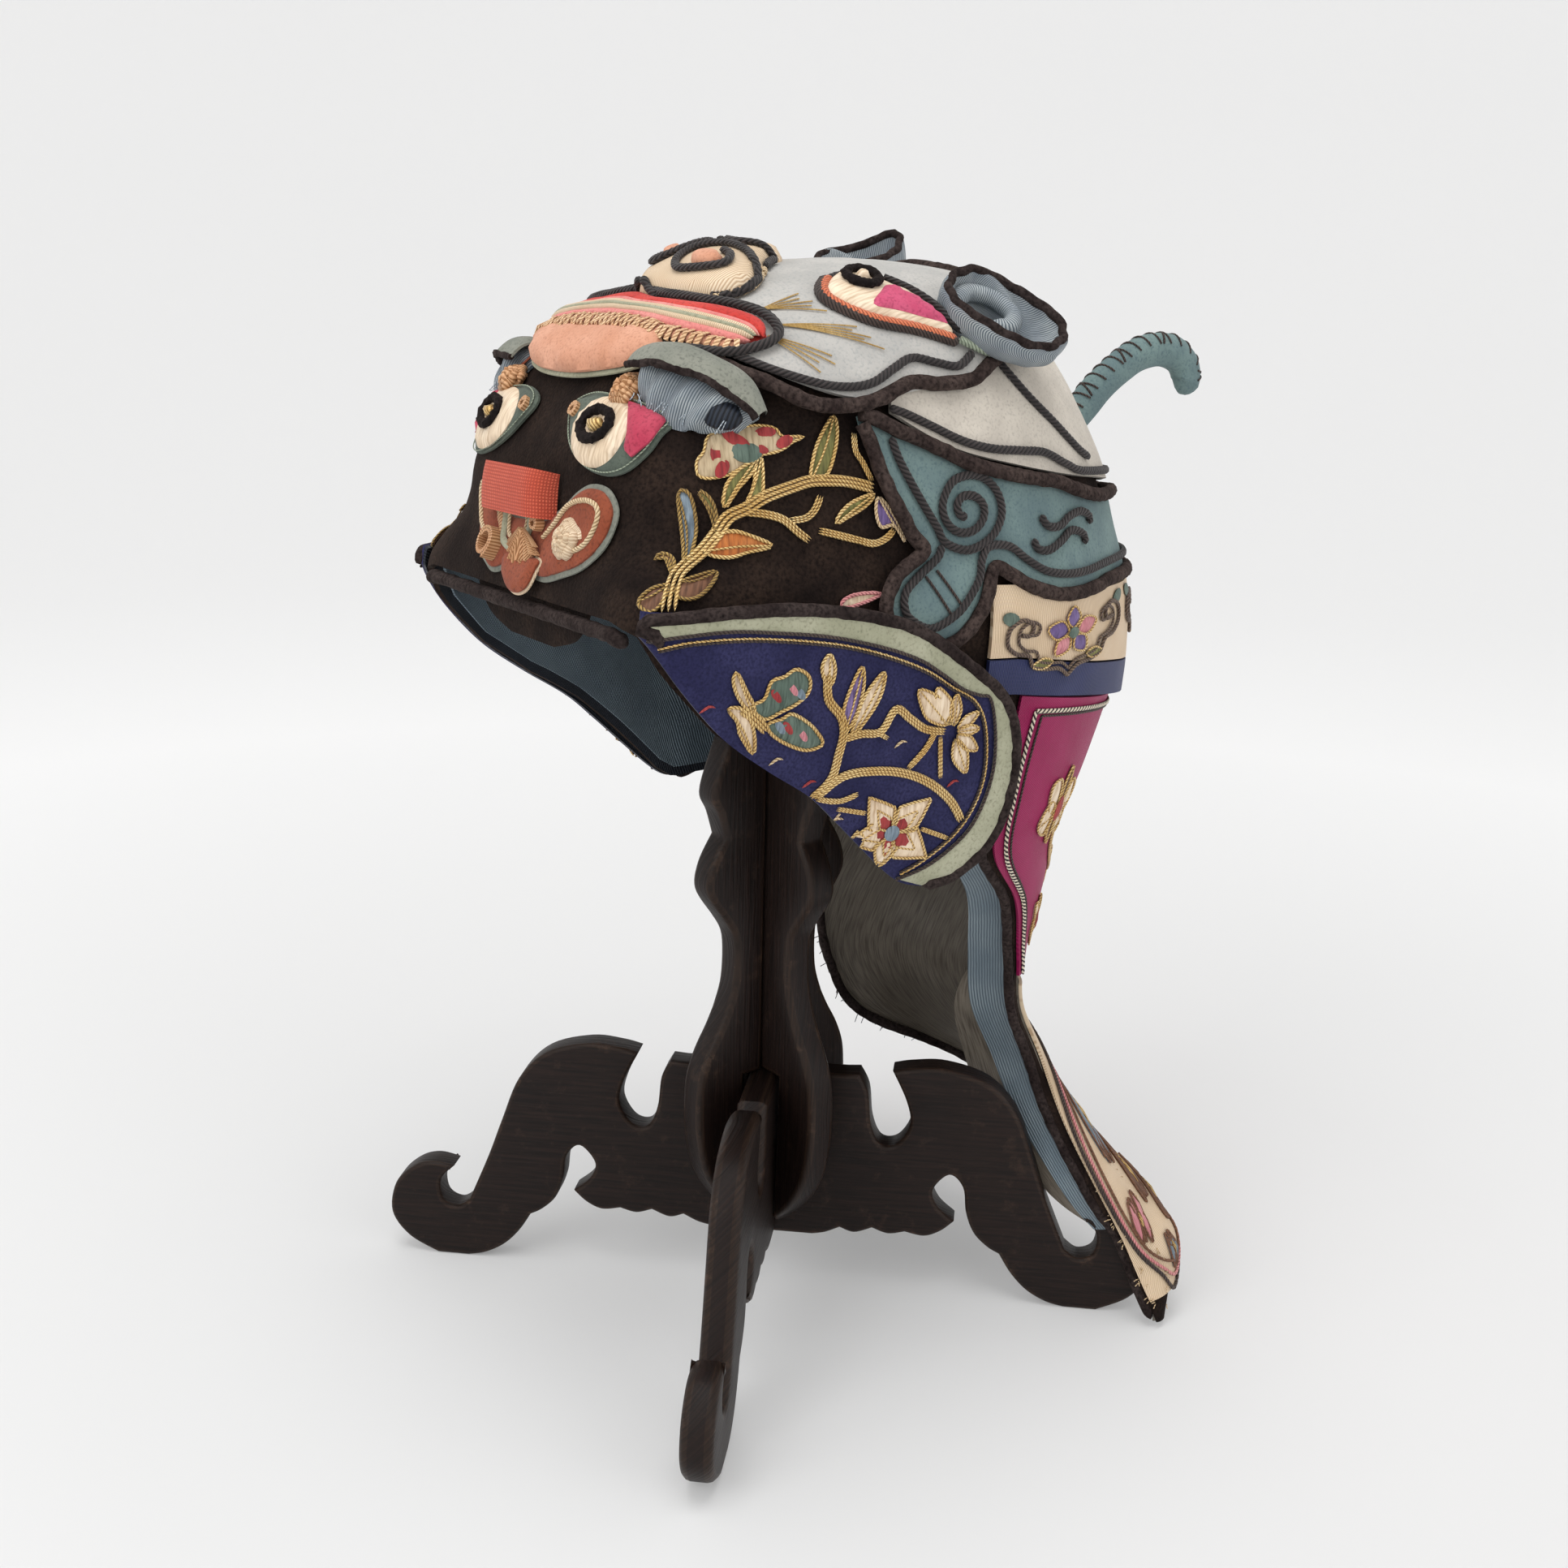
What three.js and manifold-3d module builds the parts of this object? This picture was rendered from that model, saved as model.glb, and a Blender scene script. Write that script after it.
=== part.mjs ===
// Child's tiger hood with a long nape cape, standing on a carved wooden hat stand.
// Millimetres, +Z up. The tiger looks along -Y, and +X is the wearer's left side.

import * as THREE from 'three';
import { mergeVertices } from 'three/addons/utils/BufferGeometryUtils.js';
import Module from 'manifold-3d';

const wasm = await Module();
wasm.setup();

// ---------------------------------------------------------------- driving sizes

const CLEAR = 0.3; // gap kept between two pieces that touch

const BOARD = 9; // thickness of the four boards of the stand
const LEG_ANGLE = THREE.MathUtils.degToRad(50.5); // first leg board, from +X towards +Y
const HUB_TOP = 71.5; // height of the leg boards where they cross
const LEG_LAP = 45; // height where the two leg boards are halved together
const POST_LAP = 180; // height where the two post boards are halved together
const POST_TOP = 287;
const CAP_RADIUS = 24;
const CAP_TOP = 297.2;

const CLOTH = 2; // padded velvet wall of the hood
const LINING = 1; // silk lining with its wadding
const CROWN_MID_Y = 15; // widest place of the crown, from the stand's axis
const CROWN_HEART = new THREE.Vector3(0, CROWN_MID_Y, 225); // point from which trim is laid outwards

// Horizontal sections of the hood from its top to the neck. Front and back are y values on the
// middle plane, square is how boxy that half is: 2 is an ellipse, more is squarer.
const CROWN_SECTIONS = [
  { z: 304.5, halfWidth: 0.5, front: 19.5, back: 20.5, squareFront: 2, squareBack: 2 },
  { z: 303.2, halfWidth: 19, front: -3, back: 43, squareFront: 2.1, squareBack: 2 },
  { z: 299.2, halfWidth: 35, front: -25, back: 58, squareFront: 2.4, squareBack: 2.1 },
  { z: 291.5, halfWidth: 48, front: -44, back: 68, squareFront: 2.9, squareBack: 2.2 },
  { z: 280, halfWidth: 57, front: -59, back: 77, squareFront: 3.8, squareBack: 2.2 },
  { z: 267, halfWidth: 63, front: -69, back: 84, squareFront: 4.6, squareBack: 2.3 },
  { z: 253, halfWidth: 67, front: -75, back: 92, squareFront: 4.8, squareBack: 2.3 },
  { z: 237, halfWidth: 69.5, front: -77, back: 98, squareFront: 6, squareBack: 2.3 },
  { z: 221, halfWidth: 73, front: -82, back: 103, squareFront: 12, squareBack: 2.3 },
  { z: 201, halfWidth: 72, front: -81, back: 106, squareFront: 12, squareBack: 2.3 },
  { z: 181, halfWidth: 69, front: -79, back: 106, squareFront: 8, squareBack: 2.3 },
  { z: 160, halfWidth: 66, front: -77, back: 104, squareFront: 6, squareBack: 2.3 },
  { z: 138, halfWidth: 63, front: -76, back: 102, squareFront: 6, squareBack: 2.3 },
];

// Height of the hood's lower edge round the head, by the angle from the middle of the brow.
const RIM = [
  { angle: 0, z: 221.5 },
  { angle: 30, z: 221.5 },
  { angle: 35, z: 219 },
  { angle: 39, z: 207 },
  { angle: 43, z: 195 },
  { angle: 48.5, z: 185 },
  { angle: 56, z: 176 },
  { angle: 64, z: 164 },
  { angle: 73, z: 151 },
  { angle: 77, z: 148 },
  { angle: 96, z: 149 },
  { angle: 99, z: 199 },
  { angle: 125, z: 195 },
  { angle: 150, z: 190 },
  { angle: 180, z: 188 },
];

// Columns of the hood's wall, closer together round the brow's corner.
const WALL_ANGLES = [0, 10, 20, 28, 32, 36, 40, 45, 52, 60, 69, 77, 86, 96, 99, 108, 118, 129, 141,
  154, 167, 180];

// The nape cape from the neck to its tip: each row is half an ellipse from the near edge round
// the back to the far edge. It hangs as a trough and turns round the toe of one leg at its tip.
const CAPE_ROWS = [
  { near: [70.5, 30, 197], back: [0, 103, 186.5], far: [-70.5, 30, 197] },
  { near: [65, 30, 170], back: [2, 94, 166], far: [-65, 30, 170] },
  { near: [60, 33, 150], back: [2, 86.5, 148], far: [-59, 36, 149] },
  { near: [51, 50, 131], back: [0, 80.5, 128], far: [-49, 46, 125] },
  { near: [42, 60, 110], back: [-6, 74, 108], far: [-46, 48, 103] },
  { near: [40, 64, 91], back: [-11, 73, 89], far: [-45, 52, 82] },
  { near: [43, 70, 74], back: [-4, 82, 70], far: [-41, 64, 62] },
  { near: [55, 69, 59], back: [30, 90, 54], far: [-14, 88, 51] },
  { near: [70, 74, 38], back: [61, 95, 36], far: [36, 99, 38] },
  { near: [76, 79.5, 26], back: [77, 92.5, 28.5], far: [66, 98.5, 29] },
  { near: [80, 83.3, 14], back: [80, 96.5, 18], far: [70, 102, 18] },
  { near: [87, 86.5, 2.5], back: [86, 90, 2.3], far: [84.5, 90, 2.5] },
];

// Places down the cape, from its top (0) to its tip (1), where its surface bends.
const CAPE_PLACES = [0, 0.05, 0.1, 0.15, 0.2, 0.25, 0.3, 0.35, 0.4, 0.45, 0.5, 0.55, 0.59, 0.62, 0.65,
  0.68, 0.71, 0.74, 0.77, 0.81, 0.85, 0.89, 0.93, 0.965, 1];

// The turned-back ear flap on the hood's side: each row runs from the crease to the free edge,
// as y and z on the side wall, and stand is how far the free edge stands off the wall.
const FLAP_ROWS = [
  { creaseY: -79, creaseZ: 219.5, freeY: -77.5, freeZ: 224, stand: 1 },
  { creaseY: -71, creaseZ: 207, freeY: -58, freeZ: 225, stand: 2 },
  { creaseY: -60, creaseZ: 195, freeY: -35, freeZ: 224, stand: 2.5 },
  { creaseY: -47, creaseZ: 185.5, freeY: -11, freeZ: 219, stand: 3 },
  { creaseY: -33, creaseZ: 176.5, freeY: 9, freeZ: 208, stand: 3.5 },
  { creaseY: -24, creaseZ: 168.5, freeY: 23, freeZ: 196, stand: 4 },
  { creaseY: -15, creaseZ: 160, freeY: 28, freeZ: 178, stand: 4.5 },
  { creaseY: -8, creaseZ: 153.5, freeY: 25, freeZ: 160, stand: 4 },
  { creaseY: -3, creaseZ: 149.5, freeY: 15, freeZ: 149.5, stand: 2.5 },
  { creaseY: 0, creaseZ: 148, freeY: 5, freeZ: 147, stand: 1 },
];
const FLAP_THICKNESS = 2.6;

// The big tiger's face over the top of the crown: guide points on the middle plane and the edge.
const FACE_ROWS = [
  { middle: [0, -50, 289], edge: [28, -51, 285] },
  { middle: [0, -41, 294], edge: [47, -46, 281] },
  { middle: [0, -28, 298], edge: [57, -35, 276] },
  { middle: [0, -12, 302], edge: [61, -19, 272] },
  { middle: [0, 4, 303], edge: [61, 1, 274.5] },
  { middle: [0, 18, 303], edge: [58, 20, 278] },
  { middle: [0, 30, 302], edge: [50, 34, 285] },
  { middle: [0, 38, 300], edge: [34, 41, 295] },
];

// The layered lips across the front of the face.
const MOUTH_ROWS = [
  { middle: [0, -54, 286], edge: [47, -40, 286] },
  { middle: [0, -48, 291], edge: [49, -35, 288] },
  { middle: [0, -42, 294], edge: [46, -31, 293] },
];

// The saddle-shaped back panel behind the face, down to the root of the tail.
const SADDLE_ROWS = [
  { middle: [0, 18, 303], edge: [62, -8, 269] },
  { middle: [0, 34, 301], edge: [65, 6, 262] },
  { middle: [0, 50, 296], edge: [65.5, 24, 257] },
  { middle: [0, 64, 286], edge: [60, 48, 252] },
  { middle: [0, 77, 270], edge: [46, 72, 249] },
  { middle: [0, 87, 256], edge: [28, 86, 247] },
  { middle: [0, 89, 251], edge: [12, 91, 247] },
];

// Panels round the hood's wall: top and bottom heights by the plan angle from the brow's middle.
const HAUNCH = [
  { angle: 64.5, top: 267.5, bottom: 262 },
  { angle: 67, top: 266, bottom: 255 },
  { angle: 69.5, top: 264.5, bottom: 216 },
  { angle: 74, top: 262.5, bottom: 213 },
  { angle: 80, top: 260, bottom: 212.5 },
  { angle: 86, top: 258, bottom: 216 },
  { angle: 90.5, top: 256.5, bottom: 223 },
  { angle: 94, top: 255.5, bottom: 230.5 },
  { angle: 102, top: 253.5, bottom: 229 },
  { angle: 113, top: 251, bottom: 226 },
  { angle: 126, top: 248.5, bottom: 224 },
  { angle: 142, top: 246.5, bottom: 223 },
  { angle: 160, top: 245, bottom: 223 },
  { angle: 178, top: 244.5, bottom: 223 },
];
const CREAM_BAND = [
  { angle: 93, top: 226.5, bottom: 208 },
  { angle: 101, top: 226, bottom: 207.6 },
  { angle: 125, top: 222.5, bottom: 203 },
  { angle: 150, top: 222, bottom: 198.5 },
  { angle: 180, top: 222, bottom: 196.5 },
];
const NAVY_BAND = [
  { angle: 93, top: 207.4, bottom: 200.4 },
  { angle: 101, top: 207, bottom: 200 },
  { angle: 125, top: 202.4, bottom: 196 },
  { angle: 150, top: 197.9, bottom: 191 },
  { angle: 180, top: 195.9, bottom: 189 },
];

// Middle line of the stuffed tail, from its root on the hood to its curled end.
const TAIL_ROUTE = [
  [0, 97.2, 257.5], [0, 105.8, 263.5], [0, 115.5, 273], [0, 123.4, 279], [0, 131.4, 283.6],
  [0, 138.5, 285.4], [0, 146, 285], [0, 152, 281.5], [0, 154, 276], [0, 150.5, 271.5],
];
const TAIL_RADIUS = 4.2;

// Guide points of the big ears, which sit a little askew: the left one stands on the face panel's
// corner, the right one on the saddle panel. Lift is the height of its foot over the velvet.
const EAR_SEATS = {
  left: { guide: [45, 35, 287], lift: 4.7 },
  right: { guide: [-38, 51, 290], lift: 2.5 },
};

// ---------------------------------------------------------------- shaping helpers

// Value of one column of a table at a place between its first row (0) and its last (1).
function along(rows, column, place) {
  const x = THREE.MathUtils.clamp(place, 0, 1) * (rows.length - 1);
  const i = Math.min(Math.floor(x), rows.length - 2);
  const value = (k) => rows[THREE.MathUtils.clamp(k, 0, rows.length - 1)][column];
  const f = x - i;
  const slopeIn = (value(i + 1) - value(i - 1)) / 2;
  const slopeOut = (value(i + 2) - value(i)) / 2;
  const rise = value(i + 1) - value(i);
  const bend = 3 * rise - 2 * slopeIn - slopeOut;
  const curl = slopeIn + slopeOut - 2 * rise;
  return value(i) + slopeIn * f + bend * f * f + curl * f * f * f;
}

// Straight-line value of one column of a table, looked up by another column that rises.
function lookUp(rows, key, column, at) {
  const last = rows[rows.length - 1];
  if (at >= last[key]) return last[column];
  const i = Math.max(1, rows.findIndex((row) => row[key] > at));
  const f = (at - rows[i - 1][key]) / (rows[i][key] - rows[i - 1][key]);
  return THREE.MathUtils.lerp(rows[i - 1][column], rows[i][column], THREE.MathUtils.clamp(f, 0, 1));
}

// Closed geometry from points and triangles, turned to face outwards.
function solid(points, faces) {
  let volume = 0;
  for (const [a, b, c] of faces) {
    volume += points[a].dot(new THREE.Vector3().crossVectors(points[b], points[c]));
  }
  const index = faces.flatMap(([a, b, c]) => (volume > 0 ? [a, b, c] : [a, c, b]));
  const geometry = new THREE.BufferGeometry().setFromPoints(points);
  geometry.setIndex(index);
  geometry.computeVertexNormals();
  return geometry;
}

// Triangles of a grid of points whose rows all have the same length.
function gridFaces(rowCount, columnCount, start, flip) {
  const faces = [];
  for (let i = 0; i < rowCount - 1; i += 1) {
    for (let j = 0; j < columnCount - 1; j += 1) {
      const a = start + i * columnCount + j;
      const b = a + 1;
      const c = a + columnCount;
      const d = c + 1;
      faces.push(flip ? [a, c, b] : [a, b, c], flip ? [b, c, d] : [b, d, c]);
    }
  }
  return faces;
}

// Sheet between two grids of points, closed round its border.
function slab(outer, inner) {
  const rowCount = outer.length;
  const columnCount = outer[0].length;
  const shift = rowCount * columnCount;
  const faces = [
    ...gridFaces(rowCount, columnCount, 0, false),
    ...gridFaces(rowCount, columnCount, shift, true),
  ];
  const border = [];
  for (let j = 0; j < columnCount; j += 1) border.push(j);
  for (let i = 1; i < rowCount; i += 1) border.push(i * columnCount + columnCount - 1);
  for (let j = columnCount - 2; j >= 0; j -= 1) border.push((rowCount - 1) * columnCount + j);
  for (let i = rowCount - 2; i > 0; i -= 1) border.push(i * columnCount);
  border.forEach((a, k) => {
    const b = border[(k + 1) % border.length];
    faces.push([a, a + shift, b], [b, a + shift, b + shift]);
  });
  return solid([...outer.flat(), ...inner.flat()], faces);
}

// Three.js geometry to a manifold-3d solid and back, for cuts.
function toManifold(geometry) {
  const bare = geometry.clone();
  bare.deleteAttribute('normal');
  bare.deleteAttribute('uv');
  const merged = mergeVertices(bare, 1e-4);
  return new wasm.Manifold(new wasm.Mesh({
    numProp: 3,
    vertProperties: merged.attributes.position.array,
    triVerts: new Uint32Array(merged.index.array),
  }));
}

function fromManifold(body) {
  const mesh = body.getMesh();
  const geometry = new THREE.BufferGeometry();
  geometry.setAttribute('position', new THREE.BufferAttribute(mesh.vertProperties, 3));
  geometry.setIndex(new THREE.BufferAttribute(mesh.triVerts, 1));
  geometry.computeVertexNormals();
  return geometry;
}

function box(x0, x1, y0, y1, z0, z1) {
  return new THREE.BoxGeometry(x1 - x0, y1 - y0, z1 - z0)
    .translate((x0 + x1) / 2, (y0 + y1) / 2, (z0 + z1) / 2);
}

// ---------------------------------------------------------------- the hood's surface

const SECTION_SAMPLES = 400;
const crownSamples = Array.from({ length: SECTION_SAMPLES + 1 }, (_, i) => {
  const place = i / SECTION_SAMPLES;
  const row = {};
  for (const column of Object.keys(CROWN_SECTIONS[0])) {
    row[column] = along(CROWN_SECTIONS, column, place);
  }
  return row;
});

function crownSection(z) {
  let low = 0;
  let high = SECTION_SAMPLES;
  while (high - low > 1) {
    const middle = (low + high) >> 1;
    if (crownSamples[middle].z > z) low = middle;
    else high = middle;
  }
  const a = crownSamples[low];
  const b = crownSamples[high];
  const f = THREE.MathUtils.clamp((a.z - z) / (a.z - b.z), 0, 1);
  const row = {};
  for (const column of Object.keys(a)) row[column] = THREE.MathUtils.lerp(a[column], b[column], f);
  return row;
}

// Less than 1 inside the hood, 1 on its surface.
function crownFill(point) {
  if (point.z >= CROWN_SECTIONS[0].z) return 10 + point.z;
  const s = crownSection(point.z);
  const toFront = point.y < CROWN_MID_Y;
  const reach = toFront ? CROWN_MID_Y - s.front : s.back - CROWN_MID_Y;
  const power = toFront ? s.squareFront : s.squareBack;
  const across = Math.abs(point.x) / s.halfWidth;
  const lengthwise = Math.abs(point.y - CROWN_MID_Y) / reach;
  return (across ** power + lengthwise ** power) ** (1 / power);
}

function crownNormal(point) {
  const step = 0.15;
  const slope = (dx, dy, dz) => {
    const ahead = point.clone().add(new THREE.Vector3(dx, dy, dz));
    const behind = point.clone().sub(new THREE.Vector3(dx, dy, dz));
    return crownFill(ahead) - crownFill(behind);
  };
  if (point.z > CROWN_SECTIONS[0].z - 1) return new THREE.Vector3(0, 0, 1);
  return new THREE.Vector3(slope(step, 0, 0), slope(0, step, 0), slope(0, 0, step)).normalize();
}

// The place on the hood's surface straight out from its heart through a guide point.
function onCrown(x, y, z) {
  const direction = new THREE.Vector3(x, y, z).sub(CROWN_HEART).normalize();
  let inside = 5;
  let outside = 170;
  for (let i = 0; i < 26; i += 1) {
    const middle = (inside + outside) / 2;
    if (crownFill(CROWN_HEART.clone().addScaledVector(direction, middle)) < 1) inside = middle;
    else outside = middle;
  }
  return CROWN_HEART.clone().addScaledVector(direction, inside);
}

// The place on the hood at a height, at a plan angle from the middle of the brow.
function crownAtAngle(degrees, z, side) {
  const s = crownSection(z);
  const angle = THREE.MathUtils.degToRad(degrees);
  const toFront = Math.cos(angle) > 0;
  const reach = toFront ? CROWN_MID_Y - s.front : s.back - CROWN_MID_Y;
  const power = toFront ? s.squareFront : s.squareBack;
  const across = Math.abs(Math.sin(angle)) / s.halfWidth;
  const lengthwise = Math.abs(Math.cos(angle)) / reach;
  const radius = (across ** power + lengthwise ** power) ** (-1 / power);
  return new THREE.Vector3(side * radius * Math.sin(angle), CROWN_MID_Y - radius * Math.cos(angle), z);
}

function lifted(point, height) {
  return point.clone().addScaledVector(crownNormal(point), height);
}

// The place on the hood's side wall at a y and a z.
function onSide(y, z, side) {
  const s = crownSection(z);
  const toFront = y < CROWN_MID_Y;
  const reach = toFront ? CROWN_MID_Y - s.front : s.back - CROWN_MID_Y;
  const power = toFront ? s.squareFront : s.squareBack;
  const share = Math.min(Math.abs(y - CROWN_MID_Y) / reach, 0.999);
  return new THREE.Vector3(side * s.halfWidth * (1 - share ** power) ** (1 / power), y, z);
}

// Direction part of the way round from one guide point to another, seen from the hood's heart.
function between(from, to, share) {
  const a = new THREE.Vector3(...from).sub(CROWN_HEART).normalize();
  const b = new THREE.Vector3(...to).sub(CROWN_HEART).normalize();
  const angle = a.angleTo(b);
  const mix = a.clone().multiplyScalar(Math.sin((1 - share) * angle))
    .addScaledVector(b, Math.sin(share * angle));
  return mix.normalize().add(CROWN_HEART);
}

// Felt panel over the crown, the same on both sides of the middle plane.
function crownPanel(rows, rowCount, columnCount, low, high) {
  const grid = (height) => Array.from({ length: rowCount + 1 }, (_, i) => (
    Array.from({ length: columnCount + 1 }, (__, j) => {
      const across = (2 * j) / columnCount - 1;
      const guide = (name) => [0, 1, 2].map((axis) => (
        along(rows.map((row) => ({ v: row[name][axis] })), 'v', i / rowCount)));
      const [x, y, z] = guide('edge');
      const aim = between(guide('middle'), [Math.sign(across) * x, y, z], Math.abs(across));
      return lifted(onCrown(aim.x, aim.y, aim.z), height);
    })
  ));
  return slab(grid(high), grid(low));
}

// Panel round the hood's wall from a table of its top and bottom, at a list of plan angles.
// An angle over 180 is on the other side.
function wallPanel(table, angles, rowCount, low, high) {
  const grid = (height) => Array.from({ length: rowCount + 1 }, (_, i) => (
    angles.map((angle) => {
      const turn = Math.min(angle, 360 - angle);
      const top = lookUp(table, 'angle', 'top', turn);
      const bottom = lookUp(table, 'angle', 'bottom', turn);
      const z = THREE.MathUtils.lerp(top, bottom, i / rowCount);
      return lifted(crownAtAngle(turn, z, angle > 180 ? -1 : 1), height);
    })
  ));
  return slab(grid(high), grid(low));
}

// Pad laid on the crown round a guide point. The outline gives its radius for each angle, and
// crown is how much higher its middle is than its edge.
function pad(centre, spin, outline, low, high, crown = 0, spokes = 18) {
  const middle = onCrown(...centre);
  const normal = crownNormal(middle);
  const level = new THREE.Vector3(0, 0, 1).cross(normal).normalize();
  const rise = normal.clone().cross(level);
  const rings = [0.5, 1];
  const spot = (angle, share, height) => {
    const radius = outline(angle) * share;
    const guide = middle.clone()
      .addScaledVector(level, radius * Math.cos(angle + spin))
      .addScaledVector(rise, radius * Math.sin(angle + spin));
    return lifted(onCrown(guide.x, guide.y, guide.z), height);
  };
  const points = [lifted(middle, high + crown), lifted(middle, low)];
  for (const share of rings) {
    for (let k = 0; k < spokes; k += 1) {
      const angle = (k / spokes) * 2 * Math.PI;
      points.push(spot(angle, share, high + crown * (1 - share * share)), spot(angle, share, low));
    }
  }
  const at = (ring, k, under) => 2 + (ring * spokes + (k % spokes)) * 2 + (under ? 1 : 0);
  const faces = [];
  for (let k = 0; k < spokes; k += 1) {
    faces.push([0, at(0, k, false), at(0, k + 1, false)], [1, at(0, k + 1, true), at(0, k, true)]);
    for (const under of [false, true]) {
      const [a, b, c, d] = [at(0, k, under), at(1, k, under), at(0, k + 1, under), at(1, k + 1, under)];
      faces.push(...(under ? [[a, c, b], [b, c, d]] : [[a, b, c], [b, d, c]]));
    }
    const [e, f, g, h] = [at(1, k, false), at(1, k + 1, false), at(1, k, true), at(1, k + 1, true)];
    faces.push([e, g, f], [f, g, h]);
  }
  return solid(points, faces);
}

const ellipse = (a, b) => (angle) => (a * b) / Math.hypot(b * Math.cos(angle), a * Math.sin(angle));

// A round eye drawn out to a point on the side where the angle is 0.
const teardrop = (radius, length) => (angle) => {
  const turn = Math.abs(Math.atan2(Math.sin(angle), Math.cos(angle)));
  return radius + (length - radius) * Math.max(0, 1 - turn / 0.9) ** 1.6;
};

// Round cord or piping along a smooth route of points.
function tube(points, radius, sides, steps) {
  const section = new THREE.Shape();
  section.absarc(0, 0, radius, 0, 2 * Math.PI, false);
  return new THREE.ExtrudeGeometry(section, {
    steps,
    extrudePath: new THREE.CatmullRomCurve3(points),
    bevelEnabled: false,
    curveSegments: sides,
  });
}

// ---------------------------------------------------------------- stand

// Half of a leg board's outline in smooth stretches, each [distance from the axis, height] from
// the middle of the underside out to the curled foot and back to the middle of the top.
const LEG_OUTLINE = [
  { stretch: 'under the hub', points: [[16, 17.5], [20, 18.4], [24.5, 20.5]] },
  { stretch: 'first scallop', points: [[29, 19.2], [34.5, 21.2]] },
  { stretch: 'second scallop', points: [[39.5, 19.7], [44.6, 20.8]] },
  { stretch: 'third scallop', points: [[50.5, 19.9], [55.5, 22], [59.5, 25.6]] },
  { stretch: 'round notch behind the leg',
    points: [[54.5, 30], [52.7, 35.5], [57.5, 41], [61.8, 37], [63, 29], [65.5, 22.5], [69.7, 18.2],
      [73.6, 16]] },
  { stretch: 'heel', points: [[77.5, 9.8], [82.5, 4.6], [88.5, 1.3], [94, 0]] },
  { stretch: 'flat sole', points: [[104, 0]] },
  { stretch: 'curled toe',
    points: [[113.5, 5], [119, 13], [117.5, 23], [111.5, 29.4], [105, 31.6], [98.3, 30.4]] },
  { stretch: 'inside of the curl', points: [[102.6, 25.5], [102, 19], [97.5, 16.8], [93.4, 19.5]] },
  { stretch: 'shin and shoulder',
    points: [[87, 35], [82.5, 47.5], [76.8, 62], [68, 71.4], [55, 75.3], [45, 74.8], [39, 73.5]] },
  { stretch: 'round notch beside the hub',
    points: [[43.5, 64], [44.8, 56.5], [41, 50], [36, 49.6], [33, 56], [31.8, 66], [29, 71.8]] },
  { stretch: 'top of the hub', points: [[25, HUB_TOP]] },
];

// Half outline of a post board: a vase below, two rings and a plain neck.
const POST_OUTLINE = [
  { stretch: 'foot', points: [[7, 22]] },
  { stretch: 'vase, rings and neck',
    points: [[17, 30.5], [24.5, 42], [27.7, 56], [27.7, 71], [25, 80], [20.5, 88], [18, 93],
      [15.3, 102], [15.3, 115], [19, 122], [25, 131], [24, 139], [19.3, 147], [21.5, 154],
      [24, 160], [21, 170], [16, 182], [15, 200], [15, 266], [19, 279], [23, POST_TOP]] },
];

// Board outline that is the same on both sides of the axis.
function mirroredShape(outline) {
  const right = [];
  for (const { points } of outline) {
    const route = points.map(([r, z]) => new THREE.Vector2(r, z));
    if (right.length) route.unshift(right[right.length - 1]);
    const stretch = route.length > 2 ? new THREE.SplineCurve(route).getPoints(2 * route.length - 2) : route;
    right.push(...(right.length ? stretch.slice(1) : stretch));
  }
  const left = right.map((p) => new THREE.Vector2(-p.x, p.y)).reverse();
  return new THREE.Shape([...right, ...left]);
}

// Upright board cut to an outline, centred on its thickness, standing along +X.
function uprightBoard(outline) {
  return new THREE.ExtrudeGeometry(mirroredShape(outline), { depth: BOARD, bevelEnabled: false })
    .translate(0, 0, -BOARD / 2)
    .rotateX(Math.PI / 2);
}

const SLOT = BOARD + 2 * CLEAR;

function legBoard(slotUpwards) {
  const board = toManifold(uprightBoard(LEG_OUTLINE));
  const slot = slotUpwards
    ? box(-SLOT / 2, SLOT / 2, -20, 20, LEG_LAP, 100)
    : box(-SLOT / 2, SLOT / 2, -20, 20, -20, LEG_LAP + CLEAR);
  return fromManifold(board.subtract(toManifold(slot)));
}

function postBoard(slotUpwards) {
  const hubHeight = HUB_TOP + CLEAR;
  const crossing = box(-SLOT / 2, SLOT / 2, -60, 60, 0, hubHeight);
  const board = toManifold(uprightBoard(POST_OUTLINE))
    .subtract(toManifold(crossing.clone().rotateZ(Math.PI / 4)))
    .subtract(toManifold(crossing.clone().rotateZ(-Math.PI / 4)));
  const slot = slotUpwards
    ? box(-SLOT / 2, SLOT / 2, -20, 20, POST_LAP, 400)
    : box(-SLOT / 2, SLOT / 2, -20, 20, -20, POST_LAP + CLEAR);
  return fromManifold(board.subtract(toManifold(slot)));
}

// Plain domed cap that carries the crown from inside.
function hatRest() {
  const base = POST_TOP + CLEAR;
  const profile = [new THREE.Vector2(0, base), new THREE.Vector2(CAP_RADIUS, base)];
  const edge = base + 3;
  const domeSteps = 5;
  for (let i = 0; i < domeSteps; i += 1) {
    const angle = (i / domeSteps) * Math.PI / 2;
    profile.push(new THREE.Vector2(CAP_RADIUS * Math.cos(angle), edge + (CAP_TOP - edge) * Math.sin(angle)));
  }
  profile.push(new THREE.Vector2(0, CAP_TOP));
  return new THREE.LatheGeometry(profile, 24).rotateX(Math.PI / 2);
}

// ---------------------------------------------------------------- hood

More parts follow.
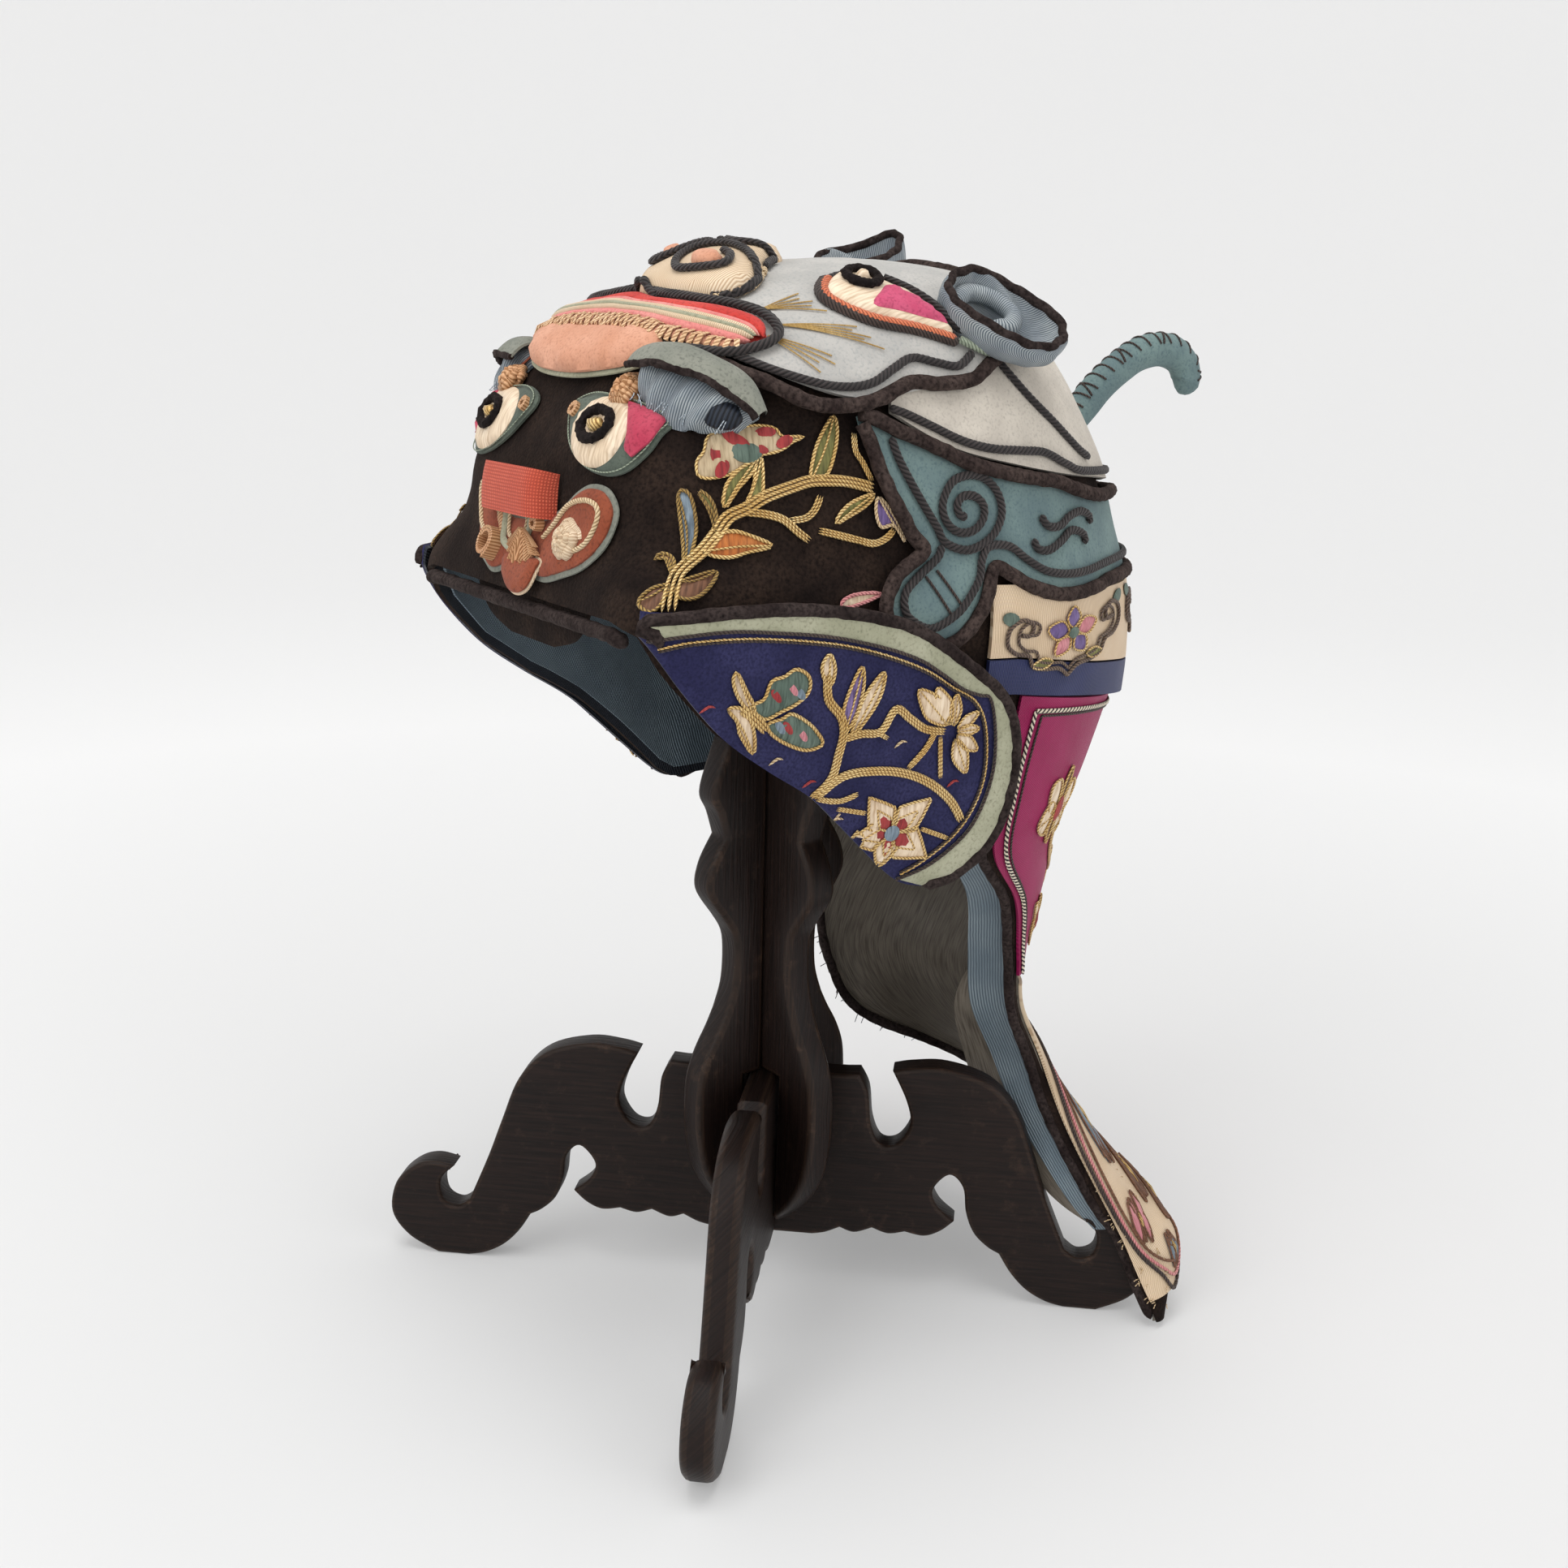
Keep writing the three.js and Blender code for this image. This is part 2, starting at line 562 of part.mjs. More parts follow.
// One layer of the hood's wall, between two depths under its surface.
function hoodLayer(angles, rowCount, depthOut, depthIn, rimLift) {
  const nearSide = angles.slice(1, -1).map((angle) => [angle, 1]);
  const farSide = angles.slice(1, -1).reverse().map((angle) => [angle, -1]);
  const columns = [[0, 1], ...nearSide, [180, 1], ...farSide];
  const topPlace = 0.045;
  const rimPlace = (z) => crownSamples.findIndex((row) => row.z <= z) / SECTION_SAMPLES;
  const rings = [];
  for (let i = 0; i <= rowCount; i += 1) {
    rings.push(columns.map(([angle, side]) => {
      const bottom = rimPlace(lookUp(RIM, 'angle', 'z', angle) + rimLift);
      const place = topPlace + (bottom - topPlace) * (i / rowCount);
      return crownAtAngle(angle, along(CROWN_SECTIONS, 'z', place), side);
    }));
  }
  const outer = rings.map((ring) => ring.map((p) => lifted(p, -depthOut)));
  const inner = rings.map((ring) => ring.map((p) => lifted(p, -depthIn)));
  const apex = new THREE.Vector3(0, 20, CROWN_SECTIONS[0].z);
  const points = [...outer.flat(), ...inner.flat(), apex.clone().setZ(apex.z - depthOut),
    apex.clone().setZ(apex.z - depthIn)];
  const count = columns.length;
  const shift = rings.length * count;
  const faces = [];
  for (let j = 0; j < count; j += 1) {
    const next = (j + 1) % count;
    for (let i = 0; i < rowCount; i += 1) {
      const [a, b, c, d] = [i * count + j, i * count + next, (i + 1) * count + j, (i + 1) * count + next];
      faces.push([a, c, b], [b, c, d], [a + shift, b + shift, c + shift], [b + shift, d + shift, c + shift]);
    }
    const [e, f] = [rowCount * count + j, rowCount * count + next];
    faces.push([e, e + shift, f], [f, e + shift, f + shift]);
    faces.push([points.length - 2, j, next], [points.length - 1, next + shift, j + shift]);
  }
  return solid(points, faces);
}

function capePoint(place, turn) {
  const column = (name, axis) => along(CAPE_ROWS.map((row) => ({ v: row[name][axis] })), 'v', place);
  const spot = (name) => new THREE.Vector3(column(name, 0), column(name, 1), column(name, 2));
  const near = spot('near');
  const far = spot('far');
  const middle = near.clone().add(far).multiplyScalar(0.5);
  const halfChord = near.sub(middle);
  const depth = spot('back').sub(middle);
  return middle.addScaledVector(halfChord, Math.sin(turn)).addScaledVector(depth, Math.cos(turn));
}

function capeNormal(place, turn) {
  const step = 0.004;
  const down = capePoint(Math.min(place + step, 1), turn).sub(capePoint(Math.max(place - step, 0), turn));
  const round = capePoint(place, turn + step).sub(capePoint(place, turn - step));
  return new THREE.Vector3().crossVectors(round, down).normalize();
}

// Sheet along the cape between two depths below its outer face, from one place down it to
// another. Reach is how much of the way to its two edges the sheet covers.
function capeSheet(from, to, reach, outerDepth, innerDepth) {
  const columnCount = 12;
  const places = [from, ...CAPE_PLACES.filter((place) => place > from && place < to), to];
  const limit = reach * (Math.PI / 2);
  const grid = (depth) => places.map((place) => (
    Array.from({ length: columnCount + 1 }, (_, j) => {
      const turn = THREE.MathUtils.clamp((j / columnCount - 0.5) * Math.PI, -limit, limit);
      return capePoint(place, turn).addScaledVector(capeNormal(place, turn), -depth);
    })
  ));
  return slab(grid(outerDepth), grid(innerDepth));
}

// Binding that runs down one edge of the cape, just beyond it.
function capeBinding(side) {
  const radius = 1.6;
  const turn = side * (Math.PI / 2);
  const route = CAPE_PLACES.filter((place) => place > 0.12 && place < 0.97).map((place) => {
    const edge = capePoint(place, turn);
    const normal = capeNormal(place, turn);
    const downwards = capePoint(place + 0.01, turn).sub(capePoint(place - 0.01, turn)).normalize();
    const outwards = downwards.cross(normal).multiplyScalar(side);
    return edge.addScaledVector(outwards, radius + 4.5 * CLEAR).addScaledVector(normal, -CLOTH / 2);
  });
  return tube(route, radius, 3, 28);
}

function earFlap(side) {
  const rowCount = 14;
  const columnCount = 6;
  const offWall = 0.6;
  const grid = (height) => Array.from({ length: rowCount + 1 }, (_, i) => (
    Array.from({ length: columnCount + 1 }, (__, j) => {
      const share = j / columnCount;
      const value = (column) => along(FLAP_ROWS, column, i / rowCount);
      const y = THREE.MathUtils.lerp(value('creaseY'), value('freeY'), share);
      const z = THREE.MathUtils.lerp(value('creaseZ'), value('freeZ'), share);
      return lifted(onSide(y, z, side), offWall + value('stand') * Math.sqrt(share) + height);
    })
  ));
  return slab(grid(FLAP_THICKNESS), grid(0));
}

// Place on the brow's wall at an angle that is negative on the far side.
function onBrow(angle, z) {
  return crownAtAngle(Math.abs(angle), z, angle < 0 ? -1 : 1);
}

// Rolled piping under the brow's edge, from corner to corner.
function brimPiping() {
  const radius = 2;
  const corner = 33;
  const drop = radius + CLEAR + 1;
  const points = [];
  for (let angle = -corner; angle <= corner; angle += 11) {
    const rim = onBrow(angle, lookUp(RIM, 'angle', 'z', Math.abs(angle)));
    points.push(lifted(rim, -CLOTH / 2).setZ(rim.z - drop));
  }
  return tube(points, radius, 4, 16);
}

// Dark half-oval of cloth that hangs inside the brow, below its edge.
function brimFacing() {
  const rows = [
    { z: 226, half: 20 },
    { z: 218, half: 19 },
    { z: 211, half: 15 },
    { z: 207.5, half: 8 },
  ];
  const columnCount = 6;
  const behindLining = CLOTH + LINING + 2.6;
  const thickness = 1.2;
  const grid = (depth) => rows.map(({ z, half }) => (
    Array.from({ length: columnCount + 1 }, (_, j) => (
      lifted(onBrow(half * ((2 * j) / columnCount - 1), z), -depth)
    ))
  ));
  return slab(grid(behindLining), grid(behindLining + thickness));
}

// Gathered silk ear on a round foot: a padded rim round a hollow, standing along +Z.
function silkEar(radius, height) {
  const profile = [[0, 0], [0.5, 0], [0.9, 0.4], [1, 0.8], [0.9, 1], [0.72, 0.9], [0.45, 0.55], [0, 0.42]];
  return new THREE.LatheGeometry(profile.map(([r, h]) => new THREE.Vector2(r * radius, h * height)), 14)
    .rotateX(Math.PI / 2);
}

// ---------------------------------------------------------------- assembly

const hatOnStand = new THREE.Group();

function add(name, geometry, color, parent = hatOnStand) {
  const mesh = new THREE.Mesh(geometry, new THREE.MeshStandardMaterial({ color, roughness: 0.9 }));
  mesh.name = name;
  parent.add(mesh);
  return mesh;
}

const WOOD = 0x2a211d;
const VELVET = 0x2b201d;
const SILK_BLUE = 0x5b7484;
const COTTON_GREY = 0x8f9ca0;
const FELT_TEAL = 0x4c6a72;
const FELT_PEACH = 0xd7936f;
const FELT_RUST = 0xa85332;
const CREAM = 0xd9cdb4;
const NAVY = 0x2c3c66;
const PURPLE = 0x2c2a5e;
const MAGENTA = 0x9c1f5e;

const stand = new THREE.Group();
stand.rotation.z = LEG_ANGLE;
hatOnStand.add(stand);
add('leg_board_lower', legBoard(true), WOOD, stand);
add('leg_board_upper', legBoard(false), WOOD, stand).rotation.z = Math.PI / 2;
add('post_board_upper', postBoard(false), WOOD, stand).rotation.z = Math.PI / 4;
add('post_board_lower', postBoard(true), WOOD, stand).rotation.z = -Math.PI / 4;
add('hat_rest', hatRest(), WOOD, stand);

add('crown', hoodLayer(WALL_ANGLES, 12, 0, CLOTH, 0), VELVET);
const liningDepth = CLOTH + 2.1;
const liningAngles = WALL_ANGLES.filter((angle, i) => i % 2 === 0 || [96, 99, 180].includes(angle));
add('crown_lining', hoodLayer(liningAngles, 9, liningDepth, liningDepth + LINING, 3), SILK_BLUE);
add('brim_piping', brimPiping(), VELVET);
add('brim_facing', brimFacing(), VELVET);

const haunchAngles = [64.5, 67, 69.5, 74, 80, 86, 90.5, 94, 101, 108, 115, 122, 130, 138, 146, 154, 162,
  170, 178];
const bandStart = CREAM_BAND[0].angle;
const bandAngles = Array.from({ length: 23 }, (_, i) => bandStart + (i / 22) * (360 - 2 * bandStart));
for (const [label, side] of [['left', 1], ['right', -1]]) {
  const angles = side > 0 ? haunchAngles : haunchAngles.map((angle) => 360 - angle);
  add(`ear_flap_${label}`, earFlap(side), PURPLE);
  add(`haunch_${label}`, wallPanel(HAUNCH, angles, 5, 0.8, 2), FELT_TEAL);
  add(`cape_binding_${label}`, capeBinding(side), VELVET);
}
add('cream_band', wallPanel(CREAM_BAND, bandAngles, 2, 0.8, 1.9), CREAM);
add('navy_band', wallPanel(NAVY_BAND, bandAngles, 1, 0.8, 2), NAVY);
add('saddle_panel', crownPanel(SADDLE_ROWS, 9, 14, 1.2, 2.3), COTTON_GREY);
add('face_panel', crownPanel(FACE_ROWS, 9, 14, 3.1, 4.2), COTTON_GREY);

add('nape_cape', capeSheet(0, 1, 1, 0, CLOTH), VELVET);
add('magenta_panel', capeSheet(0.02, 0.4, 0.9, -1.5, -0.5), MAGENTA);
add('cape_leaf', capeSheet(0.42, 0.95, 0.9, -1.5, -0.5), CREAM);

const tailRoot = lifted(onCrown(0, 92, 256), 4.2);
const tailRoute = [tailRoot, ...TAIL_ROUTE.map((point) => new THREE.Vector3(...point))];
add('tail', tube(tailRoute, TAIL_RADIUS, 5, 16), FELT_TEAL);

// Stuffed pieces of the two tigers that lie on the middle plane.
add('tongue', pad([0, -62.5, 279], 0, ellipse(26, 8.5), 0.9, 5, 3), FELT_PEACH);
add('mouth', crownPanel(MOUTH_ROWS, 2, 14, 4.5, 8.5), FELT_RUST);
add('nose', pad([0, -30, 298], 0, ellipse(15, 11.5), 4.7, 9, 3.5), CREAM);
add('small_nose', pad([0, -77, 248], 0, ellipse(19, 8), 3.2, 7), FELT_PEACH);
add('small_mouth', pad([0, -78, 237], 0, ellipse(44, 12), 1, 2.9), FELT_RUST);
add('small_tongue', pad([6, -81, 227], 0, ellipse(8, 7), 3.2, 4.6), FELT_PEACH);

// Eyes and ears, the same on both sides.
for (const [label, side] of [['left', 1], ['right', -1]]) {
  const turned = (spin) => (side > 0 ? spin : Math.PI - spin);
  add(`eye_${label}`, pad([side * 43, -3, 296], turned(-0.7), teardrop(10.5, 25), 4.8, 6.4, 1), CREAM);
  add(`small_eye_${label}`, pad([side * 32, -71, 264.5], turned(0.43), teardrop(10.5, 17), 0.5, 2.8), CREAM);
  add(`small_ear_${label}`, pad([side * 51, -57, 275], turned(-0.3), ellipse(18, 8), 3.2, 10, 2), SILK_BLUE);
  const { guide, lift } = EAR_SEATS[label];
  const seat = onCrown(...guide);
  const ear = add(`ear_${label}`, silkEar(16, 12.5), SILK_BLUE);
  ear.position.copy(lifted(seat, lift));
  ear.quaternion.setFromUnitVectors(new THREE.Vector3(0, 0, 1), crownNormal(seat));
}

const extent = new THREE.Box3().setFromObject(hatOnStand);
const middle = extent.getCenter(new THREE.Vector3());
hatOnStand.position.set(-middle.x, -middle.y, 0);

export default hatOnStand;
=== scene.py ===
# %% [markdown]
# # A child's tiger hat on its wooden stand
# The hat is a padded velvet hood with a big felt tiger over its crown, a small one on its brow, two
# ear flaps turned back over the sides and a long cape at the nape. The packed CAD model is the
# frame: it says where each part is. Here each soft part is made again as the cloth, cord or
# stuffing that it is, in the place its CAD solid holds.

# %% Load the frame
import math

import bmesh
import bpy
import numpy as np
from mathutils import Matrix, Vector, noise
from mathutils.bvhtree import BVHTree
from mathutils.geometry import delaunay_2d_cdt


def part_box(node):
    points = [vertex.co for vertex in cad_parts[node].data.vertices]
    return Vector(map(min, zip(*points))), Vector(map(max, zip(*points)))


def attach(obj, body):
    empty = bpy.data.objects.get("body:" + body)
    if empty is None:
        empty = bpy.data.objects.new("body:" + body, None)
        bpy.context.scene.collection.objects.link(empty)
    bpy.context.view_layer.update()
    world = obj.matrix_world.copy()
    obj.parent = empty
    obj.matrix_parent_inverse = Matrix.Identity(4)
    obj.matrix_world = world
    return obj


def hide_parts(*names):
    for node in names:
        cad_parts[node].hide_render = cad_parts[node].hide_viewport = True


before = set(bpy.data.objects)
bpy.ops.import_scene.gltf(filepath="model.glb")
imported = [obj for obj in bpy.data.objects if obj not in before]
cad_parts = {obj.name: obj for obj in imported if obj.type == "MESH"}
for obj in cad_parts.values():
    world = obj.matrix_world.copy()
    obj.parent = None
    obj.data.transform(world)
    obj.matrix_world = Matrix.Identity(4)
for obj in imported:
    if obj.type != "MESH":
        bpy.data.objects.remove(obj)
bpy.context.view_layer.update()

# %% [markdown]
# ## The hat's own measure
# A hat maker works in millimetres from the middle of the head. All tables below do the same: x to
# the wearer's left, y backwards from the post of the stand, z up from the floor. The post's cap
# tells where that axis stands in the frame, so one shift turns these millimetres into metres.

# %% From hat millimetres to the frame's metres
MM = 0.001
CAP_LOW, CAP_HIGH = (np.array(corner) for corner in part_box("hat_rest"))
AXIS = np.array([(CAP_LOW[0] + CAP_HIGH[0]) / 2, (CAP_LOW[1] + CAP_HIGH[1]) / 2, 0.0])


def to_frame(points):
    """Hat millimetres to metres in the frame."""
    return np.asarray(points, float) * MM + AXIS


def unit(vectors):
    """Vectors of length 1, one per row."""
    vectors = np.asarray(vectors, float)
    return vectors / np.maximum(np.linalg.norm(vectors, axis=-1, keepdims=True), 1e-9)


print("post axis at", AXIS.round(4))

# %% [markdown]
# ## Camera
# The hat is seen from 58 degrees round to the wearer's left, a little above the brow, through a
# medium lens about half a metre away. A camera is a position and three directions, so the angles
# are named one by one: azimuth round the stand, a pitch down to the feet, and the slight lean of a
# hand-set tripod.

# %% Camera
CAMERA_PLACE = np.array([430.8, -269.2, 289.2])  # mm in the hat's measure
AZIMUTH, PITCH, YAW, ROLL = (math.radians(v) for v in (58.0, 14.30, 0.387, 1.37))
LENS_MM, SENSOR_MM = 40.99, 36.0


def look_direction(right, ahead, up):
    """A direction seen from the camera, turned into the hat's measure."""
    level = math.cos(PITCH) * ahead + math.sin(PITCH) * up
    z = -math.sin(PITCH) * ahead + math.cos(PITCH) * up
    x = math.cos(YAW) * right + math.sin(YAW) * level
    y = -math.sin(YAW) * right + math.cos(YAW) * level
    return Vector((x * math.cos(AZIMUTH) - y * math.sin(AZIMUTH),
                   x * math.sin(AZIMUTH) + y * math.cos(AZIMUTH), z))


camera = bpy.data.objects.new("camera", bpy.data.cameras.new("camera"))
bpy.context.scene.collection.objects.link(camera)
camera.data.lens, camera.data.sensor_width = LENS_MM, SENSOR_MM
camera.data.clip_start, camera.data.clip_end = 0.01, 20.0
turn_right = look_direction(math.cos(ROLL), 0, math.sin(ROLL))
turn_up = look_direction(-math.sin(ROLL), 0, math.cos(ROLL))
ahead = look_direction(0, 1, 0)
pose = [(turn_right[i], turn_up[i], -ahead[i], to_frame(CAMERA_PLACE)[i]) for i in range(3)]
camera.matrix_world = Matrix([*pose, (0, 0, 0, 1)])
bpy.context.scene.camera = camera
print("camera at", [round(v, 4) for v in camera.matrix_world.translation])

# %% [markdown]
# ## Colours and nodes
# Dyers' colours are written as hex values as they look on a screen. Blender wants light, not screen
# values, so one function turns them. A second small function adds a shader node with its settings
# and links, and every finish below is written with it.

# %% Colour and node helpers


def colour(hex_value):
    """Linear RGBA of an sRGB hex colour such as 5f8085."""
    parts = [int(hex_value[i:i + 2], 16) / 255 for i in (0, 2, 4)]
    linear = [v / 12.92 if v <= 0.04045 else ((v + 0.055) / 1.055) ** 2.4 for v in parts]
    return (*linear, 1.0)


def add_node(tree, kind, inputs=None, **settings):
    """A node with its settings, whose inputs are values or other nodes' sockets."""
    made = tree.nodes.new(kind)
    for name, value in settings.items():
        setattr(made, name, value)
    for socket, value in (inputs or {}).items():
        if isinstance(value, bpy.types.NodeSocket):
            tree.links.new(value, made.inputs[socket])
        else:
            made.inputs[socket].default_value = value
    return made


def new_finish(name, **shader_inputs):
    """An empty material with a Principled shader: its tree and shader."""
    material = bpy.data.materials.new(name)
    material.use_nodes = True
    tree = material.node_tree
    tree.nodes.clear()
    values = {key.replace("_", " "): value for key, value in shader_inputs.items()}
    shader = add_node(tree, "ShaderNodeBsdfPrincipled", values)
    add_node(tree, "ShaderNodeOutputMaterial", {"Surface": shader.outputs[0]})
    return material, tree, shader


print("hex 808080 in light:", [round(v, 3) for v in colour("808080")])

# %% [markdown]
# ## Light and floor
# Museum pieces are shot in a light tent: a pale sweep that rises behind the object without an edge,
# and large soft lamps above it. The sweep is a shallow bowl here, so it looks the same from
# every side. One big lamp hangs over the hat and a weaker one stands at the front left.

# %% Sweep and lamps


def light_tent():
    """A pale floor that bends up into a wall all round."""
    flat, bend, wall, count = 1.5, 1.3, 2.6, 64  # metres, and the points round it
    profile = [(0.0, 0.0), (flat * 0.5, 0.0), (flat, 0.0)]
    profile += [(flat + bend * math.sin(a), bend * (1 - math.cos(a)))
                for a in np.linspace(0, math.pi / 2, 13)[1:]]
    profile.append((flat + bend, wall))
    points = [(r * math.cos(a), r * math.sin(a), z) for r, z in profile[1:]
              for a in np.arange(count) * 2 * math.pi / count]
    faces = [tuple(range(count))]
    for i in range(len(profile) - 2):
        for j in range(count):
            k = (j + 1) % count
            faces.append((i * count + k, i * count + j, (i + 1) * count + j, (i + 1) * count + k))
    mesh = bpy.data.meshes.new("floor_sweep")
    mesh.from_pydata(points, [], faces)
    mesh.shade_smooth()
    sweep = bpy.data.objects.new("floor_sweep", mesh)
    bpy.context.scene.collection.objects.link(sweep)
    return sweep


paper, tree, shader = new_finish("matt_paper_sweep", Roughness=0.9, Specular_IOR_Level=0.1,
                                 Emission_Color=colour("f3f3f3"))
grain = add_node(tree, "ShaderNodeTexNoise", {"Scale": 3.0, "Detail": 2.0})
tint = add_node(tree, "ShaderNodeMixRGB", {"Fac": grain.outputs["Fac"], "Color1": colour("c4c4c4"),
                                           "Color2": colour("cacaca")})
tree.links.new(tint.outputs[0], shader.inputs["Base Color"])
# The paper glows less near the stand, so that the legs' soft shadows stay on it.
where = add_node(tree, "ShaderNodeTexCoord")
apart = add_node(tree, "ShaderNodeVectorMath", {"Vector": where.outputs["Object"]},
                 operation="LENGTH")
glow = add_node(tree, "ShaderNodeMapRange", {"Value": apart.outputs["Value"], "From Min": 0.22,
                                             "From Max": 0.8, "To Min": 0.24, "To Max": 0.45})
tree.links.new(glow.outputs[0], shader.inputs["Emission Strength"])
light_tent().data.materials.append(paper)

world = bpy.data.worlds.new("studio")
world.use_nodes = True
world.node_tree.nodes["Background"].inputs["Color"].default_value = colour("f6f5f3")
world.node_tree.nodes["Background"].inputs["Strength"].default_value = 0.42
bpy.context.scene.world = world
LAMPS = [  # name, place in metres, point it looks at, side length, watts
    ("overhead_softbox", (0.15, -0.25, 1.55), (0.0, 0.0, 0.15), 1.1, 13.0),
    ("front_left_softbox", (0.35, -1.25, 0.95), (0.0, 0.0, 0.18), 0.8, 5.0),
    ("side_fill", (1.3, 0.45, 0.7), (0.0, 0.0, 0.2), 0.9, 3.0),
]
for name, place, target, size, watts in LAMPS:
    lamp = bpy.data.objects.new(name, bpy.data.lights.new(name, "AREA"))
    lamp.data.size, lamp.data.energy = size, watts
    lamp.location = place
    lamp.rotation_euler = (Vector(target) - Vector(place)).to_track_quat("-Z", "Y").to_euler()
    bpy.context.scene.collection.objects.link(lamp)
bpy.context.scene.view_settings.view_transform = "Standard"
print("lamps:", ", ".join(row[0] for row in LAMPS))

# %% [markdown]
# ## Collecting geometry
# A felt piece, the cord round it and the stitches on it are one thing to a maker, so they go into
# one object. Piece gathers patches of mesh with their finish and their flat cloth coordinates, in
# millimetres, and turns them into one Blender object that rides on the frame. Those coordinates
# let a weave follow the cloth instead of being projected on it.

# %% The Piece class


class Piece:
    """Geometry in hat millimetres that becomes one object with several finishes."""

    def __init__(self, name):
        self.name, self.points, self.faces, self.cloth, self.looks = name, [], [], [], []
        self.look_of_face, self.count = [], 0

    def add(self, points, faces, look, flat=None, corners=None):
        """Faces of one finish. Flat gives each point's cloth coordinates, corners each corner's."""
        points = np.asarray(points, float)
        faces = [tuple(int(v) for v in face) for face in faces]
        if look not in self.looks:
            self.looks.append(look)
        if corners is None:
            flat = np.asarray(flat, float)
            corners = [flat[v] for face in faces for v in face]
        self.cloth.append(np.asarray(corners, float).reshape(-1, 2))
        self.points.append(points)
        self.faces += [tuple(v + self.count for v in face) for face in faces]
        self.look_of_face += [self.looks.index(look)] * len(faces)
        self.count += len(points)

    def tree(self):
        """A search tree of what is there so far."""
        return BVHTree.FromPolygons([Vector(p) for p in np.concatenate(self.points)], self.faces)

    def make(self, slot, *nodes, sharp=50, weld=False):
        """The finished object, which stands for the named CAD nodes."""
        mesh = bpy.data.meshes.new(self.name)
        mesh.from_pydata(to_frame(np.concatenate(self.points)).tolist(), [], self.faces)
        for look in self.looks:
            mesh.materials.append(look)
        mesh.polygons.foreach_set("material_index", self.look_of_face)
        layer = mesh.uv_layers.new(name="cloth")
        layer.data.foreach_set("uv", np.concatenate(self.cloth).ravel())
        work = bmesh.new()
        work.from_mesh(mesh)
        if weld:
            bmesh.ops.remove_doubles(work, verts=work.verts, dist=1e-6)
        bmesh.ops.delete(work, geom=[v for v in work.verts if not v.link_faces], context="VERTS")
        bmesh.ops.recalc_face_normals(work, faces=work.faces)
        work.to_mesh(mesh)
        work.free()
        mesh.shade_smooth()
        mesh.set_sharp_from_angle(angle=math.radians(sharp))
        made = bpy.data.objects.new(self.name, mesh)
        bpy.context.scene.collection.objects.link(made)
        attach(made, "root")
        if nodes:
            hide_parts(*nodes)
        layer_area = sum(p.area for p in mesh.polygons) / 2 / MM ** 2 / 100
        print(f"{self.name}: {len(self.faces)} faces, {layer_area:.1f} cm2 on each side")
        return made


print("a piece keeps:", ", ".join(vars(Piece("trial"))))

# %% [markdown]
# ## Curves through a few points
# A pattern cutter marks a handful of points and joins them by eye. Here a Catmull-Rom curve does
# that, for outlines, for cord routes and for tables of cross sections alike. Points on it are then
# spread evenly, so that stitches and mesh edges come at equal steps.

# %% Curve helpers


def curve(rows, per=10, closed=False):
    """Smooth rows through the given rows, with per steps for each gap."""
    rows = np.asarray(rows, float)
    ends = (rows[-1:], rows[:2]) if closed else (rows[:1], rows[-1:])
    padded_rows = np.concatenate([ends[0], rows, ends[1]])
    t = (np.arange(per) / per)[:, None]
    out = []
    for i in range(len(padded_rows) - 3):
        a, b, c, d = padded_rows[i:i + 4]
        out.append(b + (c - a) / 2 * t + (a - 2.5 * b + 2 * c - d / 2) * t ** 2
                   + (1.5 * (b - c) + (d - a) / 2) * t ** 3)
    if not closed:
        out.append(rows[-1:])
    return np.concatenate(out)


def measure(line):
    """Distance along a line at each of its points."""
    return np.concatenate([[0.0], np.cumsum(np.linalg.norm(np.diff(line, axis=0), axis=1))])


def read_off(at, along, rows):
    """Rows of numbers that lie at known places along, read off at other places."""
    return np.stack([np.interp(at, along, column) for column in rows.T], -1)


def even(line, step, closed=False):
    """Points at nearly equal steps along a line."""
    line = np.asarray(line, float)
    if closed:
        line = np.concatenate([line, line[:1]])
    along = measure(line)
    count = max(int(round(along[-1] / step)), 3 if closed else 1)
    at = np.linspace(0, along[-1], count + 1)
    spread = read_off(at, along, line)
    return spread[:-1] if closed else spread


def smooth(points, step, closed=False):
    """An even smooth line through a few points."""
    return even(curve(points, 10, closed), step, closed)


def mirror(points, side):
    """The same points on the wearer's left (1) or right (-1) side."""
    return np.asarray(points, float) * np.array([side, 1, 1])


def rays(angles):
    """Flat directions at some angles."""
    return np.stack([np.cos(angles), np.sin(angles)], -1)


def oval(middle, half_width, half_height, count, first=0.0):
    """Flat points at equal turns round an oval, the first at a turn in radians."""
    turns = first + np.linspace(0, 2 * math.pi, count + 1)[:-1]
    return middle + rays(turns) * [half_width, half_height]


print("points on a smooth square:", len(curve([(0, 0), (1, 0), (1, 1), (0, 1)], closed=True)))

# %% [markdown]
# ## The hood's surface
# The hood is a rounded box over a child's head: wide and square at the brow, round at the back.
# Its level sections are superellipses, and a table of them is the block it was shaped over. Every
# appliqué, cord and pad is laid on this surface at its own height, as it would be sewn.

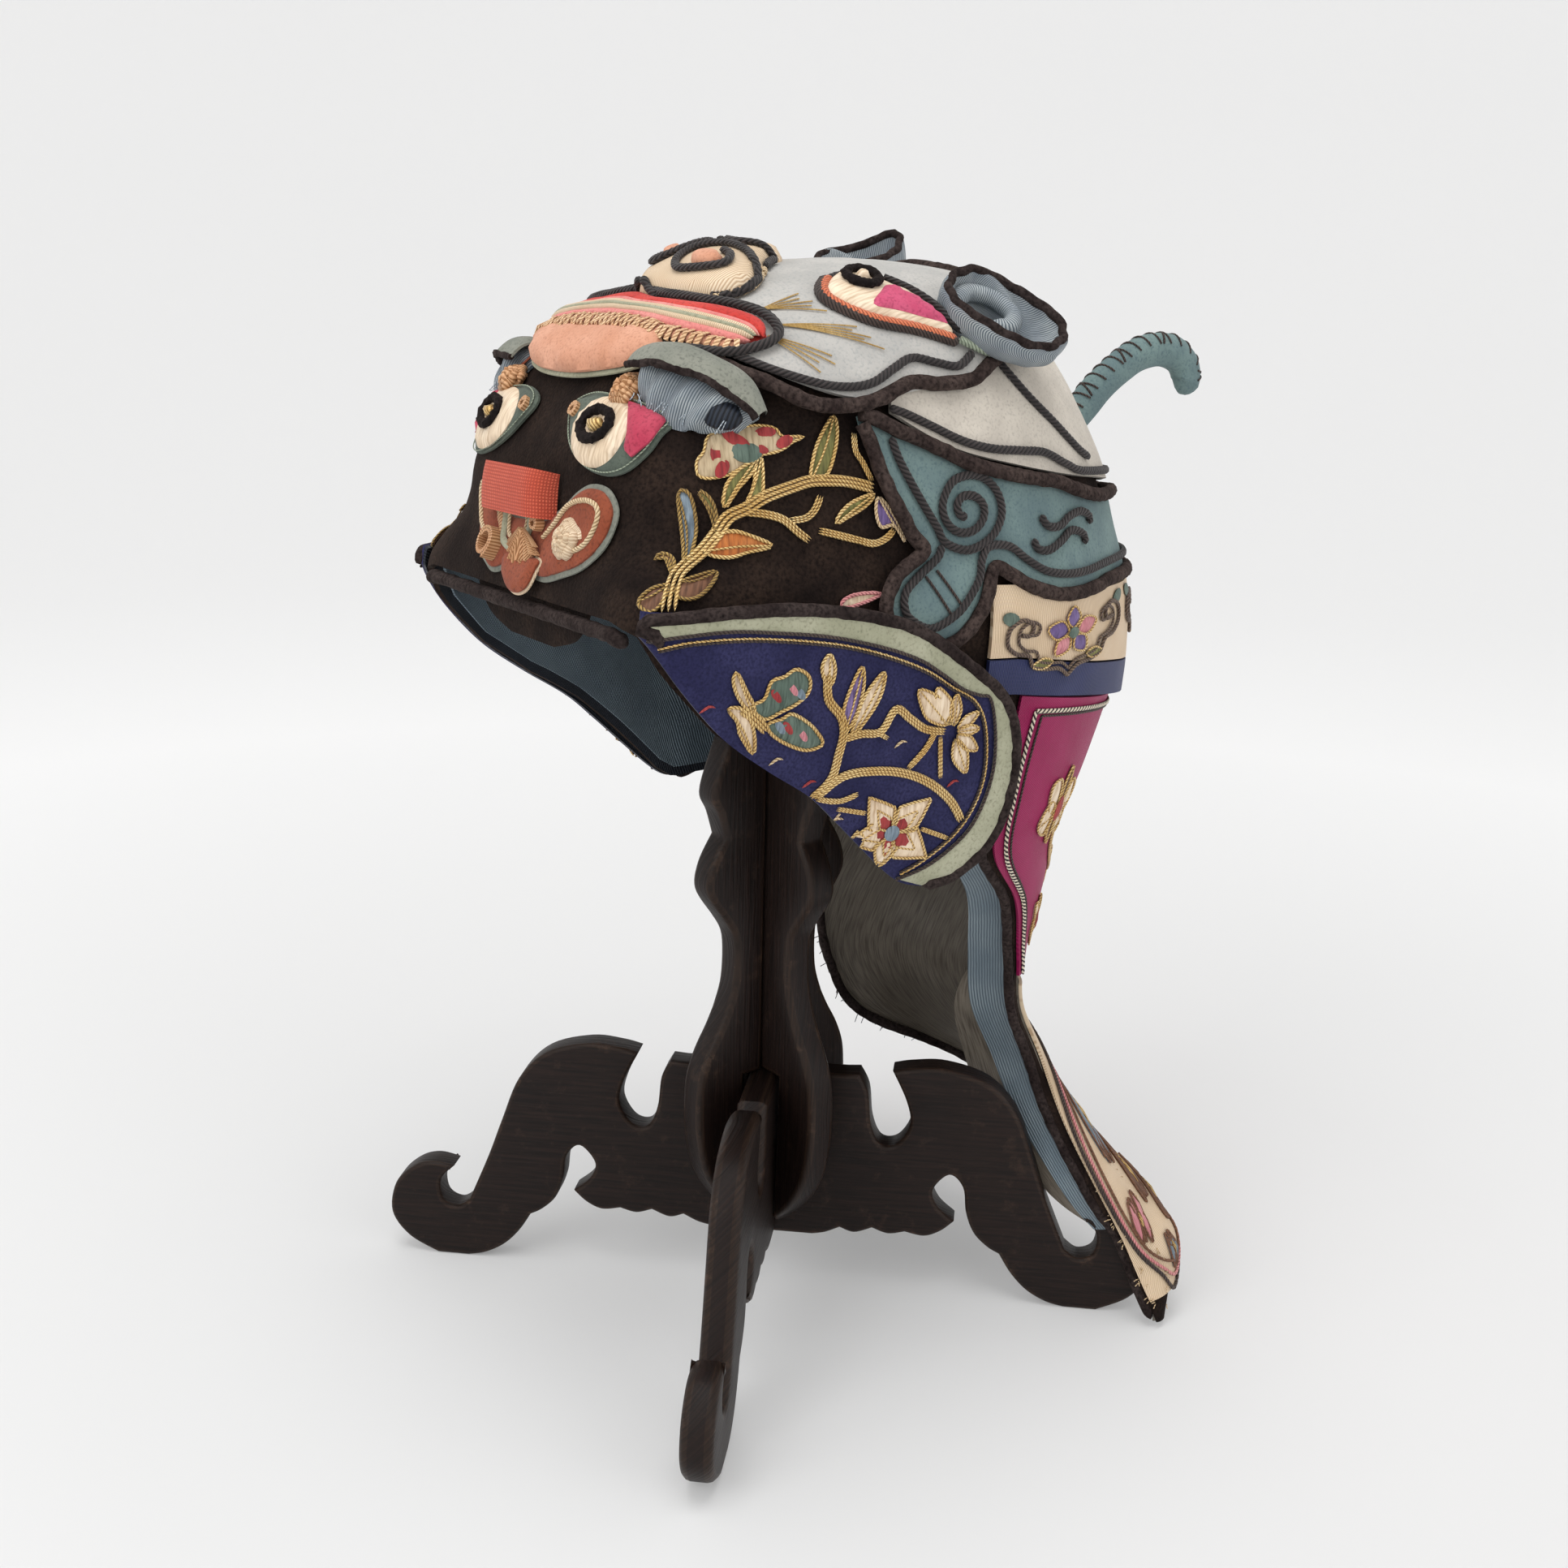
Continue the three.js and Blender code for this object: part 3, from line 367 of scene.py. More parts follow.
# %% Crown sections and the point straight out from the heart of the hood
CROWN_SECTIONS = [  # z, half width, front y, back y, squareness of the front and of the back
    (304.5, 0.5, 19.5, 20.5, 2, 2), (303.2, 19, -3, 43, 2.1, 2), (299.2, 35, -25, 58, 2.4, 2.1),
    (291.5, 48, -44, 68, 2.9, 2.2), (280, 57, -59, 77, 3.8, 2.2), (267, 63, -69, 84, 4.6, 2.3),
    (253, 67, -75, 92, 4.8, 2.3), (237, 69.5, -77, 98, 6, 2.3), (221, 73, -82, 103, 12, 2.3),
    (201, 72, -81, 106, 12, 2.3), (181, 69, -79, 106, 8, 2.3), (160, 66, -77, 104, 6, 2.3),
    (138, 63, -76, 102, 6, 2.3),
]
CROWN = curve(CROWN_SECTIONS, 34)[::-1]
MID_Y, TOP_Z = 15.0, 304.5
HEART = np.array([0.0, MID_Y, 225.0])


def section(z, ahead):
    """Half width, reach and squareness of the hood at a height, before or behind its middle."""
    half, front, back, square_front, square_back = (
        np.interp(z, CROWN[:, 0], CROWN[:, k]) for k in range(1, 6))
    reach = np.maximum(np.where(ahead, MID_Y - front, back - MID_Y), 0.2)
    return half, reach, np.where(ahead, square_front, square_back)


def crown_fill(points):
    """1 on the hood's outer surface, less inside it."""
    x, y, z = np.moveaxis(points, -1, 0)
    half, reach, power = section(z, y < MID_Y)
    fill = ((np.abs(x) / half) ** power + (np.abs(y - MID_Y) / reach) ** power) ** (1 / power)
    return np.where(z >= TOP_Z, 10.0, fill)


def crown_normal(points):
    """Outward direction of the hood's surface."""
    steps = np.eye(3) * 0.15
    slope = [crown_fill(points + s) - crown_fill(points - s) for s in steps]
    normal = unit(np.stack(slope, -1))
    flat_top = points[..., 2:] > TOP_Z - 1
    return np.where(flat_top, np.array([0.0, 0.0, 1.0]), normal)


def on_crown(guides):
    """Where the line from the hood's heart through each guide point leaves the hood."""
    away = unit(np.asarray(guides, float) - HEART)
    near, far = np.full(away.shape[:-1], 5.0), np.full(away.shape[:-1], 170.0)
    for _ in range(22):  # each pass halves the gap, down to less than a micrometre
        middle = (near + far) / 2
        within = crown_fill(HEART + away * middle[..., None]) < 1
        near, far = np.where(within, middle, near), np.where(within, far, middle)
    return HEART + away * near[..., None]


def raised(points, height):
    """Points of the hood's surface moved out by a height."""
    return points + crown_normal(points) * np.broadcast_to(height, points.shape[:-1])[..., None]


def uneven(points, size_mm):
    """Soft noise at each point of a grid, with swellings of a given size."""
    heights = [noise.noise(Vector(p / size_mm)) for p in points.reshape(-1, 3)]
    return np.array(heights).reshape(points.shape[:-1])


def round_wall(degrees, z):
    """The hood's wall at a plan angle from the brow, negative on the wearer's right."""
    degrees, z = np.broadcast_arrays(np.asarray(degrees, float), np.asarray(z, float))
    a = np.radians(np.abs(degrees))
    half, reach, power = section(z, np.cos(a) > 0)
    r = ((np.abs(np.sin(a)) / half) ** power + (np.abs(np.cos(a)) / reach) ** power) ** (-1 / power)
    return np.stack([np.where(degrees < 0, -1, 1) * r * np.sin(a), MID_Y - r * np.cos(a), z], -1)


def side_wall(y, z, side):
    """The hood's side wall at a y and a z."""
    half, reach, power = section(z, y < MID_Y)
    share = np.minimum(np.abs(y - MID_Y) / reach, 0.999)
    return np.stack([side * half * (1 - share ** power) ** (1 / power), y, z], -1)


print("crown width at z 221:", 2 * section(221.0, True)[0])

# %% [markdown]
# ## Grounds to sew on
# Appliqué is drawn flat and sewn on something curved. A ground is that pair: flat millimetres on
# one side, the curved place and its outward direction on the other. The crown's ground spreads the
# hood round one point as a map maker spreads a globe, which hardly stretches a small motif.

# %% A ground on the crown


class CrownGround:
    """The hood's surface spread flat round a middle point."""

    def __init__(self, middle):
        pole = unit(np.asarray(middle, float) - HEART)
        east = unit(np.cross((0, 0, 1), pole))
        self.axes = np.array([east, np.cross(pole, east), pole])
        self.radius = np.linalg.norm(on_crown(np.asarray([middle], float))[0] - HEART)

    def flat(self, guides):
        """Flat millimetres of points near the hood."""
        e, n, up = (unit(np.asarray(guides, float) - HEART) @ self.axes.T).T
        away = np.hypot(e, n)
        scale = self.radius * np.arctan2(away, up) / np.maximum(away, 1e-9)
        return np.stack([e * scale, n * scale], -1)

    def onto(self, flat, height=0.0):
        """Curved place and outward direction of flat points."""
        flat = np.asarray(flat, float)
        away = np.maximum(np.linalg.norm(flat, axis=-1), 1e-9)
        lean = away / self.radius
        spread = flat / away[:, None] * np.sin(lean)[:, None]
        aim = np.concatenate([spread, np.cos(lean)[:, None]], 1) @ self.axes
        place = on_crown(HEART + aim)
        normal = crown_normal(place)
        return place + normal * np.broadcast_to(height, away.shape)[:, None], normal


BROW = CrownGround((0, -81, 235))
TOP = CrownGround((0, -28, 297))
NEAR_SIDE = {1: CrownGround((72, -20, 240)), -1: CrownGround((-72, -20, 240))}
REAR_SIDE = {1: CrownGround((72, 30, 235)), -1: CrownGround((-72, 30, 235))}
print("crown grounds:", 2 + len(NEAR_SIDE) + len(REAR_SIDE))

# %% [markdown]
# ## Solid shapes
# Three shapes make nearly all of the hat. A patch is cloth cut to an outline, with its own
# thickness and, if stuffed, a crowned middle. A band is a grid with two faces. A cord is a tube
# whose rings follow a line, with the strands modelled as a relief on it. All three are closed,
# because real cloth has two sides and an edge.

# %% Patches of cloth


def inside_outline(points, outline):
    """Which flat points lie inside a closed flat outline."""
    x, y = points.T
    inside = np.zeros(len(points), bool)
    for (x0, y0), (x1, y1) in zip(outline, np.roll(outline, -1, 0)):
        crosses = (y0 > y) != (y1 > y)
        rise = np.where(abs(y1 - y0) < 1e-12, 1e-12, y1 - y0)
        inside ^= crosses & (x < x0 + (y - y0) * (x1 - x0) / rise)
    return inside


def edge_distance(points, outline):
    """Distance of flat points to the nearest edge of an outline."""
    nearest = np.full(len(points), 1e9)
    for a, b in zip(outline, np.roll(outline, -1, 0)):
        edge = b - a
        share = np.clip(((points - a) @ edge) / max(edge @ edge, 1e-9), 0, 1)
        nearest = np.minimum(nearest, np.linalg.norm(points - a - share[:, None] * edge, axis=1))
    return nearest


def fill_outline(outline, step):
    """Flat points and triangles that fill a closed outline. The outline's points come first."""
    low, high = outline.min(0), outline.max(0)
    rows = []
    for i, y in enumerate(np.arange(low[1] + step / 2, high[1], step * 0.866)):
        x = np.arange(low[0] + (step / 2 if i % 2 else 0), high[0], step)
        rows.append(np.stack([x, np.full_like(x, y)], -1))
    grid = np.concatenate(rows) if rows else np.zeros((0, 2))
    if len(grid):
        grid = grid[inside_outline(grid, outline)]
    if len(grid):
        grid = grid[edge_distance(grid, outline) > step * 0.45]
    flat = np.concatenate([outline, grid])
    ring = [(i, (i + 1) % len(outline)) for i in range(len(outline))]
    made = delaunay_2d_cdt([Vector(p) for p in flat], ring, [], 1, 1e-5)
    points = np.array([tuple(p) for p in made[0]])
    return points, [tuple(f) for f in made[2]], [tuple(e) for e in made[1]]


def patch(piece, ground, outline, low, high, look, crowned=0.0, step=2.0, wave=0.0, soft=2.5):
    """Cloth cut to a closed flat outline, from a low to a high side. Crowned lifts its middle and
    wave puckers it. Its edge is rounded over the soft distance."""
    points, faces, _ = fill_outline(np.asarray(outline, float), step)
    count = {}
    for face in faces:
        for a, b in zip(face, face[1:] + face[:1]):
            count[frozenset((a, b))] = count.get(frozenset((a, b)), 0) + 1
    rim = [(a, b) for face in faces for a, b in zip(face, face[1:] + face[:1])
           if count[frozenset((a, b))] == 1]
    depth = edge_distance(points, np.asarray(outline, float))
    widest = max(depth.max(), 1e-6)
    roll = np.sqrt(np.clip(1 - (1 - np.clip(depth / soft, 0, 1)) ** 2, 0, 1))
    dome = np.sqrt(np.clip(1 - (1 - depth / widest) ** 2, 0, 1))
    ripple = np.array([noise.noise(Vector((*p * 0.23, 3.1))) for p in points]) * wave
    thick = high - low
    top = low + thick * (0.45 + 0.55 * roll) + (crowned * dome if crowned else 0) + ripple * roll
    over, _ = ground.onto(points, top)
    under, _ = ground.onto(points, low)
    n = len(points)
    sides = [(a, a + n, b + n, b) for a, b in rim]
    piece.add(np.concatenate([over, under]), faces + [tuple(v + n for v in f[::-1]) for f in faces]
              + sides, look, np.concatenate([points, points]))
    return over


swatch = np.array([(0, 0), (20, 0), (20, 20), (0, 20)], float)
print("triangles in 20 mm of cloth:", len(fill_outline(swatch, 2.0)[1]))

# %% [markdown]
# A band is quicker than a patch where the cut is four-sided: its rows and columns are already a
# mesh. Its cloth coordinates are measured on the finished surface, so a weave keeps its real size.

# %% Bands with two faces


def run_along(grid, axis):
    """Distance from the first row (0) or column (1) at each point of a grid."""
    gaps = np.linalg.norm(np.diff(grid, axis=axis), axis=2)
    return np.insert(np.cumsum(gaps, axis), 0, 0.0, axis)


def cloth_grid(grid):
    """Cloth coordinates in millimetres of a grid of points, measured from its middle column."""
    across, down = run_along(grid, 1), run_along(grid, 0)
    middle = grid.shape[1] // 2
    return np.stack([across - across[:, middle:middle + 1],
                     np.broadcast_to(down[:, middle:middle + 1], across.shape)], -1)


def grid_faces(rows, columns, wrap=False):
    """Faces of a grid of points, wrapped round in its columns if asked."""
    last = columns if wrap else columns - 1
    return [(i * columns + j, i * columns + (j + 1) % columns,
             (i + 1) * columns + (j + 1) % columns, (i + 1) * columns + j)
            for i in range(rows - 1) for j in range(last)]


def band(piece, outer, inner, look, inner_look=None):
    """A closed sheet between two grids of points of the same size."""
    rows, columns = outer.shape[:2]
    flat = cloth_grid(outer).reshape(-1, 2)
    n = rows * columns
    points = np.concatenate([outer.reshape(-1, 3), inner.reshape(-1, 3)])
    faces = grid_faces(rows, columns)
    inside = [tuple(v + n for v in f[::-1]) for f in faces]
    ring = [(0, j) for j in range(columns)] + [(i, columns - 1) for i in range(1, rows)]
    ring += [(rows - 1, j) for j in range(columns - 2, -1, -1)]
    ring += [(i, 0) for i in range(rows - 2, 0, -1)]
    ids = [i * columns + j for i, j in ring]
    edge = [(a, a + n, b + n, b) for a, b in zip(ids, ids[1:] + ids[:1])]
    both = np.concatenate([flat, flat])
    piece.add(points, faces + edge + (inside if inner_look is None else []), look, both)
    if inner_look is not None:
        piece.add(points, inside, inner_look, both)


print("faces of a grid of 3 by 4 points:", len(grid_faces(3, 4)))

# %% [markdown]
# A cord is swept along its line. Its rings turn with the ground it lies on, so a flat braid stays
# flat. The relief is the plait: strands that meet in a chevron on a braid, or run round and round
# on a twisted cord. A worn chenille cord gets an uneven fluff instead.

# %% Cords


def cord(piece, line, normals, width, thick, look, plait="braid", pitch=2.2, relief=0.16, sides=8,
         closed=False, taper=0.0):
    """A cord along an even line. Normals point out of the ground, width lies along it. Width and
    thickness may change along the line."""
    line, normals = np.asarray(line, float), unit(normals)
    ahead = np.roll(line, -1, 0) - np.roll(line, 1, 0)
    if not closed:
        ahead[0], ahead[-1] = line[1] - line[0], line[-1] - line[-2]
    across = unit(np.cross(unit(ahead), normals))
    out = np.cross(across, unit(ahead))
    width, thick = (np.broadcast_to(v, len(line))[:, None] for v in (width, thick))
    s = measure(line)[:, None]
    a = (np.arange(sides) / sides * 2 * math.pi)[None, :]
    spread = np.cos(a) * width / 2
    if plait == "braid":
        swell = np.abs(np.sin(math.pi * (s + np.abs(spread) * 1.1) / pitch))
    elif plait == "twist":
        swell = np.abs(np.sin(math.pi * s / pitch + a))
    else:
        swell = np.array([[noise.noise(Vector((v * 0.9 / pitch, k * 0.7, 7.7))) * 0.9 + 0.5
                           for k in range(sides)] for v in s[:, 0]])
    size = 1 - relief + relief * 1.4 * swell
    if taper:
        ends = np.minimum(s, s[-1] - s) / taper
        size = size * np.sqrt(np.clip(ends, 0.02, 1))
    ring = (line[:, None] + across[:, None] * (np.cos(a) * size * width / 2)[..., None]
            + out[:, None] * (np.sin(a) * size * thick / 2)[..., None])
    rows = len(line)
    points = ring.reshape(-1, 3)
    faces = grid_faces(rows, sides, wrap=True)
    if closed:
        tail = (rows - 1) * sides
        faces += [(tail + j, tail + (j + 1) % sides, (j + 1) % sides, j) for j in range(sides)]
    else:
        faces += [tuple(range(sides))[::-1], tuple((rows - 1) * sides + j for j in range(sides))]
    girth = float((width + thick).mean()) / 2
    round_mm = (a[0] - math.pi) * girth / 2
    flat = np.stack([np.broadcast_to(s, (rows, sides)),
                     np.broadcast_to(round_mm, (rows, sides))], -1).reshape(-1, 2)
    corners = []
    for face in faces:
        uv = flat[list(face)].copy()
        if len(face) == 4 and uv[:, 1].max() - uv[:, 1].min() > girth * 1.6:
            uv[uv[:, 1] < 0, 1] += math.pi * girth
        corners.append(uv)
    piece.add(points, faces, look, corners=np.concatenate(corners))


def flat_on(ground, guides):
    """Guide points in a ground's flat millimetres. Those already flat stay as they are."""
    guides = np.asarray(guides, float)
    return ground.flat(guides) if guides.shape[-1] == 3 else guides


def sewn_cord(piece, ground, guides, height, width, thick, look, closed=False, step=0.7, **relief):
    """A cord laid through guide points on a ground, its middle at a height over it."""
    line = smooth(flat_on(ground, guides), step, closed)
    places, normals = ground.onto(line, height)
    cord(piece, places, normals, width, thick, look, closed=closed, **relief)


print("shapes ready: patch, band, cord")

# %% [markdown]
# ## Finishes
# Every cloth here is told from its neighbours by three things: soft clouds of wear and dye, the
# figure of its threads, and how it scatters light. One recipe joins them. Each figure's spacing is
# in real millimetres. Threads finer than about 0.5 mm are drawn at 0.5 to 0.9 mm, or they would be
# lost. The Principled shader's sheen stands for loose fibre ends, strong on velvet and felt.

# %% The figures that threads make
WAVE_MM = 0.3142  # a wave texture of scale 1 repeats after this many units


def fibres(size_mm, detail=5.0):
    """Matted fibres with no direction, as in felt, pile or fluff."""
    def draw(tree, place):
        made = add_node(tree, "ShaderNodeTexNoise", {"Vector": place.outputs["Object"],
                                                     "Scale": 1000 / size_mm, "Detail": detail})
        return made.outputs["Fac"]
    return draw


def ribs(period_mm, across=True, uneven=1.5):
    """Ribs of a corded silk along the cloth."""
    def draw(tree, place):
        made = add_node(tree, "ShaderNodeTexWave", {
            "Vector": place.outputs["UV"], "Scale": WAVE_MM / period_mm, "Distortion": uneven,
            "Detail": 2.0, "Detail Scale": 0.6}, bands_direction="X" if across else "Y")
        return made.outputs["Fac"]
    return draw


def weave(period_mm):
    """Plain weave: warp and weft that cross in rows of small bumps."""
    def draw(tree, place):
        warp, weft = (add_node(tree, "ShaderNodeTexWave", {
            "Vector": place.outputs["UV"], "Scale": WAVE_MM / period_mm, "Distortion": 0.9,
            "Detail": 1.0}, bands_direction=way) for way in "XY")
        made = add_node(tree, "ShaderNodeMath", {0: warp.outputs["Fac"], 1: weft.outputs["Fac"]},
                        operation="MULTIPLY")
        return made.outputs[0]
    return draw


def plaited(period_mm, slant=1.1, meet=True):
    """Strands across a cord, meeting in a chevron or all slanting one way."""
    def draw(tree, place):
        split = add_node(tree, "ShaderNodeSeparateXYZ", {0: place.outputs["UV"]})
        side = add_node(tree, "ShaderNodeMath", {0: split.outputs["Y"]},
                        operation="ABSOLUTE" if meet else "MULTIPLY_ADD")
        if not meet:
            side.inputs[1].default_value, side.inputs[2].default_value = 1.0, 0.0
        lean = add_node(tree, "ShaderNodeMath", {0: side.outputs[0], 1: slant,
                                                 2: split.outputs["X"]}, operation="MULTIPLY_ADD")
        back = add_node(tree, "ShaderNodeCombineXYZ", {"X": lean.outputs[0]})
        made = add_node(tree, "ShaderNodeTexWave", {"Vector": back.outputs[0],
                                                    "Scale": WAVE_MM / period_mm})
        return made.outputs["Fac"]
    return draw


def floats(width_mm, length_mm, across=True):
    """Long parallel threads side by side: satin, or rows of satin stitch."""
    def draw(tree, place):
        size = (1 / width_mm, 1 / length_mm, 1) if across else (1 / length_mm, 1 / width_mm, 1)
        stretch = add_node(tree, "ShaderNodeMapping", {"Vector": place.outputs["UV"],
                                                       "Scale": size})
        made = add_node(tree, "ShaderNodeTexNoise", {"Vector": stretch.outputs[0], "Scale": 1.0,
                                                     "Detail": 2.0})
        return made.outputs["Fac"]
    return draw


print("ribs 0.9 mm apart need a wave scale of", round(WAVE_MM / 0.9, 3))

# %% [markdown]
# Three colours are enough for an old textile: two that fade into each other in clouds, and a darker
# one between the threads, which is painted shade in the hollows of the figure (on the chevron
# stitch it is the black thread). A painted texture could hold them too, but it would blur close by.
# The figure also lifts the surface, because threads are seen by their shadows.

# %% One recipe for every textile


def cloth_finish(name, tones, figure, relief_mm, cloud_mm=14.0, hollow=(0.25, 0.6), **shading):
    """A textile in three tones: two in soft clouds, the third a painted shade in the hollows of its
    figure.
    """
    material, tree, shader = new_finish(name, **{"Roughness": 0.85, **shading})
    place = add_node(tree, "ShaderNodeTexCoord")
    height = figure(tree, place)
    cloud = add_node(tree, "ShaderNodeTexNoise", {"Vector": place.outputs["Object"],
                                                  "Scale": 1000 / cloud_mm, "Detail": 3.0})
    patchy = add_node(tree, "ShaderNodeMapRange", {"Value": cloud.outputs["Fac"],
                                                   "From Min": 0.36, "From Max": 0.64})
    body = add_node(tree, "ShaderNodeMixRGB", {"Fac": patchy.outputs[0],
                                               "Color1": colour(tones[0]),
                                               "Color2": colour(tones[1])})
    # Painted shade: the third tone darkens the hollows of the figure, where its shadows fall.
    depth = add_node(tree, "ShaderNodeMapRange", {"Value": height, "From Min": hollow[0],
                                                  "From Max": hollow[1]})
    whole = add_node(tree, "ShaderNodeMixRGB", {"Fac": depth.outputs[0],
                                                "Color1": colour(tones[2]),
                                                "Color2": body.outputs[0]})
    bump = add_node(tree, "ShaderNodeBump", {"Strength": 0.8, "Distance": relief_mm * MM,
                                             "Height": height})
    tree.links.new(whole.outputs[0], shader.inputs["Base Color"])
    tree.links.new(bump.outputs[0], shader.inputs["Normal"])
    return material


# %% [markdown]
# ## The stand's wood
# The boards are a dense hardwood, stained nearly black and waxed. Handling has rubbed the arrises
# brown. The grain runs along each board, so its noise is stretched along the board's own
# coordinates. The bevelled edges get a lighter, browner copy of the same wood, which stands for the
# rubbing and also paints in the highlight that every rounded edge catches.

# %% Stained hardwood


def hardwood(name, dark, streak, scuff, roughness):
    """Stained, waxed hardwood with grain along the board and small scuffs."""
    material, tree, shader = new_finish(name, Roughness=roughness, IOR=1.5,
                                        Specular_IOR_Level=0.2)
    place = add_node(tree, "ShaderNodeTexCoord")
    # Fibres 20 mm long and 0.9 mm wide. Real pores are finer than that and would be lost.
    long_way = add_node(tree, "ShaderNodeMapping", {"Vector": place.outputs["UV"],
                                                    "Scale": (0.05, 1.1, 1.0)})
    grain = add_node(tree, "ShaderNodeTexNoise", {"Vector": long_way.outputs[0], "Scale": 1.0,
                                                  "Detail": 6.0, "Distortion": 0.4})
    pores = add_node(tree, "ShaderNodeMapRange", {"Value": grain.outputs["Fac"],
                                                  "From Min": 0.35, "From Max": 0.7})
    marks = add_node(tree, "ShaderNodeTexNoise", {"Vector": place.outputs["Object"],
                                                  "Scale": 140.0, "Detail": 8.0,
                                                  "Roughness": 0.75})
    rubbed = add_node(tree, "ShaderNodeMapRange", {"Value": marks.outputs["Fac"],
                                                   "From Min": 0.56, "From Max": 0.74})
    body = add_node(tree, "ShaderNodeMixRGB", {"Fac": pores.outputs[0], "Color1": colour(dark),
                                               "Color2": colour(streak)})
    whole = add_node(tree, "ShaderNodeMixRGB", {"Fac": rubbed.outputs[0],
                                                "Color1": body.outputs[0],
                                                "Color2": colour(scuff)})
    bump = add_node(tree, "ShaderNodeBump", {"Strength": 0.55, "Distance": 0.0004,
                                             "Height": grain.outputs["Fac"]})
    tree.links.new(whole.outputs[0], shader.inputs["Base Color"])
    tree.links.new(bump.outputs[0], shader.inputs["Normal"])
    return material


HARDWOOD = hardwood("stained_hardwood", "150e0c", "241814", "35271f", 0.48)
# Rounded arrises, lighter and browner than the faces: rubbing, and a painted highlight along every
# edge.
RUBBED_HIGHLIT_HARDWOOD = hardwood("rubbed_highlit_hardwood_edge", "1d1410", "32241c", "4d3a2e", 0.44)
print("woods:", HARDWOOD.name, "and", RUBBED_HIGHLIT_HARDWOOD.name)

# %% [markdown]
# ## The cloths
# Velvet is black-brown cotton with its pile worn down in places. The felts are milled wool, soft
# and dull. The silks are corded or satin, with a low roughness across their threads. The linen of
# the small nose shows its weave. Cords are cotton braid, chenille and gold-wrapped thread.

# %% Velvets and felts
WOOLLY = {"Roughness": 0.95, "Specular_IOR_Level": 0.1, "Sheen_Weight": 0.1,
          "Sheen_Roughness": 0.6}
# Cut pile: dark where one looks into it, with a faint bloom at grazing angles.
PILE = {"Roughness": 0.9, "Specular_IOR_Level": 0.08, "Sheen_Weight": 0.12,
        "Sheen_Roughness": 0.45, "Sheen_Tint": colour("8d7a70")}
VELVET = cloth_finish("cotton_velvet", ("1b1412", "30251f", "110c0b"), fibres(0.9, 6.0), 0.4, 15,
                      hollow=(0.25, 0.6), **PILE)
PIPING = cloth_finish("rolled_velvet", ("2a2221", "3f3634", "120d0d"), fibres(1.0), 0.5, 7, **PILE)


def felt(name, *tones):
    """Milled wool: no threads to see, only fibres of about a millimetre."""
    return cloth_finish(name, tones, fibres(0.8, 4.0), 0.22, 11, hollow=(0.2, 0.5), **WOOLLY)


TEAL_FELT = felt("teal_wool_felt", "627678", "718684", "50646a")
FACE_FELT = felt("grey_blue_wool_felt", "adaba7", "bab7b2", "989a99")
SADDLE_FELT = felt("light_grey_wool_felt", "bbb3a8", "cac2b6", "a79f95")
PEACH_FELT = felt("peach_wool_felt", "ca9073", "d69f84", "b0775c")
RUST_FELT = felt("rust_wool_felt", "84402a", "944d34", "5e2d1e")
RED_FELT = felt("red_wool_felt", "c03a34", "cc4840", "8a2722")
PINK_FELT = felt("pink_wool_felt", "d67f7a", "de938b", "ad5f5c")
ROSE_FELT = felt("rose_wool_felt", "c04a6c", "cf6080", "983552")
SAGE_FELT = felt("sage_wool_felt", "9a9a82", "acab94", "7d7d68")
GREY_GREEN_FELT = felt("grey_green_wool_felt", "777a70", "88897e", "5a5d55")
print("felts:", sum("felt" in look.name for look in bpy.data.materials))

# %% Silks, satin and linen
# Silk throws back more light than wool: lower roughness and little sheen.
SILKY = {"Roughness": 0.5, "Specular_IOR_Level": 0.25, "Sheen_Weight": 0.05,
         "Sheen_Roughness": 0.4}


def silk_cloth(name, tones, figure, relief_mm, cloud_mm, **shading):
    """Woven or stitched silk. Its figure is the ribs or floats that it was woven with."""
    return cloth_finish(name, tones, figure, relief_mm, cloud_mm, **{**SILKY, **shading})


BLUE_SILK = silk_cloth("corded_blue_silk", ("65727b", "78868d", "46535d"), ribs(0.9), 0.22, 16)
EAR_SILK = silk_cloth("pleated_grey_blue_silk", ("878f96", "aab0b2", "566068"), ribs(0.7), 0.1,
                      9)
FACING_SILK = silk_cloth("corded_facing_silk", ("76848d", "8b989f", "5a6771"), ribs(0.9), 0.2,
                         14)
PALE_SILK = silk_cloth("corded_pale_silk", ("a9b3bb", "bcc4c8", "87929c"), ribs(0.9), 0.2, 16)
BROWN_SILK = silk_cloth("brown_silk_lining", ("6a6257", "7b7368", "4d463e"), floats(0.6, 9),
                        0.2, 20)
CREAM_SILK = silk_cloth("cream_silk", ("dac3a3", "e6d2b6", "bea284"), ribs(0.55), 0.08, 13)
CREAM_SATIN = silk_cloth("cream_satin_stitch", ("e2ccaf", "eedcc3", "b89c7d"), floats(0.7, 7),
                         0.25, 9)
MAGENTA_SILK = silk_cloth("magenta_silk", ("96144f", "a5205c", "820c45"), ribs(0.6), 0.12, 12)
PURPLE_SILK = silk_cloth("purple_silk", ("252548", "323257", "191936"), fibres(0.7), 0.15, 12,
                         Roughness=0.75, Specular_IOR_Level=0.15)
NAVY_SILK = silk_cloth("navy_silk", ("2a3058", "353b66", "20264a"), ribs(0.6), 0.12, 12)
NIGHT_SILK = silk_cloth("blue_black_silk", ("1d222c", "2b313c", "11141b"), ribs(0.9), 0.22, 14)
CORAL_LINEN = cloth_finish("coral_linen", ("cd5a42", "da6c52", "a84534"), weave(0.85), 0.22, 8,
                           hollow=(0.1, 0.5), Roughness=0.9, Specular_IOR_Level=0.25,
                           Sheen_Weight=0.1)
print("silks:", sum("silk" in look.name for look in bpy.data.materials))

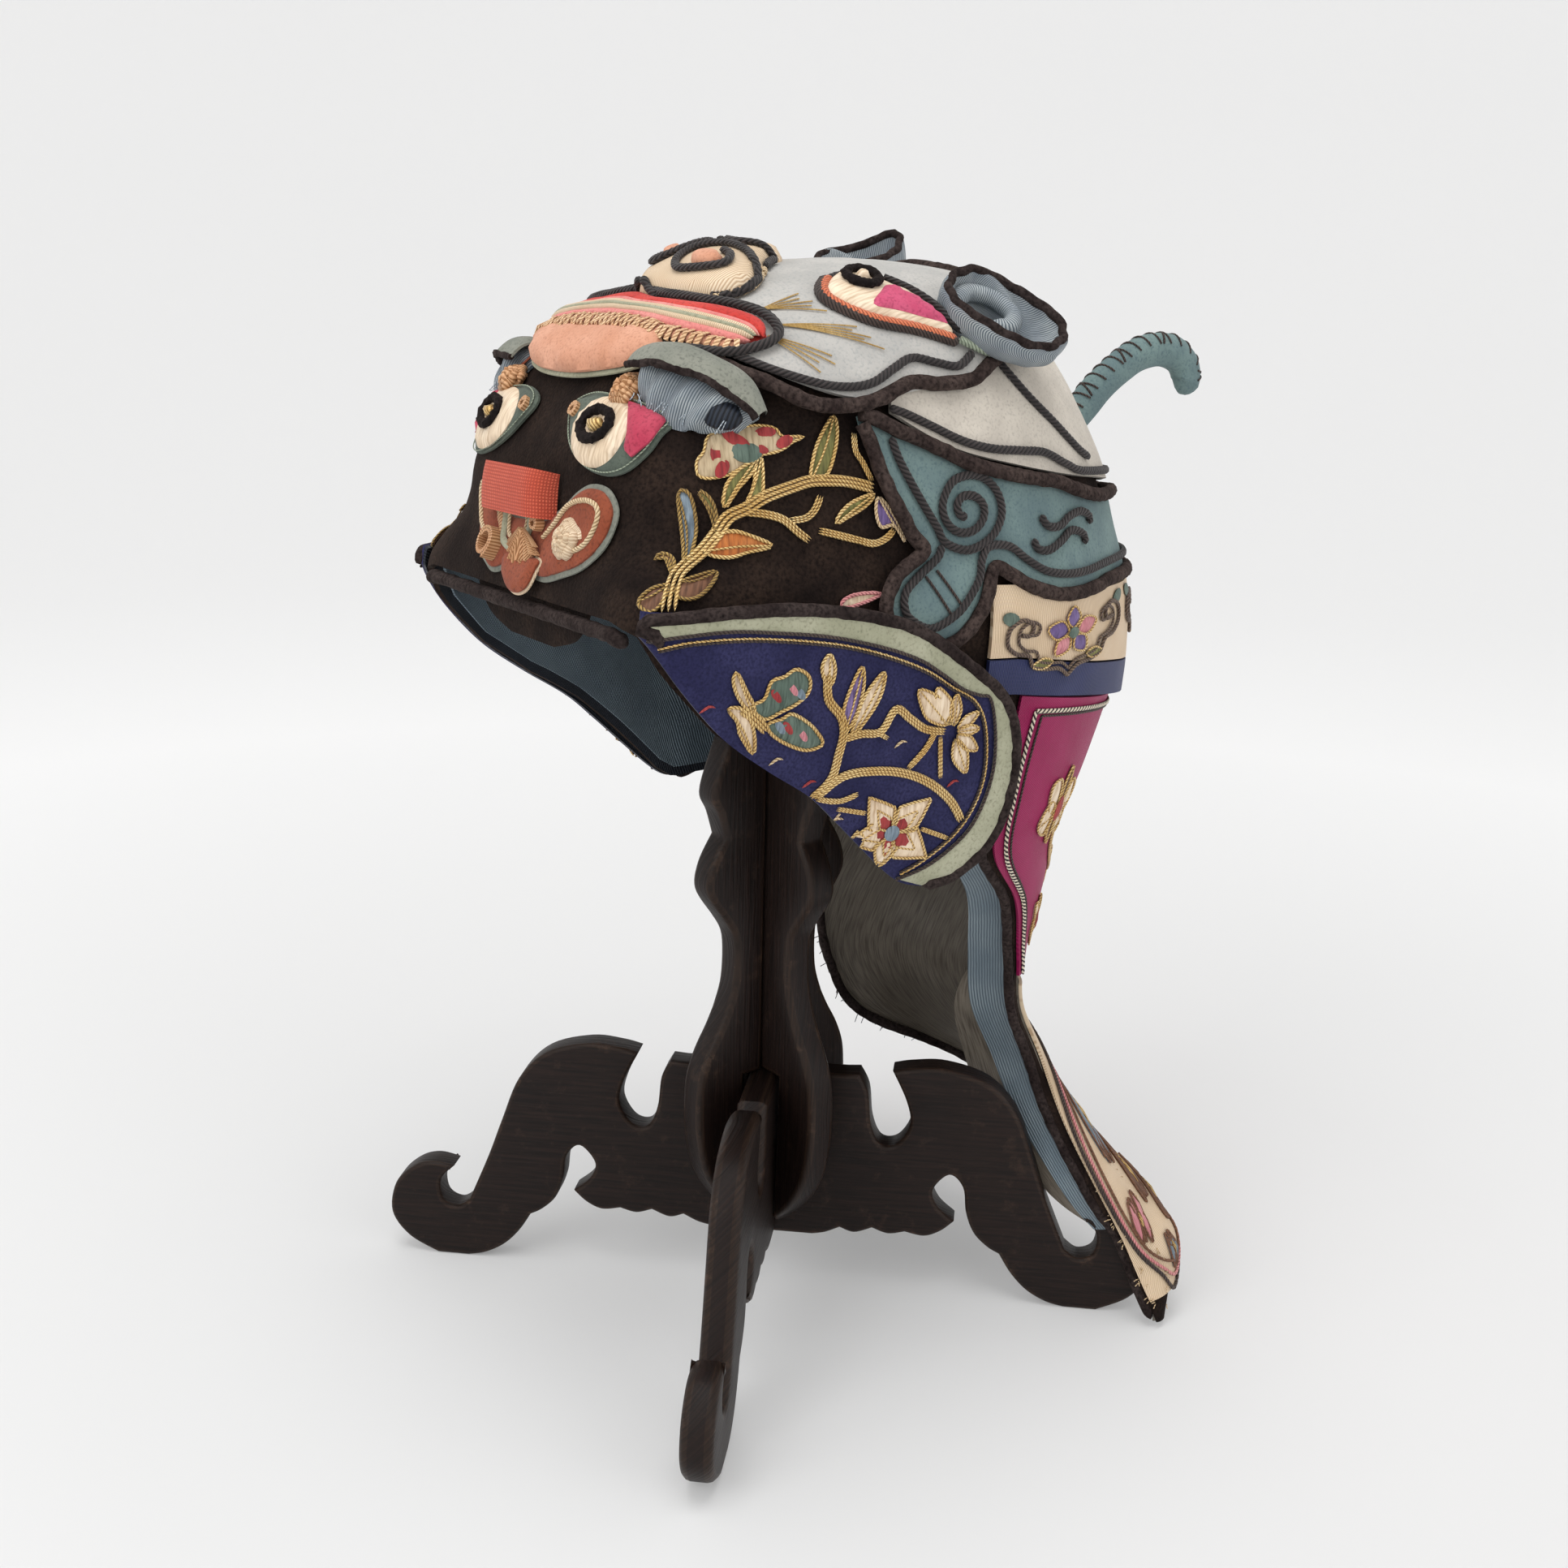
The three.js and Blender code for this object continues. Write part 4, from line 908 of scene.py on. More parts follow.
# %% Cords and threads
CORDED = {"Roughness": 0.75, "Specular_IOR_Level": 0.35, "Sheen_Weight": 0.12}
DARK_BRAID = cloth_finish("dark_cotton_braid", ("2b2525", "3a3231", "0e0a0a"), plaited(1.5), 0.3,
                          12, hollow=(0.15, 0.6), **CORDED)
DARK_CHENILLE = cloth_finish("dark_chenille", ("352b29", "4c403c", "171110"), fibres(1.1), 0.8, 6,
                             **PILE)
BLACK_CHENILLE = cloth_finish("black_chenille", ("1b1717", "262020", "0b0909"), fibres(1.1), 0.7,
                              6, **PILE)


def twisted(name, *tones, period=1.1, **shading):
    """Plied thread: strands that all slant one way."""
    return cloth_finish(name, tones, plaited(period, 0.9, meet=False), 0.2, 10,
                        hollow=(0.1, 0.55), **{**CORDED, **shading})


# Gilt paper wound on silk: metallic, but tarnished and broken, so it stays fairly rough.
GOLD_THREAD = twisted("gilt_thread", "d6b06a", "edd092", "8a6530", Metallic=0.4,
                      Roughness=0.4)
DULL_GOLD = twisted("tarnished_gilt_thread", "96773f", "b39353", "544022", Metallic=0.4,
                    Roughness=0.5)
CREAM_THREAD = twisted("cream_silk_thread", "d6bb92", "e6cfab", "987c58")
DARK_THREAD = twisted("dark_brown_thread", "3b2d28", "4d3d36", "1b1311")
CORAL_THREAD = twisted("coral_silk_thread", "cf6f4a", "dd8159", "93452b")
PINK_THREAD = twisted("pink_silk_thread", "cf8283", "dd9997", "9d5a5d")
SAGE_THREAD = twisted("sage_silk_thread", "8f9a86", "a4ae99", "66705f")


def stitched(name, *tones):
    """Satin stitch: silk floats lying side by side, each about half a millimetre."""
    return silk_cloth(name, tones, floats(0.55, 5), 0.22, 8, Roughness=0.55)


ORANGE_STITCH = stitched("orange_satin_stitch", "b4672f", "c98246", "7c4320")
BROWN_STITCH = stitched("brown_satin_stitch", "6d4a36", "805a43", "432b1f")
OLIVE_STITCH = stitched("olive_satin_stitch", "73703f", "87844e", "4b4927")
BLUE_STITCH = stitched("silver_blue_satin_stitch", "6f7f8c", "8997a2", "4a5763")
RED_STITCH = stitched("red_satin_stitch", "983032", "aa4442", "6c2426")
PURPLE_STITCH = stitched("purple_satin_stitch", "6f5a8c", "83709d", "4a3a63")
PINK_STITCH = stitched("pink_satin_stitch", "c98189", "d8979b", "985860")
GREEN_STITCH = stitched("sage_satin_stitch", "56675c", "6b7b70", "39463e")
AGED_STITCH = stitched("aged_cream_satin_stitch", "bda888", "cdbb9c", "8a7457")
print("finishes:", len(bpy.data.materials))

# %% [markdown]
# ## The stand
# Two leg boards and two post boards are sawn to scrolled outlines and halved together, so each
# pair crosses in a slot. An extruded curve would also give a board, but its slot and its corners
# would have to be cut later. Here the outline is drawn once, as smooth stretches from the middle
# of the underside to the middle of the top, and mirrored, with the slot in it.

# %% Board outlines
BOARD = 9.0  # thickness
LEG_TURN = 50.5  # degrees from x to the lower leg board
LEG_STRETCHES = [
    [(20, 18.4), (24.5, 20.5)], [(29, 19.2), (34.5, 21.2)], [(39.5, 19.7), (44.6, 20.8)],
    [(50.5, 19.9), (55.5, 22), (59.5, 25.6)],
    [(54.5, 30), (52.7, 35.5), (57.5, 41), (61.8, 37), (63, 29), (65.5, 22.5), (69.7, 18.2),
     (73.6, 16)],
    [(77.5, 9.8), (82.5, 4.6), (88.5, 1.3), (94, 0)], [(104, 0)],
    [(113.5, 5), (119, 13), (117.5, 23), (111.5, 29.4), (105, 31.6), (98.3, 30.4)],
    [(102.6, 25.5), (102, 19), (97.5, 16.8), (93.4, 19.5)],
    [(87, 35), (82.5, 47.5), (76.8, 62), (68, 71.4), (55, 75.3), (45, 74.8), (39, 73.5)],
    [(43.5, 64), (44.8, 56.5), (41, 50), (36, 49.6), (33, 56), (31.8, 66), (29, 71.8)],
    [(25, 71.5)],
]
POST_STRETCHES = [
    [(17, 30.5), (24.5, 42), (27.7, 56), (27.7, 71), (25, 80), (20.5, 88), (18, 93)],
    [(15.3, 102), (15.3, 115), (19, 122)], [(25, 131), (24, 139), (19.3, 147)],
    [(21.5, 154), (24, 160), (21, 170), (16, 182)], [(15, 200), (15, 266), (19, 279), (23, 287)],
]


def stretches(start, rows):
    """A line of smooth stretches, each one starting where the last one ended."""
    line = [np.array([start], float)]
    for row in rows:
        piece = np.concatenate([line[-1][-1:], np.array(row, float)])
        line.append((curve(piece, 6) if len(row) > 1 else piece)[1:])
    return np.concatenate(line)


def board_outline(half, *axis_points):
    """Closed outline of a board: its right half up from the axis, and the mirrored left half."""
    right = np.concatenate([np.array(axis_points[0], float), half,
                            np.array(axis_points[1], float)])
    left = (right * [-1, 1])[::-1]
    whole = np.concatenate([right, left])
    apart = np.linalg.norm(whole - np.roll(whole, 1, 0), axis=1) > 1e-3
    return whole[apart]


# Heights where the legs and the posts halve into each other, where the legs' hub and the post end,
# half a slot's width, and how far the post's wings reach over the hub.
LAP, POST_LAP, HUB_TOP, POST_TOP, SLOT, WING = 45.0, 180.0, 71.5, 287.0, 4.8, 11.3
PLAY = 0.3  # air between halved boards
HUB_SEAT, HUB_FOOT = HUB_TOP + PLAY, 17.5
LEG_HALF = stretches((16, HUB_FOOT), LEG_STRETCHES)
POST_HALF = stretches((7, 22), POST_STRETCHES)
POST_HALF = POST_HALF[(POST_HALF[:, 0] > WING) | (POST_HALF[:, 1] > HUB_TOP)]
WING_FOOT = [(WING, POST_HALF[0][1] - 0.8)]
OUTLINES = {
    "leg_board_lower": board_outline(LEG_HALF, [(0, HUB_FOOT)],
                                     [(SLOT, HUB_TOP), (SLOT, LAP), (0, LAP)]),
    "leg_board_upper": board_outline(
        LEG_HALF, [(0, LAP + PLAY), (SLOT, LAP + PLAY), (SLOT, HUB_FOOT)], [(0, HUB_TOP)]),
    "post_board_lower": board_outline(POST_HALF, [(0, HUB_SEAT), (WING, HUB_SEAT)] + WING_FOOT,
                                      [(SLOT, POST_TOP), (SLOT, POST_LAP), (0, POST_LAP)]),
    "post_board_upper": board_outline(
        POST_HALF, [(0, POST_LAP + PLAY), (SLOT, POST_LAP + PLAY), (SLOT, HUB_SEAT),
                    (WING, HUB_SEAT)] + WING_FOOT, [(0, POST_TOP)]),
}
print("outline points:", {name: len(line) for name, line in OUTLINES.items()})

# %% [markdown]
# The arris is rounded by hand rather than with a bevel modifier. A modifier limits its width by the
# shortest edge, and the scrolls have many short ones. Here the outline is drawn in by a little at
# four depths, which gives the same quarter round everywhere and lets the rubbed edge have its own
# browner finish, lighter than the flat faces: rubbing and a painted highlight along the edge.

# %% Boards with rounded arrises


def drawn_in(outline, amount):
    """A closed outline moved inwards along its own corners."""
    after = np.roll(outline, -1, 0) - outline
    amount = amount * np.sign(np.cross(outline, np.roll(outline, -1, 0)).sum())
    before = np.roll(after, 1, 0)
    sides = [unit(np.stack([-e[:, 1], e[:, 0]], -1)) for e in (before, after)]
    middle = unit(sides[0] + sides[1])
    mitre = np.minimum(1 / np.maximum((middle * sides[0]).sum(1), 0.5), 1.42)
    return outline + middle * (mitre * amount)[:, None]


def board(name, node, outline, degrees, arris, upright):
    """A sawn board standing on edge through the post's axis, turned to a plan angle."""
    made = Piece(name)
    turn = np.array([math.cos(math.radians(degrees)), math.sin(math.radians(degrees)), 0.0])
    aside = np.array([-turn[1], turn[0], 0.0])

    def stand_up(flat, depth):
        return flat[:, :1] * turn + np.array([0, 0, 1.0]) * flat[:, 1:] + aside * depth

    def grain(flat, depth):
        ordered = flat[:, ::-1] if upright else flat
        return ordered + np.array([0.0, depth])

    rings = []
    for a in np.radians([0, 30, 60, 90]):
        rings.append((drawn_in(outline, arris * (1 - math.sin(a))),
                      BOARD / 2 - arris * (1 - math.cos(a))))
    rings += [(flat, -depth) for flat, depth in rings[::-1]]
    count = len(outline)
    points = np.concatenate([stand_up(flat, depth) for flat, depth in rings])
    flats = np.concatenate([grain(flat, depth) for flat, depth in rings])
    faces = grid_faces(len(rings), count, wrap=True)
    middle = faces[3 * count:4 * count]
    made.add(points, middle, HARDWOOD, flats)
    # The rounded arrises take the lighter wood: rubbing together with a painted highlight.
    made.add(points, faces[:3 * count] + faces[4 * count:], RUBBED_HIGHLIT_HARDWOOD, flats)
    flat, faces, _ = fill_outline(rings[0][0], 5.0)
    for depth in (BOARD / 2, -BOARD / 2):
        made.add(stand_up(flat, depth), faces, HARDWOOD, grain(flat, depth))
    return made.make("dark_wood", node, sharp=60, weld=True)


for name, node, degrees, arris in [("stand_leg_low", "leg_board_lower", LEG_TURN, 1.2),
                                   ("stand_leg_high", "leg_board_upper", LEG_TURN + 90, 2.4),
                                   ("stand_post_high", "post_board_upper", LEG_TURN + 45, 1.8),
                                   ("stand_post_low", "post_board_lower", LEG_TURN - 45, 1.8)]:
    board(name, node, OUTLINES[node], degrees, arris, upright="post" in name)

# %% [markdown]
# The turned cap on the post is a plain dome hidden in the crown. Its CAD shape is right, so it
# stays and only gets the wood.

# %% The cap
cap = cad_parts["hat_rest"]
cap.data.materials.clear()
cap.data.materials.append(HARDWOOD)
print("cap radius in mm:", round((CAP_HIGH[0] - CAP_LOW[0]) / 2 / MM, 1))

# %% [markdown]
# ## The hood
# The hood is velvet over a thin wadding, so its wall has a thickness and small hollows. It could
# be a subdivided box, but the level sections already give its shape: rings from the top of the
# crown to the edge, with a column at each corner of the edge. Shallow noise makes it hand-made. It
# only sinks inwards, so nothing sewn on it is swallowed.

# %% The hood's wall
RIM = np.array([(0, 221.5), (30, 221.5), (35, 219), (39, 207), (43, 195), (48.5, 185), (56, 176),
                (64, 164), (73, 151), (77, 148), (96, 149), (99, 199), (125, 195), (150, 190),
                (180, 188)], float)
TOP_MIDDLE = np.array([0, 20, TOP_Z])


def hood_layer(out_depth, in_depth, rows, step, rim_lift, dent, dent_mm):
    """Points of both faces of a hood layer: rows of rings from the top down."""
    half = np.unique(np.concatenate([RIM[:, 0], np.arange(0, 180.1, step)]))
    degrees = np.concatenate([half, -half[1:-1][::-1]])
    bottom = np.interp(np.abs(degrees), *RIM.T) + rim_lift
    place = np.linspace(0, 1, len(CROWN))
    rim_place = np.interp(-bottom, -CROWN[::-1, 0], place)
    share = np.linspace(0, 1, rows)[:, None]
    lid = 0.045  # the rings start this far down the sections, round a small flat lid
    z = np.interp(lid + (rim_place - lid) * share, place, CROWN[::-1, 0])
    wall = round_wall(np.broadcast_to(degrees, z.shape), z)
    normal = crown_normal(wall)
    sink = np.array([noise.fractal(Vector(p / dent_mm), 1.0, 2.0, 3) for p in wall.reshape(-1, 3)])
    sink = dent * np.clip(0.5 - 0.7 * sink, 0, 1).reshape(z.shape)
    return [wall - normal * (depth + sink)[..., None] for depth in (out_depth, in_depth)]


def hood_shape(piece, faces_of_layer, look, inner_look):
    """A hood layer with its closed top and edge."""
    outer, inner = faces_of_layer
    rows, columns = outer.shape[:2]
    n = rows * columns
    lids = [TOP_MIDDLE - (0, 0, TOP_MIDDLE[2] - grid[0, :, 2].mean()) for grid in faces_of_layer]
    points = np.concatenate([outer.reshape(-1, 3), inner.reshape(-1, 3), lids])
    flat = np.concatenate([cloth_grid(outer).reshape(-1, 2)] * 2 + [np.zeros((2, 2))])
    faces = grid_faces(rows, columns, wrap=True)
    lid = [(2 * n, (j + 1) % columns, j) for j in range(columns)]
    edge = [(n - columns + j, n - columns + (j + 1) % columns, 2 * n - columns + (j + 1) % columns,
             2 * n - columns + j) for j in range(columns)]
    piece.add(points, faces + lid + edge, look, flat)
    piece.add(points, [tuple(v + n for v in f[::-1]) for f in faces]
              + [(2 * n + 1, n + j, n + (j + 1) % columns) for j in range(columns)],
              inner_look, flat)


hood = Piece("velvet_hood")
hood_shape(hood, hood_layer(0.0, 2.0, 76, 2.5, 0.0, 0.7, 17), VELVET, NIGHT_SILK)
HOOD = hood.make("black_velvet", "crown", weld=True)

# %% [markdown]
# The lining is corded silk sewn a little short, so it puckers. A cloth simulation could pucker it,
# but hardly any of it shows: a second, thinner layer of the same rings with deeper hollows will do.
# The brow's edge is a rolled velvet cord, and a half-oval of velvet hangs inside it.

# %% Lining and brow edge
lining = Piece("hood_lining")
hood_shape(lining, hood_layer(3.9, 4.7, 46, 3.0, 3.0, 1.1, 13), BLUE_SILK, BLUE_SILK)
LINING = lining.make("blue_silk", "crown_lining", weld=True)

angles = np.linspace(-33, 33, 90)
edge_line = raised(round_wall(angles, np.interp(np.abs(angles), *RIM.T)), -1.0) - (0, 0, 3.3)
edge_line = even(edge_line, 0.9)
roll = Piece("brow_piping")
cord(roll, edge_line, crown_normal(edge_line + (0, 0, 3.3)), 4.1, 4.4, PIPING, plait="fluff",
     pitch=3.5, relief=0.14, sides=12, taper=2.0)
roll.make("black_velvet", "brim_piping")

facing = Piece("brow_facing")
rows = curve([(226, 20), (218, 19), (211, 15), (207.5, 8)], 5)
share = np.linspace(-1, 1, 25)
wall = round_wall(rows[:, 1:] * share, np.broadcast_to(rows[:, :1], (len(rows), 25)))
band(facing, raised(wall, -5.7), raised(wall, -6.7), VELVET)
FACING = facing.make("black_velvet", "brim_facing")

# %% [markdown]
# ## The ear flaps
# Each flap is turned back against the hood along a crease and stands off it at its free edge. It is
# a dark lining and a purple silk field, bound with a sage felt band and a rolled velvet edge. The
# rows run from the crease to the free edge, so one table gives the lining, the field and the ground
# that the embroidery lies on.

# %% Flap ground and layers
FLAP_ROWS = [  # crease y and z, free edge y and z, how far the free edge stands off
    (-79.5, 219.5, -78.5, 223.5, 1), (-71, 207, -58, 225, 2), (-60, 195, -35, 224, 2.5),
    (-47, 185.5, -11, 219, 3), (-33, 176.5, 9, 208, 3.5), (-24, 168.5, 23, 196, 4),
    (-15, 160, 28, 178, 4.5), (-8, 153.5, 25, 160, 4), (-3, 149.5, 15, 149.5, 2.5),
    (0, 148, 5, 147, 1),
]
FLAP = curve(FLAP_ROWS, 8)
SAGE_INNER = [
    (-80.3, 218.6), (-72.1, 220), (-60.2, 220.7), (-47.1, 219.6), (-33.3, 217.8), (-18.7, 214.4),
    (-7.3, 210.5), (0.7, 206), (7.5, 201.6), (13.2, 199.5), (16.6, 198.2), (19.8, 188.4),
    (20.8, 178), (18.7, 167.8), (14.5, 160.5), (5.7, 153.6), (-3.5, 150.1)]


class SurfaceGround:
    """A made surface, drawn on along two directions and met along a third."""

    def __init__(self, tree, right, up, out, middle=(0, 0, 0), depth=0.0):
        self.tree, self.middle, self.depth = tree, np.asarray(middle, float), depth
        self.axes = np.array([unit(right), unit(up), unit(out)])

    def flat(self, guides):
        """Flat millimetres of points near the surface."""
        return ((np.asarray(guides, float) - self.middle) @ self.axes.T)[:, :2]

    def onto(self, flat, height=0.0):
        """Place on the surface and its outward direction, straight behind flat points."""
        out = self.axes[2]
        heights = np.broadcast_to(height, (len(flat),))
        places, normals = [], []
        for (u, v), lift in zip(flat, heights):
            start = self.middle + self.axes[0] * u + self.axes[1] * v
            hit, normal, _, _ = self.tree.ray_cast(Vector(start + out * 150), Vector(-out), 300)
            if hit is None:
                hit, normal, _, _ = self.tree.find_nearest(Vector(start + out * self.depth))
            normal = np.array(normal)
            normal = unit(normal * (1 if normal @ out > 0 else -1) + out * 0.15)
            places.append(np.array(hit) + normal * lift)
            normals.append(normal)
        return np.array(places), np.array(normals)


def flap_grid(side, height, columns=21):
    """Points of the turned-back flap at a height over its wall side."""
    share = np.linspace(0, 1, columns)
    y = FLAP[:, :1] + (FLAP[:, 2:3] - FLAP[:, :1]) * share
    z = FLAP[:, 1:2] + (FLAP[:, 3:4] - FLAP[:, 1:2]) * share
    wall = side_wall(y, z, side)
    away = crown_normal(wall)
    away[..., 1] *= np.clip((y + 84) / 22, 0, 1)  # the corner at the brow stays flat
    return wall + unit(away) * (0.6 + FLAP[:, 4:] * np.sqrt(share) + height)[..., None]


def flap_ground(side):
    """The flap's field as a ground drawn on in y and z."""
    field = Piece("field")
    grid = flap_grid(side, 1.9)
    field.add(grid.reshape(-1, 3), grid_faces(*grid.shape[:2]), VELVET,
              cloth_grid(grid).reshape(-1, 2))
    return SurfaceGround(field.tree(), (0, 1, 0), (0, 0, 1), (side, 0, 0), depth=77)


FLAP_GROUND = {side: flap_ground(side) for side in (1, -1)}
SIDE_NAME = {1: "left", -1: "right"}
for side in (1, -1):
    label = SIDE_NAME[side]
    back = Piece(f"flap_lining_{label}")
    band(back, flap_grid(side, 1.0), flap_grid(side, 0.0), NIGHT_SILK)
    backing = back.make("black_velvet", f"ear_flap_{label}")
    field = Piece(f"flap_silk_{label}")
    band(field, flap_grid(side, 1.9), flap_grid(side, 1.05), PURPLE_SILK)
    silk = field.make("purple_silk", f"ear_flap_{label}")
    ground = FLAP_GROUND[side]
    free = even(curve(FLAP[:, 2:4], 2), 2.0)
    border = Piece(f"flap_felt_border_{label}")
    bound = np.concatenate([smooth(SAGE_INNER, 2.0), free[::-1], [(-80.5, 224), (-81, 219)]])
    patch(border, ground, even(bound, 1.8, True), 0.0, 1.1, SAGE_FELT, step=2.2, soft=1.2)
    felt_border = border.make("cream_silk")
    rim = Piece(f"flap_piping_{label}")
    places, normals = ground.onto(even(np.concatenate([[(-80.2, 217), (-80.4, 221)], free]), 0.9),
                                  0.3)
    cord(rim, places, normals, 3.6, 3.4, PIPING, plait="fluff", pitch=3.2, relief=0.14, sides=10,
         taper=2.0)
    sewn_cord(rim, ground, smooth(SAGE_INNER, 2.0), 0.7, 0.9, 0.9, DARK_THREAD, sides=6,
              plait="twist")
    rim.make("black_velvet")

# %% [markdown]
# ## The nape cape
# The cape hangs from the back of the hood as a trough of velvet and turns over the toe of one leg
# at its tip. Each row of its table is half an ellipse from the near edge round the back to the far
# edge. A cloth simulation would hang it anew each time and lose that turn, so the rows are built
# directly, with long shallow folds added to the lining.

# %% Cape rows
CAPE_ROWS = [  # near edge, middle of the back, far edge
    (70.5, 30, 197, 0, 103, 186.5, -70.5, 30, 197), (65, 30, 170, 2, 94, 166, -65, 30, 170),
    (60, 33, 150, 2, 86.5, 148, -59, 36, 149), (51, 50, 131, 0, 80.5, 128, -49, 46, 125),
    (42, 60, 110, -6, 74, 108, -46, 48, 103), (40, 64, 91, -11, 73, 89, -45, 52, 82),
    (43, 70, 74, -4, 82, 70, -41, 64, 62), (55, 69, 59, 30, 90, 54, -14, 88, 51),
    (70, 74, 38, 61, 95, 36, 36, 99, 38), (76, 79.5, 26, 77, 92.5, 28.5, 66, 98.5, 29),
    (80, 83.3, 14, 80, 96.5, 18, 70, 102, 18), (87, 86.5, 2.5, 86, 90, 2.3, 84.5, 90, 2.5),
]
CAPE = curve(CAPE_ROWS, 20)


def cape_points(place, turn):
    """Outer face of the cape at places down it (0 to 1) and turns (near edge 90, far edge -90)."""
    place, turn = np.broadcast_arrays(np.asarray(place, float), np.radians(turn))
    at = np.linspace(0, 1, len(CAPE))
    row = read_off(place, at, CAPE)
    near, back, far = row[..., :3], row[..., 3:6], row[..., 6:]
    middle = (near + far) / 2
    return (middle + (near - middle) * np.sin(turn)[..., None]
            + (back - middle) * np.cos(turn)[..., None])


def cape_normal(place, turn):
    """Outward direction of the cape."""
    low, high = np.maximum(place - 0.006, 0), np.minimum(place + 0.006, 1)
    down = cape_points(high, turn) - cape_points(low, turn)
    around = cape_points(place, turn + 0.5) - cape_points(place, turn - 0.5)
    return unit(np.cross(around, down))


def cape_grid(first, last, near, far, depth, rows, columns):
    """Grid of the cape between two places and two turns, at a depth under its outer face."""
    place = np.linspace(first, last, rows)[:, None] + np.zeros((1, columns))
    turn = np.linspace(far, near, columns)[None, :] + np.zeros((rows, 1))
    sunk = depth(place, turn) if callable(depth) else np.full_like(place, depth)
    return cape_points(place, turn) - cape_normal(place, turn) * sunk[..., None]


print("cape rows:", len(CAPE))

# %% [markdown]
# The shell is velvet; the lining is brown silk that hangs in two long folds; a strip of pale corded
# silk faces the near edge inside, above a stretch where the lining is turned over; and rolled
# bindings finish both edges. Outside are the magenta panel below the neck and the leaf-shaped
# appliqué on the lower half. Each is a band between two depths of the same cape, so none can cut
# through another.

# %% Cape shell, lining, facing and bindings


def fold_depth(place, turn):
    """How deep the lining lies under the outer face, with long folds and small creases."""
    folds = 0.55 * np.sin(np.radians(turn) * 5.5 + place * 5.0) + 0.3 * np.sin(
        np.radians(turn) * 11 - place * 9.0)
    small = np.array([noise.noise(Vector((t * 0.05, p * 9, 2.0)))
                      for p, t in zip(place.ravel(), turn.ravel())]).reshape(place.shape)
    return 2.1 + 0.9 * folds * np.clip(place * 4, 0, 1) + 0.5 * small


shell = Piece("cape_shell")
band(shell, *(cape_grid(0, 1, 90, -90, depth, 100, 36) for depth in (0.0, 0.9)), VELVET)
# The shell is sewn under the hood's edge by a strip of itself.
SEAM_PLACE, SEAM_Z = 0.035, 198.0
turns = np.linspace(-90, 90, 36)
low_edge = cape_points(SEAM_PLACE, turns)
degrees = np.degrees(np.arctan2(low_edge[:, 0], MID_Y - low_edge[:, 1]))
seam_tops = [raised(round_wall(degrees, SEAM_Z), -depth) for depth in (2.3, 3.2)]
seam_lows = [low_edge - cape_normal(np.full(36, SEAM_PLACE), turns) * depth
             for depth in (0.0, 0.9)]
band(shell, *[np.stack([top + (low - top) * k for k in np.linspace(0, 1, 5)])
              for top, low in zip(seam_tops, seam_lows)], VELVET)
SHELL = shell.make("brown_silk", "nape_cape")
cape_lining = Piece("cape_lining")
band(cape_lining, *(cape_grid(0.0, 0.995, 89, -89, depth, 110, 60)
                    for depth in (1.0, fold_depth)), BROWN_SILK)
LINED = cape_lining.make("brown_silk", "nape_cape")
FACING_WIDTH, TURNED_WIDTH = 13.0, 12.0
edge = cape_points(np.linspace(0.16, 0.8, 70)[:, None], 89.0 + np.zeros((1, 1)))
flare = np.sin(np.linspace(0.25, 1, 70) * math.pi * 0.9)[:, None, None] ** 0.8
flare = flare * FACING_WIDTH + 1.0
inwards = np.linspace(0, 1, 7)[None, :, None] * unit(np.array([-0.78, -0.42, -0.1]))
lapel = edge + flare * inwards
lapel = lapel + np.array([-1.6, 0.6, 0]) + 0.5 * np.sin(np.linspace(0, 1, 7) * 5)[None, :, None]
strip = Piece("cape_facing_strip")
band(strip, lapel, lapel + (0.45, 0.65, 0), FACING_SILK)
# Lower down the lining itself is turned over the edge, further in than the facing.
wider = np.sin(np.linspace(0, 1, 45) * math.pi)[:, None, None] ** 0.7 * TURNED_WIDTH
turned = edge[25:] + (flare[25:] + wider) * inwards + (-1.1, 1.3, 0)
band(strip, turned, turned + (0.45, 0.65, 0), BROWN_SILK)
STRIP = strip.make("blue_silk")
binding = Piece("cape_bindings")
for side in (1, -1):
    place = np.linspace(0.1, 0.985, 90)
    edge = cape_points(place, side * 90.0)
    normal = cape_normal(place, np.full(90, side * 90.0))
    down = np.gradient(edge, axis=0)
    outward = unit(np.cross(down, normal)) * side
    line = even(edge + outward * 1.2 - normal * 1.2, 0.9)
    turned = read_off(np.linspace(0, 1, len(line)), np.linspace(0, 1, 90), normal)
    cord(binding, line, turned, 3.4, 3.2, PIPING, plait="fluff", pitch=3.0, relief=0.12, sides=10,
         taper=2.0)
binding.make("black_velvet", "cape_binding_left", "cape_binding_right")
panel = Piece("silk_magenta_panel")
band(panel, *(cape_grid(0.0, 0.4, 88, -88, depth, 40, 44) for depth in (-1.5, -0.5)), MAGENTA_SILK)
PANEL = panel.make("magenta_silk", "magenta_panel")
leaf = Piece("silk_cape_leaf")
band(leaf, *(cape_grid(0.42, 0.95, 81, -81, depth, 60, 36) for depth in (-1.5, -0.5)), CREAM_SILK)
LEAF = leaf.make("cream_silk", "cape_leaf")

# %% [markdown]
# ## Bands and panels of the tiger's body
# Two silk bands run round the back. The back and the face are grey felt panels that lap over each
# other. Each is laid on the hood's wall or crown at its own height, so that they overlap like the
# real layers.

# %% Silk bands round the back
CREAM_BAND = np.array([(93, 226.5, 208), (101, 226, 207.6), (125, 222.5, 203), (150, 222, 198.5),
                       (180, 222, 196.5)])
NAVY_BAND = np.array([(93, 207.4, 198.4), (101, 207, 197.6), (125, 202.4, 193.4),
                      (150, 197.9, 188.4), (180, 195.9, 186.2)])


